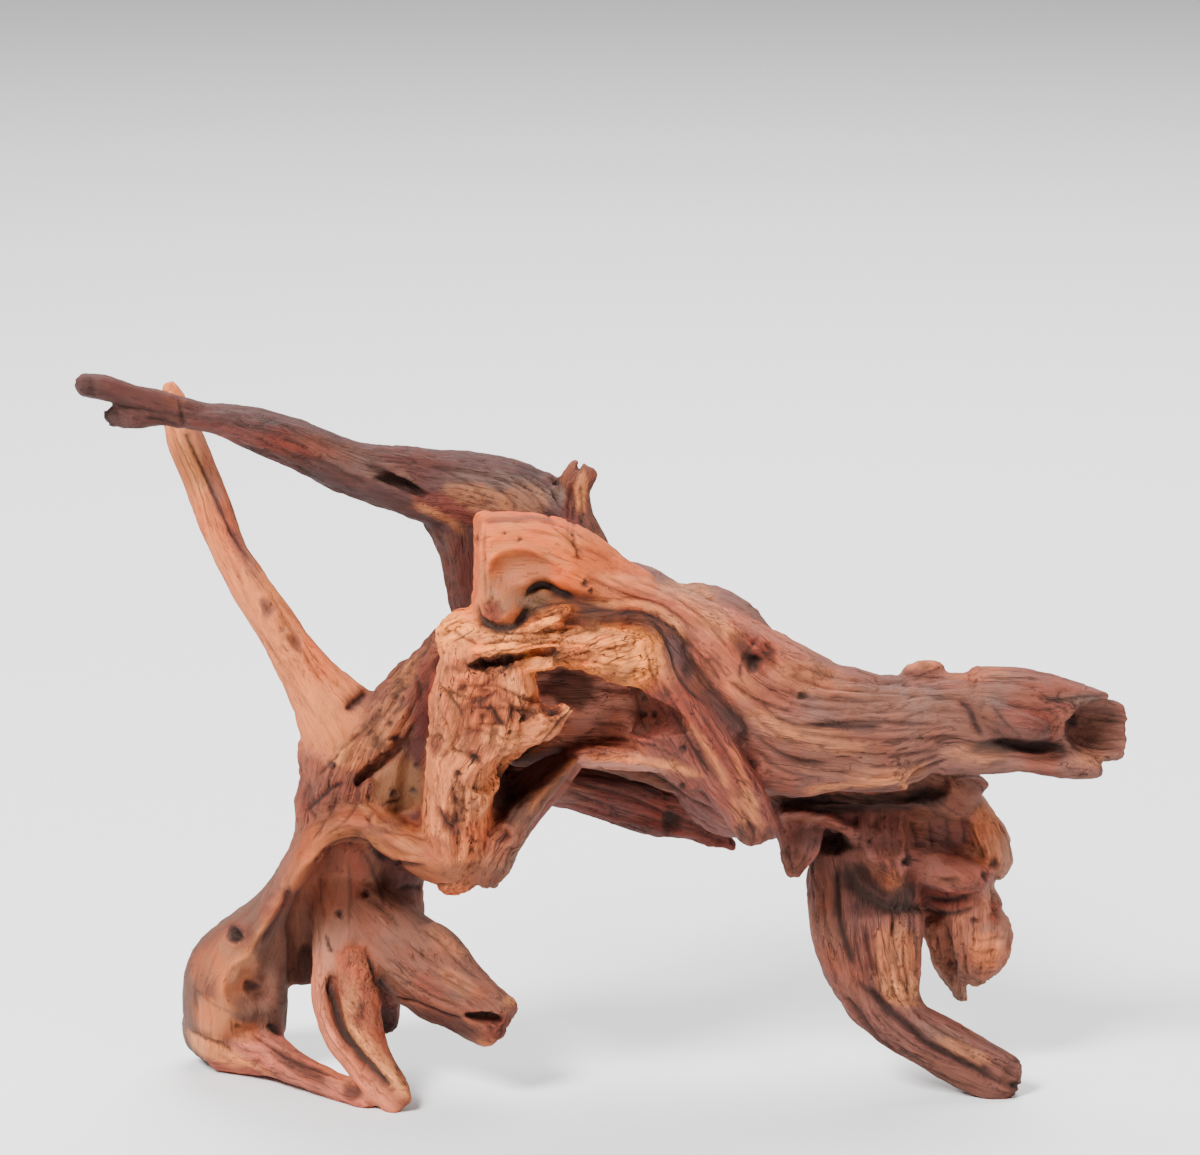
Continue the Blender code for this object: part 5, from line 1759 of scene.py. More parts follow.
@dataclass(frozen=True)
class Foot(Region):
    """The forked foot in the middle of the left roots, and the walls behind it."""

    stem: Limb = Limb(stations(
        "-97 124 -20 16 13; -99 112 -10 16 13; -101 100 -6 15 12; -102 88 -9 14 12; "
        "-103 76 -14 12 12; -104 66 -19 10.5 11; -104 57 -24 10 11"
    ), Look.STEM, "stem")
    toe_left: Limb = Limb(stations(
        "-109 62 -20 5.5 9; -110.3 52 -26 5 9; -109.5 42 -34 4.6 8; -105.5 33 -41 4.6 7.5; "
        "-99.5 24.5 -48 4.6 7; -92.5 15.5 -54 4.3 6; -85.5 7.5 -59 3.8 5; -81 3.2 -61 3 3.8"
    ), Look.TOE, "toe")
    toe_right: Limb = Limb(stations(
        "-99 64 -26 7 10; -97 54 -33 7.5 10; -95.5 44 -39 7.3 9.5; -93.5 35 -45 6.3 9; "
        "-90 26.5 -51 5.6 8; -85.5 18.5 -55 4.8 7; -80.5 11 -59 4.2 5.5; -77.8 6.8 -61 3.2 4"
    ), Look.TOE_RIGHT, "toe")
    left_wall: Limb = Limb(stations(
        "-112 116 -16 8 13; -118 103 -7 7 12; -121 90 -1 7 11; -121 76 3 7 10; -120 64 4 7 9; "
        "-120 56 4 6 8"
    ), Look.STEM, "foot_wall")
    back_wall: Limb = Limb(stations(
        "-74 126 -16 14 14; -78 114 -4 13 13; -81 102 3 12 12; -82.5 90 2 12 12; "
        "-82 80 0 12 12; -85 66 -4 11 12; -86 54 -3 7 9; -85.5 44 -1 5.8 6; -85.5 37 0 4.4 4.5"
    ), Look.FOOT_BACK, "foot_back")
    web: Limb = Limb(stations(
        "-106 66 -12 6 8; -106 58 -14 6 8; -105 50 -17 5.6 8; -103.6 43 -21 4.6 7; "
        "-101.6 37 -26 3.2 5"
    ), Look.FOOT_BACK, "foot_back")
    marks: tuple[Mark, ...] = drawn("""
    patch -111 46 / 2.6 12 / brown .3
    groove -101 52; -98 40; -92 28; -84 17 / .7 .36 .35
    groove -111 56; -110 44; -104 32; -97 22 / .7 .36 .35
    patch -104 72 / 7 6 / brown .3 0 -.4
    patch -110 84 / 5 12 / brown .35 0 -.5
    groove -108 60; -108 52; -106 45; -104 38; -98 28; -90 19; -80 9 / 1.9 1.44 .9 maroon
    lip -103 50; -100 38; -93 27; -84 17; -74 7 / -1.4 2.4 pale
    patch -90 25 / 3 22 / pale .55 40
    patch -97.5 42 / 4 6 / red .4 0 .95
    patch -99 48 / 2.6 6 / pale .5 0 .5
    groove -93 65; -91 60; -90 55; -88 50 / 1.2 .84 .9 dark
    patch -85 38 / 5 7 / maroon .7 0 .9
    patch -79 22 / 3 8 / red .5 40
    groove -84 30; -78 21; -71 12 / .8 .6 .7
    patch -99 10 / 4 3 / dark .7 -25
    groove -112 42; -108 32; -102 24; -96 17 / .7 .48 .5
    back groove -110 84; -108 62; -104 40; -98 20 / 1 1.4 .7
    back patch -96 60 / 7 12 / red .4 0 .6
    back knot -104 70 / 2.4 2.6 / 1.2 .4 0 .7
    """)


@dataclass(frozen=True)
class CutBranch(Region):
    """The short branch with a cut end."""

    branch: Limb = Limb(stations(
        "-98 86 -10 13 12; -86 74 -14 15.5 14; -74 62.5 -20 17 14; -62 53 -28 16 13; "
        "-52 46 -35 13.5 12; -44 40.5 -41 12 11; -40 37.5 -44 10.5 9.5"
    ), Look.CUT, "cut")
    fin: Limb = Limb(stations(
        "-76 70 -17 8 9; -69 69.5 -20 8.4 9; -63.5 68.5 -23 7.6 8; -57 60 -28 7 7; "
        "-47 51.8 -33 5 5; -39 47.6 -36 3 3.5; -34 46.4 -38 1.6 2.2"
    ), Look.CUT, "cut", power=0.8)
    slot: Hollow = Hollow(stations(
        "-56 41 -50 0.8 3; -50 40.5 -50 2 6; -44 39.5 -53 2.6 8; -38 37.5 -58 2.4 8"
    ))
    cut_face: Hollow = Hollow(stations(
        "-19.4 56 -28 7 26; -27 43.3 -28 7 28; -40 22.3 -28 7 28; -47 11 -28 7 26"
    ))
    marks: tuple[Mark, ...] = drawn("""
    groove -88 66; -76 58; -64 51; -50 47 / .9 .9 .42
    groove -82 74; -72 66; -60 58; -48 51 / .9 .8 .38
    groove -76 54; -66 48; -56 44 / .8 .7 .34
    patch -62 38 / 14 4 / maroon .65 -18
    patch -66 62 / 14 4 / brown .35 -38
    patch -56 54 / 10 3.5 / tan .3 -30
    patch -36 47 / 3 2 / pale .4
    groove -82 48.6; -80 48; -70 45; -60 40.5; -54 40 / .8 1.3 .81
    groove -54 41; -49 42; -44 41.4; -40 40 / 1.5 2.4 .85 dark
    patch -40.5 35 / 5.4 6.4 / red .6 0 .8
    patch -45 29.5 / 5 2.4 / tan .5 20
    groove -37.4 41.4; -38.4 36; -42 30; -47 27.6 / .7 .9 .59
    lip -50 27.5; -46 26.5; -43 28; -37 34; -34 40 / 1 1.8 tan
    groove -86 60; -74 52.6; -64 47; -54 44.6 / .7 .9 .59
    patch -70 54 / 10 3 / red .35 -34
    patch -62 70 / 8 3 / tan .3 -36
    groove -72 76; -64 70; -56 62; -46 54 / .7 .9 .51
    patch -76 42 / 8 2.4 / maroon .7 -16
    back groove -84 64; -68 55; -50 44 / .9 1.1 .6
    back groove -78 54; -64 46; -48 37 / .8 1 .6
    """)


@dataclass(frozen=True)
class RightLeg(Region):
    """The fluted right leg."""

    leg: Limb = Limb(stations(
        "104 106 -4 20 15; 105 96 -10 23 16; 106 86 -15 23.6 16; 107 76 -20 23.6 16; "
        "108.5 66 -25 21.5 15; 111 56 -29 18.8 14; 114.5 46.5 -32 14.8 13; 122 37 -35 11.2 12; "
        "131 31.5 -36 11 11; 140 26 -36 11.2 10; 151 19.8 -37 10.9 9; 160 15 -38 10.9 8; "
        "163.5 13.4 -38 10 7"
    ), Look.LEG, "leg")
    cavern: Hollow = Hollow(stations(
        "90 110 -34 4 12; 98 107 -34 7 16; 108 97 -38 7 16; 119 90 -40 6 14; 130 86 -38 3.5 10"
    ))
    # Painted shade, with a dark stain: the dark and maroon patches in the hollow under the tooth and lump
    # (112 92, 109 84) and the dark groove along its top (97 104 on).
    marks: tuple[Mark, ...] = drawn("""
    groove 95.5 104; 94.5 92; 95.5 80; 99 68; 103 58 / 1.4 2 .77 maroon
    groove 103 84; 102.5 72; 105 60; 110 50; 118 41 / 1 1.2 .51
    groove 110 84; 109.5 72; 111.5 60; 117 50 / .9 1 .47
    groove 118 82; 117.5 70; 119 60; 124 50 / .9 1 .42
    groove 122 46; 132 38; 142 32; 154 26 / 1 1.1 .42
    groove 118 29; 130 21; 142 15; 154 10 / .9 .9 .42
    groove 90 96; 89 84; 92 70; 97 58 / .9 .9 .42
    patch 92 80 / 4 20 / brown .4 8
    patch 100 55 / 5 12 / brown .5 24
    patch 140 30 / 18 4 / grey .35 -28
    patch 140 18 / 20 4 / brown .4 -26
    patch 164 14 / 4 8 / brown .5 0 .5
    knot 165.8 13.8 / 2.2 1.2 / 1.2 .3 0 .9
    patch 112 92 / 17 9 / dark .9 -16
    patch 109 84 / 10 4 / maroon .7
    patch 119 62 / 10 15 / tan .6 4 .4
    patch 121 50 / 8 4 / pale .4 0 .9
    lip 131 47; 127 45; 120 46; 115 49; 110 54 / -1.4 2 tan
    groove 100 57; 105 53; 110 49; 117 42; 124 36.5; 130 31; 136 27.5; 142 24.5; 150 20.5; 158 15.5;
      165 12.5 / 1.4 2.2 .81 maroon
    groove 97 49; 102 44; 107 37.5; 111 33; 116 29; 124 23 / 1.6 2 .72 maroon
    groove 126 77; 126.6 70; 126.5 62 / .9 1 .51 brown
    groove 117 82; 117.4 78; 117 72 / .9 1 .51 brown
    groove 95 94; 95.6 87; 96 80 / .8 1.4 .81
    groove 122 76; 122 66; 123.4 56; 125 48 / .6 .8 .42
    groove 113.6 74; 113.6 64; 115.6 54 / .6 .8 .42
    groove 106.6 80; 107 68; 109.4 57 / .8 1.1 .59
    patch 90 72 / 4 12 / brown .5 14
    patch 103 34 / 9 6 / brown .4 -30
    patch 146 27 / 12 3 / tan .4 -26
    knot 166.4 12.8 / 2.4 1.4 / 1.6 .3 0 .95 dark
    groove 132 45; 140 39; 150 32.6; 158 28 / .7 .9 .51
    groove 110 42; 120 33; 132 25.4; 146 19.4 / .7 .9 .51
    groove 97 104; 100 97; 105 90.6; 113 86; 125 84; 134 87 / 2.2 3 .8 dark
    groove 104 80; 106 72; 109 62; 113 54 / 1.2 1.6 .5
    back groove 98 92; 101 70; 109 50; 124 36; 146 24 / 1.2 1.7 .75
    back groove 116 84; 117 66; 122 50; 134 40 / .9 1.2 .6
    back knot 108 76 / 2.4 2.8 / 1.4 .5 0 .7
    back patch 112 66 / 8 14 / grey .35
    """)


@dataclass(frozen=True)
class UnderMass(Region):
    """The dark, eroded roots under the trunk."""

    wall: Limb = Limb(stations(
        "34 136 -8 6 13; 46 126 -6 10 13; 58 122 -4 9.5 13; 70 122 -3 9 14; 84 124 0 8.5 16; "
        "98 124.5 4 11 17; 112 123 6 15 18; 126 121.5 7 17 18; 138 119 7 16 18; 148 113 6 11 14"
    ), Look.UNDER, "under")
    core: Limb = Limb(stations(
        "84 118 6 9 12; 98 112 8 14 14; 114 104 8 16 15; 130 98 6 16 15; 142 92 4 12 14"
    ), Look.UNDER, "under")
    tip: Limb = Limb(stations(
        "126 135 2 10 14; 138 135 -2 9 13; 146 134 -6 6 10; 151 133.5 -7 3.6 6; "
        "155.5 133 -8 1.2 2.4"
    ), Look.UNDER, "under")
    tooth: Limb = Limb(stations(
        "112 121 -4 13 12; 112.5 112 -12 11.5 11; 114 104 -18 9.6 9; 117 97.5 -23 6.6 7; "
        "119.3 92.8 -25 2.8 3.4"
    ), Look.UNDER, "under_tooth")
    lump: Limb = Limb(stations(
        "122 110 -6 10 10; 131 103 -10 9 11; 139 98.5 -13 7.6 12; 146 97.3 -13 7 11; "
        "152 98.5 -9 5 8"
    ), Look.UNDER, "under")
    rib: Limb = Limb(stations(
        "72 121.5 -20 2.2 8; 84 121 -20 2 8; 93 118.6 -18 2.2 7; 99 115.2 -16 2.6 6; "
        "101 112 -15 2 4"
    ), Look.UNDER, "under")
    drape: Hollow = Hollow(stations(
        "126 112 -30 3 8; 134 111 -30 6 12; 142 112.5 -30 6.5 13; 148 114 -28 4 9"
    ))
    # Painted shade: the dark patches in the recess under the trunk's lip (100 126, 132 128.6).
    marks: tuple[Mark, ...] = drawn("""
    patch 100 126 / 34 4 / dark .85
    patch 132 128.6 / 8 4 / dark .9
    groove 74 128; 86 127; 100 126; 112 125.6 / .9 1.2 .8
    groove 78 124.4; 88 123.6; 98 122.4 / .8 1 .8
    lip 72 121; 80 120; 90 119.5; 95 116; 98 113 / -1.12 2 brown
    patch 84 119.6 / 12 2.2 / brown .35
    knot 94 110 / 6.4 5.6 / 2.6 .4 10 1 dark
    patch 84 112 / 8 5 / dark .6
    patch 99.6 114 / 3.4 4 / brown .35
    patch 78 100 / 5 8 / brown .35 0 .5
    groove 74 108; 76 102; 77.6 96 / .7 .9 .7
    lip 104 113; 104 108; 107 103; 111 98; 115 93; 119.5 91 / .96 1.8 brown
    patch 115 100 / 6 8 / brown .45 0 .3
    patch 118 95.6 / 4 4 / tan .28 0 .5
    groove 109 111; 112 104; 116 98; 118.4 93 / .6 .8 .6
    groove 113 112; 116 105; 119 99; 120.4 94 / .6 .8 .6
    knot 122.4 103 / 3 2 / 1.8 .3 40 1 dark
    patch 138 98.5 / 13 6 / brown .5 0 -.6
    patch 148.6 101.6 / 4 2.6 / brown .4 0 -.6
    knot 140 94.6 / 5 2.4 / .9 .6 0 .5 brown
    patch 135 112 / 14 6 / purple .55 0 -.5
    groove 124 120; 126 114; 127 108 / .8 1 .7
    groove 131 121; 132.4 114; 133 107 / .7 .9 .6
    groove 138 121; 139 115; 140 108 / .7 .9 .6
    groove 144.6 122; 145.4 116; 146 109 / .7 .9 .6
    patch 146 134 / 12 3.4 / brown .6
    groove 134 137; 142 136.6; 150 137; 156 134.4 / .7 .9 .7
    patch 128 119 / 5 6 / tan .21
    lip 126 105.6; 134 106; 142 105; 150 105 / .96 2 brown
    patch 124 114 / 20 9 / brown .4 0 .5
    """)


@dataclass(frozen=True)
class Knee(Region):
    """The shoulder, knee and spike behind the right leg."""

    shoulder: Limb = Limb(stations(
        "146 131 2 4 9; 150.5 122 0 6 11; 155 113 -2 7.4 12; 158.2 105 -2 7 12; 158 99 -2 5.4 9"
    ), Look.KNEE, "knee", power=0.8)
    knee: Limb = Limb(stations(
        "146 108 2 9 13; 145 98 0 10.5 14; 147 90 -1 10.5 15; 149.5 80 -1 12 15; "
        "151.5 72 -1 13.2 15; 151 65 0 11.6 12; 148.5 59.5 1 8 9; 147 56.5 1 5 6"
    ), Look.KNEE, "knee", power=0.75)
    spike: Limb = Limb(stations(
        "137 80 4 9 11; 139 68 5 8 9; 140.5 60 5 6 7; 143 53 4 3.8 5; 145.6 47 3 1.4 2"
    ), Look.KNEE, "knee")
    gap: Hollow = Hollow(stations(
        "133 76 -26 2 10; 133.5 68 -24 3 14; 132 60 -22 3 14"
    ))
    # Painted shade: the dark patch in the gap between the leg and the knee (131 66).
    marks: tuple[Mark, ...] = drawn("""
    patch 155 112 / 6 13 / tan .5 0 .3
    groove 152.6 122; 153.6 112; 155 103 / .6 .56 .37
    groove 156 119; 157.4 110; 158.6 102; 158 96 / .6 .56 .37
    groove 160.6 112; 161.4 104; 160.6 97 / .5 .49 .34
    knot 157.6 102 / 2.2 3 / 1.5 .4 0 .8 maroon
    knot 153.6 97 / 1.8 2 / 1.3 .3 0 .85 maroon
    patch 138 88 / 13 4.6 / red .65 0 .2
    groove 126 90; 134 87; 142 87.4; 150 90 / 1.1 1.12 .56 maroon
    groove 128 84.6; 136 82; 144 82.4; 151 85 / .9 .91 .53 maroon
    patch 158 82 / 3 5 / red .6 0 .5
    patch 155 76 / 3.4 2.4 / grey .6
    patch 155 67 / 7 7 / pale .45 0 .2
    groove 147 72; 153 71; 159 72.4; 163 72 / .7 .63 .43
    groove 147 67.6; 153 66.4; 160 67.4 / .7 .63 .4
    groove 148 63; 153 61.6; 159 62.4 / .7 .56 .37
    groove 149 58.6; 153 57.6; 157 58.8 / .6 .56 .37
    groove 138 80; 139.6 72; 141.6 64; 143.4 56 / 1 1.05 .53 maroon
    groove 143.4 80; 144.6 72; 146 64; 147 56 / .8 .77 .46
    groove 134 78; 135 70; 138 60 / .9 .84 .5
    patch 140 66 / 4 14 / brown .4
    patch 137 55 / 6 3 / maroon .7 -40
    patch 146 94 / 7 3.6 / brown .45
    knot 149.6 79 / 2 1.6 / 1.2 .4 0 .75 maroon
    patch 131 66 / 3 12 / dark .7
    """)


REGIONS: tuple[type[Region], ...] = (
    LongBranch, PaleLimb, Block, Slab, Trunk, Ledge, HollowWalls, Strap, Keel, Face, LeftBody,
    Hood, Heel, Foot, CutBranch, RightLeg, UnderMass, Knee,
)


class GrainField:
    """Which limb each spot of the surface belongs to, and where it lies along that limb's grain.

    Attributes:
        batch: How many vertices are measured at a time.
        margin: How far from a limb vertices are measured, in millimetres.
        own_margin: The same for the first limb of a grain, which the others follow.
        apart: How far one grain's own pattern is moved from the one before it.
        seam: How wide the blend between two limbs is, in millimetres.
        meeting: How much of a vertex a grain needs to have to meet the others there.
        names: The grains that run through the wood.
        share: For each grain, how much of each vertex is its own.
        place: For each grain, across, through and along the limb, in millimetres.
        look: For each finish, how much of each vertex takes it.
    """

    batch = 20000
    margin = 8
    own_margin = 45
    apart = 211.0
    seam = 1.1
    meeting = 0.04

    def __init__(self, limbs: Sequence[Limb], points: Array) -> None:
        """Measures every vertex against every limb.

        Args:
            limbs: The wood's limbs.
            points: The vertices, in millimetres.
        """
        self.names = list(dict.fromkeys(limb.grain for limb in limbs))
        count = len(points)
        reach = np.full((len(limbs), count), 1e6, np.float32)
        self.place = np.zeros((len(self.names), count, 3), np.float32)
        owned: set[str] = set()
        for row, limb in enumerate(limbs):
            axis = limb.axis(0.2)
            own = limb.grain not in owned
            owned.add(limb.grain)
            widest = float(max(axis.wide.max(), axis.thick.max()))
            margin = widest * 1.25 + (self.own_margin if own else self.margin)
            low, high = axis.middle.min(0) - margin, axis.middle.max(0) + margin
            found = np.nonzero(((points > low) & (points < high)).all(1))[0]
            for part in np.array_split(found, max(1, len(found) // self.batch)):
                gap = ((points[part, None, :] - axis.middle) ** 2).sum(2)
                at = gap.argmin(1)
                off = points[part] - axis.middle[at]
                run = axis.run[at] + (off * axis.along[at]).sum(1)
                across = (off * axis.side[at]).sum(1)
                through = (off * axis.front[at]).sum(1)
                if own:
                    grain = self.names.index(limb.grain)
                    self.place[grain, part] = np.column_stack((across, through, run))
                wide, thick = axis.wide[at], axis.thick[at]
                past = np.maximum(np.maximum(-run, run - axis.run[-1]), 0)
                ratio = np.sqrt((across / wide) ** 2 + (through / thick) ** 2)
                reach[row, part] = (ratio - 1) * np.minimum(wide, thick) + past
        weight = np.exp(-np.minimum((reach - reach.min(0)) / self.seam, 40))
        weight /= weight.sum(0)
        self.share = np.zeros((len(self.names), count), np.float32)
        self.look = {look: np.zeros(count) for look in Look}
        for row, limb in enumerate(limbs):
            self.share[self.names.index(limb.grain)] += weight[row]
            self.look[limb.look] += weight[row]
        self.finish = {}
        for limb in limbs:
            self.finish.setdefault(limb.grain, limb.look.value)

    def channels(self, most: int) -> list[int]:
        """Gives each grain a channel, so that grains that meet have different ones.

        Args:
            most: The number of channels.

        Returns:
            A channel for each grain.
        """
        strong = (self.share > self.meeting).astype(np.float32)
        meets = strong @ strong.T
        order = sorted(range(len(self.names)), key=lambda g: -float(meets[g].sum() - meets[g, g]))
        given = {}
        for grain in order:
            cost = [0.0] * most
            for other, channel in given.items():
                cost[channel] += float(meets[grain, other])
            given[grain] = int(np.argmin(cost))
            if min(cost) > 0:
                LOG.info("grain %s shares a channel at %d vertices", self.names[grain], min(cost))
        return [given[g] for g in range(len(self.names))]

    def packed(self, most: int) -> tuple[Array, Array]:
        """Lays the grains into a few channels.

        Args:
            most: The number of channels.

        Returns:
            For each channel, how much of each vertex it has and the place along its grain.
        """
        count = self.share.shape[1]
        shares, best = np.zeros((2, most, count))
        places = np.zeros((most, count, 3))
        for row, channel in enumerate(self.channels(most)):
            share = self.share[row]
            stronger = share > best[channel]
            best[channel][stronger] = share[stronger]
            shares[channel] += share
            places[channel][stronger] = self.place[row][stronger] + self.apart * row
        return shares, places

    def blend(self, value: str) -> Array:
        """Gives each vertex the mean of one of its finishes' numbers, such as "flute"."""
        return sum(share * getattr(look.value, value) for look, share in self.look.items())

    def tint(self) -> Array:
        """Gives each vertex the mean colour of its finishes."""
        return sum(np.outer(share, linear(look.value.colour)) for look, share in self.look.items())


@dataclass(frozen=True)
class Weather:
    """What years in water and sun do all over the wood.

    Attributes:
        stretch: How many times longer than wide a flute is.
        fine: How far apart the finest shaped fibres are, in millimetres.
        tear: How far torn bits stand up, in millimetres.
        lumpy: How deep the uneven wear has to be for lumps to break out of it, in millimetres.
    """

    stretch: float = 11.0
    fine: float = 1.9
    tear: float = 1.0
    lumpy: float = 0.38

    def work(self, skin: Skin, grain: GrainField) -> None:
        """Adds flutes, checks, fibres and uneven wear to what the marks have pushed.

        Args:
            skin: The surface.
            grain: Its grain.
        """
        calm = 1 - 0.85 * skin.smooth
        depth = np.column_stack((grain.blend("flute") * calm, grain.blend("checks") * calm))
        for row, share in enumerate(grain.share):
            found = np.nonzero(share > 0.01)[0]
            if len(found):
                self.fibres(skin, grain, row, found, depth[found])
        self.wear(skin, grain.blend("rough") * (1 - 0.6 * skin.smooth))

    def fibres(self, skin: Skin, grain: GrainField, row: int, found: Array, depth: Array) -> None:
        """Works flutes and checks in along one grain, and the bits that stand up where it is torn.

        Args:
            skin: The surface.
            grain: Its grain.
            row: The grain's number.
            found: The vertices that it runs through.
            depth: For each of them, how deep its flutes and its checks are.
        """
        pitch = grain.finish[grain.names[row]].pitch
        place = grain.place[row, found].astype(float)
        bend = ripple(place * (0.03, 0.03, 0.012), Seed.BEND + row) * 5
        place[:, :2] += np.column_stack((bend, -bend))
        stretched = place / (pitch, pitch, pitch * self.stretch)
        wave = np.abs(ripple(stretched, Seed.WAVE + row))
        small = ripple(stretched * 2.3 + 40, Seed.SMALL + row)
        fine = ripple(place / (self.fine, self.fine, self.fine * 12), Seed.FINE + row)
        broken = np.clip(ripple(place * (0.12, 0.12, 0.03), Seed.BROKEN + row) * 2.2 + 0.45, 0, 1)
        check = np.exp(-((small / 0.07) ** 2)) * broken
        lift = depth[:, 0] * (2.6 * np.minimum(wave, 0.6) - 0.6 + 0.9 * np.abs(small) + 0.3 * fine)
        lift -= depth[:, 1] * check * 1.6
        dark = check * np.clip(depth[:, 1] / 0.5, 0, 1) * 0.8
        torn = np.nonzero(skin.torn[found] > 0.02)[0]
        if len(torn):
            amount = skin.torn[found[torn]]
            big, edge = splinters(place[torn] / (3.4, 3.4, 12.0), Seed.BIG_BITS + row)
            slim, rim = splinters(place[torn] / (1.7, 1.7, 7.0), Seed.SLIM_BITS + row)
            lift[torn] += amount * (self.tear * (0.8 * big + 0.45 * slim) - 0.3)
            gap = np.maximum(np.exp(-((edge / 0.10) ** 2)), 0.6 * np.exp(-((rim / 0.14) ** 2)))
            pit = np.clip(-big - 0.35, 0, 1) * 1.2
            skin.lift(dark, torn, amount * np.clip(0.75 * gap + pit, 0, 0.9))
        share = grain.share[row, found]
        skin.push[found] += share * lift
        skin.lift(skin.crack, found, share * dark)

    def wear(self, skin: Skin, rough: Array) -> None:
        """Works uneven wear in all over, and lumps where it is strong.

        Args:
            skin: The surface.
            rough: For each vertex, how deep the wear is, in millimetres.
        """
        coarse = ripple(skin.points / 6.5, Seed.COARSE)
        pitted = ripple(skin.points / 3.1, Seed.PITTED)
        skin.push += rough * (1.5 * coarse + 0.9 * pitted - 0.8 * np.clip(-pitted - 0.25, 0, 1))
        worn = np.nonzero(rough > self.lumpy)[0]
        lump, edge = splinters(skin.points[worn] / (6.0, 6.0, 7.5), Seed.LUMPS)
        past = rough[worn] - self.lumpy
        skin.push[worn] += past * 3.0 * lump
        deep = np.clip(rough - 0.4, 0, 1) * np.clip(-pitted * 2 - 0.5, 0, 1)
        skin.crack = np.maximum(skin.crack, np.clip(deep * 1.6, 0, 0.8))
        gap = np.clip(past, 0, 0.5) * 1.6 * np.exp(-((edge / 0.09) ** 2))
        skin.lift(skin.crack, worn, gap)


@dataclass(frozen=True)
class Carve:
    """How finely the wood is joined, smoothed and thinned.

    Attributes:
        join: The grid on which the limbs are joined, in millimetres.
        skin: The grid of the finished skin, in millimetres.
        smoothing: Rounds of smoothing before the skin is worked.
        triangles: How many triangles the finished skin keeps.
        worn_flat: How far up the wood is worn flat where it stands, in millimetres.
        blend: Rounds in which the colours of two finishes run into each other.
        underside_shade: Painted shade: how much darker the colour is made where the wood faces down.
        polish: How much of one last round of smoothing is taken.
        broad: Rounds of smoothing that take off all that stands out.
    """

    join: float = 1.5
    skin: float = 0.95
    smoothing: int = 3
    triangles: int = 194000
    worn_flat: float = 0.8
    blend: int = 8
    underside_shade: float = 0.30
    polish: float = 0.2
    broad: int = 22


@dataclass(frozen=True)
class Shade:
    """How it is measured how closed in the wood is, for the painted shade in its hollows.

    Attributes:
        rays: How many ways are looked along from a vertex.
        turn: The turn from one of them to the next, in radians.
        every: One vertex out of this many is measured.
        lift: How far off the wood a look starts, in millimetres.
        reach: How far it goes, in millimetres.
        far: How far off a wall closes nothing in, in millimetres.
    """

    rays: int = 14
    turn: float = 2.39996
    every: int = 7
    lift: float = 0.4
    reach: float = 32.0
    far: float = 40.0

    def ways(self) -> list[Vector]:
        """Gives the ways that are looked along, spread evenly over a half sphere."""
        ways = []
        for k in range(self.rays):
            height = 1 - (k + 0.5) / self.rays
            flat = (1 - height * height) ** 0.5
            turn = k * self.turn
            ways.append(Vector((flat * cos(turn), flat * sin(turn), height)))
        return ways

    def measure(self, skin: Skin, tree: BVHTree) -> Array:
        """Measures how closed in each vertex is.

        Args:
            skin: The surface.
            tree: The same surface, to look up what is near.

        Returns:
            For each vertex, from 0 in the open to 1 deep in a hollow.
        """
        ways = self.ways()
        few = skin.points[:: self.every]
        shut = np.zeros(len(few))
        for k, (point, out) in enumerate(zip(few, skin.normals[:: self.every])):
            normal = Vector(out)
            start = Vector(point) + normal * self.lift
            turned = normal.to_track_quat("Z", "Y")
            for way in ways:
                distance = tree.ray_cast(start, turned @ way, self.reach)[3]
                if distance is not None:
                    shut[k] += 1 - distance / self.far
        shut /= len(ways)
        return skin.blurred(shut[nearest(few, skin.points)], 6)


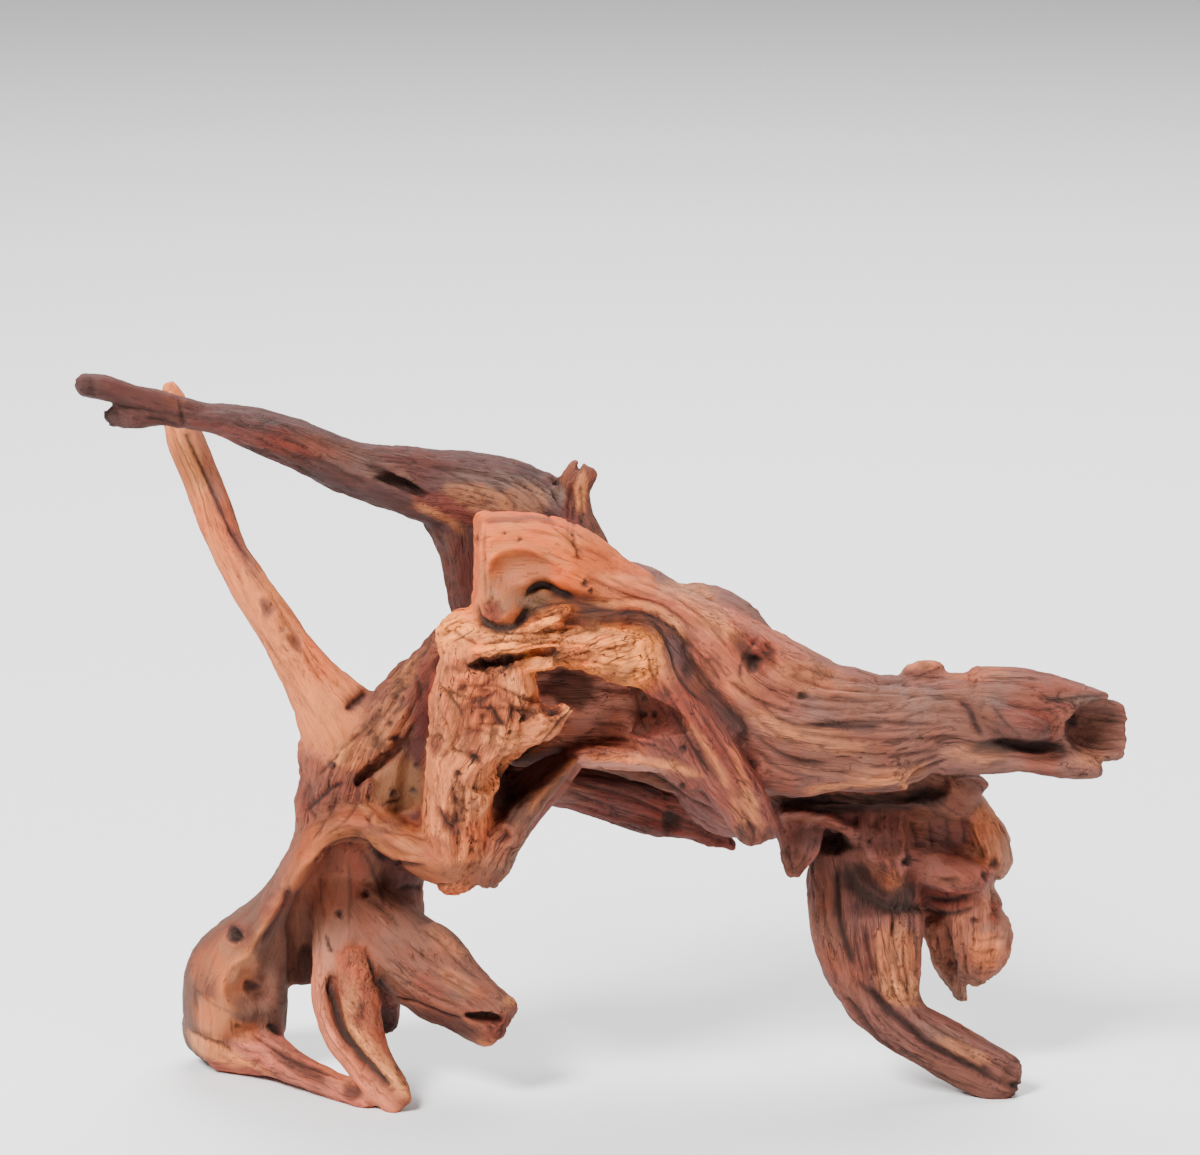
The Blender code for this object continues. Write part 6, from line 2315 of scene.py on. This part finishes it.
@dataclass
class Driftwood:
    """The whole piece of wood.

    Attributes:
        regions: Its sub-assemblies.
        carve: How finely it is made.
        weather: What is worked in all over.
        shade: How it is measured how closed in the wood is, for the painted shade in its hollows.
    """

    regions: tuple[Region, ...]
    carve: Carve = field(default_factory=Carve)
    weather: Weather = field(default_factory=Weather)
    shade: Shade = field(default_factory=Shade)

    def limbs(self) -> list[Limb]:
        """Lists every limb, region by region."""
        return [limb for region in self.regions for limb in region.made_of(Limb).values()]

    def hollows(self) -> list[Hollow]:
        """Lists every hollow, region by region."""
        return [gap for region in self.regions for gap in region.made_of(Hollow).values()]

    def lofted(self, name: str, lofts: Iterable[Loft], lobes: bool) -> bpy.types.Object:
        """Makes one object that holds a closed shape for each loft.

        Args:
            name: The object's name.
            lofts: The limbs or hollows.
            lobes: Whether their sections are lobed.

        Returns:
            The object, in the scene and in metres.
        """
        whole = bmesh.new()
        for number, loft in enumerate(lofts):
            power = loft.power if isinstance(loft, Limb) else 1.0
            axis = loft.axis(0.3 if lobes else 0.0)
            shape = loft.draw(axis, power, 1.7 * number if lobes else None)
            mesh = bpy.data.meshes.new(name)
            shape.to_mesh(mesh)
            shape.free()
            whole.from_mesh(mesh)
            bpy.data.meshes.remove(mesh)
        bmesh.ops.scale(whole, vec=(MM, MM, MM), verts=whole.verts)
        mesh = bpy.data.meshes.new(name)
        whole.to_mesh(mesh)
        whole.free()
        thing = bpy.data.objects.new(name, mesh)
        bpy.context.scene.collection.objects.link(thing)
        return thing

    @staticmethod
    def joined(thing: bpy.types.Object, voxel: float) -> None:
        """Adds a step that turns all that overlaps into one skin of even squares."""
        step = thing.modifiers.new("Join", "REMESH")
        step.mode = "VOXEL"
        step.voxel_size = voxel * MM

    @staticmethod
    def smoothed(thing: bpy.types.Object, rounds: int) -> None:
        """Adds a step that smooths the skin."""
        step = thing.modifiers.new("Smooth", "SMOOTH")
        step.factor = 0.5
        step.iterations = rounds

    @staticmethod
    def applied(thing: bpy.types.Object) -> None:
        """Replaces an object's mesh with what its modifiers make of it."""
        graph = bpy.context.evaluated_depsgraph_get()
        mesh = bpy.data.meshes.new_from_object(thing.evaluated_get(graph))
        old = thing.data
        thing.modifiers.clear()
        thing.data = mesh
        bpy.data.meshes.remove(old)

    def rough_out(self) -> bpy.types.Object:
        """Joins the limbs, cuts the hollows out and gives the wood its finest even skin.

        Returns:
            The wood before it is worked.
        """
        wood = self.lofted("driftwood_skin", self.limbs(), True)
        self.joined(wood, self.carve.join)
        self.applied(wood)
        gaps = self.lofted("hollows", self.hollows(), False)
        self.joined(gaps, self.carve.join * 1.2)
        self.applied(gaps)
        cut = wood.modifiers.new("Hollow", "BOOLEAN")
        cut.operation = "DIFFERENCE"
        cut.solver = "EXACT"
        cut.object = gaps
        self.joined(wood, self.carve.skin)
        self.smoothed(wood, self.carve.smoothing)
        self.applied(wood)
        bpy.data.objects.remove(gaps)
        LOG.info("roughed out: %d faces", len(wood.data.polygons))
        return wood

    def worked(self, wood: bpy.types.Object) -> tuple[Skin, GrainField]:
        """Works every mark and the weather into the wood's mesh.

        Args:
            wood: The wood, roughed out.

        Returns:
            The worked surface and its grain.
        """
        skin = Skin(wood.data)
        anchors = Anchors(skin, wood.data)
        grain = GrainField(self.limbs(), skin.points)
        carve = self.carve
        skin.tint = skin.blurred(grain.tint(), carve.blend)
        # Painted shade: the colour is darkened where the wood faces down.
        skin.tint *= 1 - carve.underside_shade * np.clip(-skin.blurred(skin.normals, 12)[:, 2:], 0, 1)
        for region in self.regions:
            for mark in region.marks:
                mark.work(skin, anchors)
        self.weather.work(skin, grain)
        # How closed in each vertex is, which the material paints as shade and stain in the hollows.
        skin.closed = self.shade.measure(skin, anchors.tree)
        ways = unit(skin.blurred(skin.normals, 4))
        moved = skin.points + ways * skin.push[:, None]
        moved = moved * (1 - carve.polish) + skin.blurred(moved, 1) * carve.polish
        skin.crest = ((moved - skin.blurred(moved, carve.broad)) * ways).sum(1)
        skin.points = moved
        wood.data.vertices.foreach_set("co", (moved * MM).astype(np.float32).ravel())
        wood.data.update()
        LOG.info("worked %d marks", sum(len(region.marks) for region in self.regions))
        return skin, grain

    def thinned(self, wood: bpy.types.Object) -> None:
        """Leaves fewer triangles where the wood is plain, and cuts the worn flats.

        Args:
            wood: The worked wood.
        """
        faces = len(wood.data.polygons) * 2
        thin = wood.modifiers.new("Thin", "DECIMATE")
        thin.ratio = min(1.0, self.carve.triangles / faces)
        thin.use_collapse_triangulate = True
        self.applied(wood)
        floor = (self.carve.worn_flat + VIEW.shift[2]) * MM
        bm = bmesh.new()
        bm.from_mesh(wood.data)
        cut = bmesh.ops.bisect_plane(
            bm,
            geom=[*bm.verts, *bm.edges, *bm.faces],
            plane_co=(0, 0, floor),
            plane_no=(0, 0, -1),
            clear_outer=True,
        )
        rims = [e for e in cut["geom_cut"] if isinstance(e, bmesh.types.BMEdge)]
        bmesh.ops.holes_fill(bm, edges=rims, sides=0)
        bmesh.ops.triangulate(bm, faces=bm.faces)
        bmesh.ops.recalc_face_normals(bm, faces=bm.faces)
        bm.to_mesh(wood.data)
        bm.free()

    def dressed(self, wood: bpy.types.Object, skin: Skin, grain: GrainField) -> None:
        """Writes what the material reads onto the finished mesh.

        Args:
            wood: The thinned wood.
            skin: The worked surface before it was thinned.
            grain: Its grain.
        """
        near = nearest(skin.points, (v.co / MM for v in wood.data.vertices))
        shares, places = grain.packed(WeatheredWood.channels)
        strength = skin.blurred(grain.blend("fibre"), 4)
        told = {f"grain_{channel}": rows for channel, rows in enumerate(places)}
        told["share_low"], told["share_high"] = shares[:3].T, shares[3:6].T
        told["tint"] = skin.tint
        told["state"] = np.column_stack((skin.crack, skin.closed, np.clip(skin.crest, -2, 2)))
        told["kind"] = np.column_stack((skin.torn, skin.smooth, strength))
        for name, rows in told.items():
            layer = wood.data.attributes.new(name, "FLOAT_VECTOR", "POINT")
            layer.data.foreach_set("vector", rows[near].astype(np.float32).ravel())

    def build(self) -> bpy.types.Object:
        """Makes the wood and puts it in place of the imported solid.

        Returns:
            The finished piece.
        """
        wood = self.rough_out()
        skin, grain = self.worked(wood)
        self.thinned(wood)
        self.dressed(wood, skin, grain)
        wood.data.shade_smooth()
        wood.data.materials.append(WeatheredWood().material())
        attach(wood, "root")
        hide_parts("driftwood")
        LOG.info("driftwood: %d triangles", len(wood.data.polygons))
        return wood


class Nodes:
    """Lays out shader nodes in one tree."""

    def __init__(self, tree: bpy.types.NodeTree) -> None:
        """Keeps the tree.

        Args:
            tree: A material's or a group's tree.
        """
        self.tree = tree

    def add(self, kind: str, **given: object) -> bpy.types.Node:
        """Adds a node and sets its properties and sockets.

        Args:
            kind: The node's type.
            **given: Properties by name, and sockets by name with spaces as underscores. A socket
                as the value is linked.

        Returns:
            The node.
        """
        node = self.tree.nodes.new(kind)
        for name, value in given.items():
            if hasattr(node, name):
                setattr(node, name, value)
            else:
                self.put(node.inputs[name.replace("_", " ")], value)
        return node

    def put(self, socket: bpy.types.NodeSocket, value: object) -> None:
        """Links a socket to another one, or sets its value."""
        if isinstance(value, bpy.types.NodeSocket):
            self.tree.links.new(value, socket)
        else:
            socket.default_value = value

    def sum(self, operation: str, *values: object, clamp: bool = False) -> bpy.types.NodeSocket:
        """Works out a number.

        Args:
            operation: The Math node's operation.
            *values: Numbers or sockets.
            clamp: Whether the outcome is kept between 0 and 1.

        Returns:
            The outcome's socket.
        """
        node = self.add("ShaderNodeMath", operation=operation, use_clamp=clamp)
        for socket, value in zip(node.inputs, values):
            self.put(socket, value)
        return node.outputs[0]

    def ramp(self, value: object, low: float, high: float) -> bpy.types.NodeSocket:
        """Turns a number into 0 below low, 1 above high and a smooth rise between them."""
        rise = {"Value": value, "From_Min": low, "From_Max": high}
        return self.add("ShaderNodeMapRange", interpolation_type="SMOOTHSTEP", **rise).outputs[0]

    def mix(self, share: object, under: object, over: object, way: str = "MIX") -> bpy.types.NodeSocket:
        """Mixes two colours.

        Args:
            share: How much of the second one.
            under: The first colour, as a socket or linear numbers.
            over: The second colour.
            way: How they are blended.

        Returns:
            The colour's socket.
        """
        node = self.add("ShaderNodeMix", data_type="RGBA", blend_type=way)
        for number, value in zip((0, 6, 7), (share, under, over)):
            self.put(node.inputs[number], (*value, 1.0) if isinstance(value, tuple) else value)
        return node.outputs[2]

    def times(self, *values: object) -> bpy.types.NodeSocket:
        """Multiplies two numbers."""
        return self.sum("MULTIPLY", *values)

    def tinted(self, colour: object, tone: Triple) -> bpy.types.NodeSocket:
        """Multiplies a colour by a tone."""
        return self.mix(1.0, colour, tone, "MULTIPLY")

    def scaled(self, vector: object, scale: Triple) -> bpy.types.NodeSocket:
        """Stretches a vector."""
        node = self.add("ShaderNodeVectorMath", operation="MULTIPLY")
        self.put(node.inputs[0], vector)
        self.put(node.inputs[1], scale)
        return node.outputs[0]

    def noise(self, vector: object, scale: float, detail: float, rough: float) -> bpy.types.NodeSocket:
        """Adds a noise pattern and gives its value."""
        given = {"Scale": scale, "Detail": detail, "Roughness": rough}
        return self.add("ShaderNodeTexNoise", Vector=vector, **given).outputs[0]

    def parts(self, name: str) -> Sequence[bpy.types.NodeSocket]:
        """Reads one of the wood's attributes and gives its three numbers."""
        read = self.add("ShaderNodeAttribute", attribute_name=name).outputs["Vector"]
        return self.add("ShaderNodeSeparateXYZ", Vector=read).outputs


@dataclass(frozen=True)
class Signs:
    """The sockets that tell what the wood is like at a spot.

    Attributes:
        fibre: The fine fibres of the grain.
        streak: Its broad streaks.
        check: Its narrow cracks.
        fleck: Its dark flecks.
        crack: How deep in a crack the spot is.
        closed: How closed in it is, which darkens the colour with painted shade and a dark stain.
        crest: How far it stands out.
        torn: How torn it is.
        smooth: How smooth it is worn.
        shown: How strongly the grain shows.
    """

    fibre: bpy.types.NodeSocket
    streak: bpy.types.NodeSocket
    check: bpy.types.NodeSocket
    fleck: bpy.types.NodeSocket
    crack: bpy.types.NodeSocket
    closed: bpy.types.NodeSocket
    crest: bpy.types.NodeSocket
    torn: bpy.types.NodeSocket
    smooth: bpy.types.NodeSocket
    shown: bpy.types.NodeSocket


@dataclass(frozen=True)
class WeatheredWood:
    """The wood's material: grain that follows each limb, dark checks, worn edges with painted highlight,
    stains, and painted shade in dips and hollows.

    Attributes:
        warm: What broad redder stretches multiply the wood's colour by.
        grey: What bleached stretches multiply it by.
        dark: What the streaks multiply it by.
        light: What the raised fibres multiply it by.
        worn: What edges that stand out multiply it by: edge wear and painted highlight.
        sunk: What dips multiply it by: dirt in the dips and painted shade.
        deep: What hollows multiply it by: painted shade, with a dark stain.
        spot: What the flecks multiply it by.
        check: The colour at the bottom of a crack, linear.
        gloss: The roughness between the fibres and on them.
        relief: How deep the fine relief is, in metres.
    """

    channels = 6
    warm: Triple = (1.06, 0.76, 0.64)
    grey: Triple = (0.72, 0.82, 0.90)
    dark: Triple = (0.46, 0.36, 0.33)
    light: Triple = (1.34, 1.32, 1.26)
    worn: Triple = (1.30, 1.24, 1.16)
    sunk: Triple = (0.55, 0.42, 0.38)
    deep: Triple = (0.42, 0.28, 0.25)
    spot: Triple = (0.34, 0.20, 0.18)
    check: Triple = (0.030, 0.014, 0.010)
    gloss: tuple[float, float] = (0.60, 0.80)
    relief: float = 0.001

    @staticmethod
    def grain_group() -> bpy.types.NodeTree:
        """Builds the group that draws fibres, streaks and checks along one grain.

        Returns:
            The group: its input is a place across, through and along the grain in millimetres.
        """
        tree = bpy.data.node_groups.new("wood_grain", "ShaderNodeTree")
        tree.interface.new_socket("Place", in_out="INPUT", socket_type="NodeSocketVector")
        for name in ("Fibre", "Streak", "Check", "Fleck"):
            tree.interface.new_socket(name, in_out="OUTPUT", socket_type="NodeSocketFloat")
        nodes = Nodes(tree)
        place = nodes.add("NodeGroupInput").outputs[0]
        out = nodes.add("NodeGroupOutput")
        slow = nodes.scaled(place, (0.05, 0.05, 0.02))
        bend = nodes.add("ShaderNodeTexNoise", Vector=slow, Scale=1.0, Detail=1.0)
        moved = nodes.add("ShaderNodeVectorMath", operation="MULTIPLY_ADD")
        for socket, value in zip(moved.inputs, (bend.outputs["Color"], (9.0, 9.0, 0.0), place)):
            nodes.put(socket, value)
        bent = moved.outputs[0]
        fibre = nodes.noise(nodes.scaled(bent, (1.0, 1.0, 0.032)), 1.7, 3.0, 0.66)
        streak = nodes.noise(nodes.scaled(bent, (1.0, 1.0, 0.030)), 0.36, 3.0, 0.62)
        crack = nodes.noise(nodes.scaled(bent, (1.0, 1.0, 0.045)), 0.30, 2.0, 0.55)
        broken = nodes.noise(nodes.scaled(place, (1.0, 1.0, 0.30)), 0.16, 1.0, 0.5)
        dot = nodes.noise(nodes.scaled(bent, (1.0, 1.0, 0.17)), 0.62, 1.0, 0.5)
        away = nodes.sum("ABSOLUTE", nodes.sum("SUBTRACT", crack, 0.5))
        line = nodes.sum("SUBTRACT", 1.0, nodes.ramp(away, 0.003, 0.016))
        check = nodes.times(line, nodes.ramp(broken, 0.44, 0.58))
        fleck = nodes.ramp(dot, 0.68, 0.73)
        for socket, value in zip(out.inputs, (fibre, streak, check, fleck)):
            nodes.put(socket, value)
        return tree

    def grain(self, nodes: Nodes) -> list[bpy.types.NodeSocket]:
        """Adds up the grain of every channel by its share.

        Args:
            nodes: The material's nodes.

        Returns:
            The sockets for fibres, streaks, checks and flecks.
        """
        group = self.grain_group()
        shares = [*nodes.parts("share_low"), *nodes.parts("share_high")]
        totals: list[object] = [0.0, 0.0, 0.0, 0.0]
        for channel in range(self.channels):
            place = nodes.add("ShaderNodeAttribute", attribute_name=f"grain_{channel}")
            drawn = nodes.add("ShaderNodeGroup", node_tree=group, Place=place.outputs["Vector"])
            for k, total in enumerate(totals):
                totals[k] = nodes.sum("MULTIPLY_ADD", drawn.outputs[k], shares[channel], total)
        return totals

    def signs(self, nodes: Nodes) -> Signs:
        """Reads what the wood is like.

        Args:
            nodes: The material's nodes.

        Returns:
            The sockets that tell it.
        """
        fibre, streak, check, fleck = self.grain(nodes)
        torn, smooth, strength = nodes.parts("kind")
        shown = nodes.times(strength, nodes.sum("SUBTRACT", 1.0, nodes.times(smooth, 0.7)))
        check = nodes.sum("MULTIPLY", check, shown, clamp=True)
        return Signs(fibre, streak, check, fleck, *nodes.parts("state"), torn, smooth, shown)

    def colour(self, nodes: Nodes, place: bpy.types.NodeSocket, signs: Signs) -> bpy.types.NodeSocket:
        """Lays the tones over the wood's own colour.

        Args:
            nodes: The material's nodes.
            place: The place on the wood.
            signs: What the wood is like.

        Returns:
            The colour's socket.
        """
        tint = nodes.add("ShaderNodeAttribute", attribute_name="tint").outputs["Color"]
        broad = nodes.ramp(nodes.noise(place, 32.0, 3.0, 0.55), 0.42, 0.66)
        patchy = nodes.times(nodes.ramp(nodes.noise(place, 75.0, 4.0, 0.6), 0.50, 0.70), 0.65)
        colour = nodes.mix(broad, tint, nodes.tinted(tint, self.warm))
        colour = nodes.mix(patchy, colour, nodes.tinted(tint, self.grey))
        darker = nodes.tinted(colour, self.dark)
        lighter = nodes.tinted(colour, self.light)
        between = nodes.sum("SUBTRACT", 1.0, signs.fibre)
        for drawn, low, high, most, tone in (
            (signs.streak, 0.50, 0.72, 1.1, darker),
            (signs.fibre, 0.50, 0.70, 0.9, lighter),
            (between, 0.52, 0.70, 0.6, darker),
        ):
            share = nodes.times(nodes.ramp(drawn, low, high), nodes.times(signs.shown, most))
            colour = nodes.mix(share, colour, tone)
        # Edges that stand out are lightened (wear and painted highlight), dips darkened (dirt and painted
        # shade).
        dip = nodes.times(signs.crest, -1.0)
        for share, most, tone in (
            (nodes.ramp(signs.crest, 0.08, 1.0), 0.6, self.worn),
            (nodes.ramp(dip, 0.08, 1.1), 0.75, self.sunk),
            # Hollows: painted shade, with a dark stain.
            (nodes.ramp(signs.closed, 0.24, 0.78), 0.85, self.deep),
            (signs.fleck, 0.35, self.spot),
        ):
            colour = nodes.mix(nodes.times(share, most), colour, nodes.tinted(colour, tone))
        return nodes.mix(signs.crack, nodes.mix(signs.check, colour, self.check), self.check)

    def height(self, nodes: Nodes, place: bpy.types.NodeSocket, signs: Signs) -> bpy.types.NodeSocket:
        """Adds up the fine relief that is too small for the mesh.

        Args:
            nodes: The material's nodes.
            place: The place on the wood.
            signs: What the wood is like.

        Returns:
            The height's socket.
        """
        raised = nodes.sum("MULTIPLY_ADD", signs.fibre, 1.5, nodes.times(signs.streak, 1.3))
        height = nodes.sum("MULTIPLY_ADD", signs.check, -0.8, nodes.times(raised, signs.shown))
        height = nodes.sum("MULTIPLY_ADD", signs.fleck, -0.3, height)
        rough = nodes.sum("MULTIPLY_ADD", signs.torn, 0.8, 0.22)
        return nodes.sum("MULTIPLY_ADD", nodes.noise(place, 900.0, 3.0, 0.65), rough, height)

    def material(self) -> bpy.types.Material:
        """Builds the material.

        Returns:
            The material, which reads the wood's own attributes.
        """
        material = bpy.data.materials.new("weathered_wood")
        material.use_nodes = True
        nodes = Nodes(material.node_tree)
        shader = material.node_tree.nodes["Principled BSDF"]
        signs = self.signs(nodes)
        place = nodes.add("ShaderNodeTexCoord").outputs["Object"]
        sheen = nodes.add("ShaderNodeMapRange", Value=signs.fibre, From_Min=0.3, From_Max=0.7)
        for socket, value in zip((sheen.inputs["To Min"], sheen.inputs["To Max"]), self.gloss):
            nodes.put(socket, value)
        bump = nodes.add(
            "ShaderNodeBump", Height=self.height(nodes, place, signs), Strength=1.0,
            Distance=self.relief,
        )
        for name, value in (
            ("Base Color", self.colour(nodes, place, signs)),
            ("Roughness", nodes.sum("MULTIPLY_ADD", signs.smooth, -0.14, sheen.outputs[0])),
            ("Normal", bump.outputs[0]),
            ("Specular IOR Level", 0.22),
        ):
            nodes.put(shader.inputs[name], value)
        return material


@dataclass(frozen=True)
class Lamp:
    """A soft square lamp.

    Attributes:
        name: What it does.
        place: Where it hangs, in metres.
        size: How wide it is, in metres.
        power: Its power in watts.
        colour: Its colour.
        aim: What it shines at.
    """

    name: str
    place: Triple
    size: float
    power: float
    colour: Triple = (1.0, 1.0, 1.0)
    aim: Triple = (0.0, 0.0, 0.15)

    def hang(self) -> None:
        """Hangs the lamp so that it shines at the wood."""
        light = bpy.data.lights.new(self.name, "AREA")
        light.size = self.size
        light.energy = self.power
        light.color = self.colour
        lamp = bpy.data.objects.new(self.name, light)
        lamp.location = self.place
        beam = Vector(self.aim) - Vector(self.place)
        lamp.rotation_euler = beam.to_track_quat("-Z", "Y").to_euler()
        bpy.context.scene.collection.objects.link(lamp)


@dataclass(frozen=True)
class Studio:
    """The pale floor, the soft light and the camera.

    Attributes:
        floor: How wide the floor is, in metres.
        lens: The camera's focal length, in millimetres.
        sensor: How wide the camera's sensor is, in millimetres.
        sky: How bright the air is.
        lamps: The lamps.
    """

    floor: float = 30.0
    lens: float = 180.0
    sensor: float = 36.0
    sky: float = 0.36
    lamps: tuple[Lamp, ...] = (
        Lamp("key", (-1.2, -1.5, 1.9), 0.75, 160.0),
        Lamp("fill", (1.6, -1.6, 0.9), 1.4, 20.0),
        Lamp("top", (0.3, 1.5, 2.6), 2.4, 170.0),
    )

    def lay_floor(self) -> bpy.types.Object:
        """Lays the floor.

        Returns:
            The floor, which is not part of the wood.
        """
        bm = bmesh.new()
        bmesh.ops.create_grid(bm, x_segments=1, y_segments=1, size=self.floor / 2)
        mesh = bpy.data.meshes.new("floor")
        bm.to_mesh(mesh)
        bm.free()
        floor = bpy.data.objects.new("floor", mesh)
        bpy.context.scene.collection.objects.link(floor)
        material = bpy.data.materials.new("pale_floor")
        material.use_nodes = True
        shader = material.node_tree.nodes["Principled BSDF"]
        pale = (0.86, 0.86, 0.86, 1.0)
        for name, value in (("Base Color", pale), ("Roughness", 0.9), ("Specular IOR Level", 0.1)):
            shader.inputs[name].default_value = value
        mesh.materials.append(material)
        return floor

    def light(self) -> None:
        """Hangs the lamps and brightens the air."""
        world = bpy.data.worlds.new("studio_air")
        world.use_nodes = True
        air = world.node_tree.nodes["Background"]
        air.inputs["Color"].default_value = (1.0, 1.0, 1.0, 1.0)
        air.inputs["Strength"].default_value = self.sky
        bpy.context.scene.world = world
        for lamp in self.lamps:
            lamp.hang()

    def set_camera(self) -> None:
        """Places the camera at the eye of the front view, with the picture's own width."""
        camera = bpy.data.cameras.new("front_view")
        camera.lens = self.lens
        camera.sensor_width = self.sensor
        eye = bpy.data.objects.new("front_view", camera)
        eye.location = Vector(VIEW.eye) * MM
        eye.rotation_euler = Vector(VIEW.ahead).to_track_quat("-Z", "Y").to_euler()
        bpy.context.scene.collection.objects.link(eye)
        bpy.context.scene.camera = eye

    def build(self) -> None:
        """Sets the studio up."""
        self.lay_floor()
        self.light()
        self.set_camera()


def main() -> None:
    """Builds the wood and the studio."""
    logging.basicConfig(level=logging.INFO, format="%(name)s: %(message)s")
    Studio().build()
    wood = Driftwood(tuple(region() for region in REGIONS)).build()
    LOG.info("built %s", wood.name)


if __name__ == "__main__":
    main()
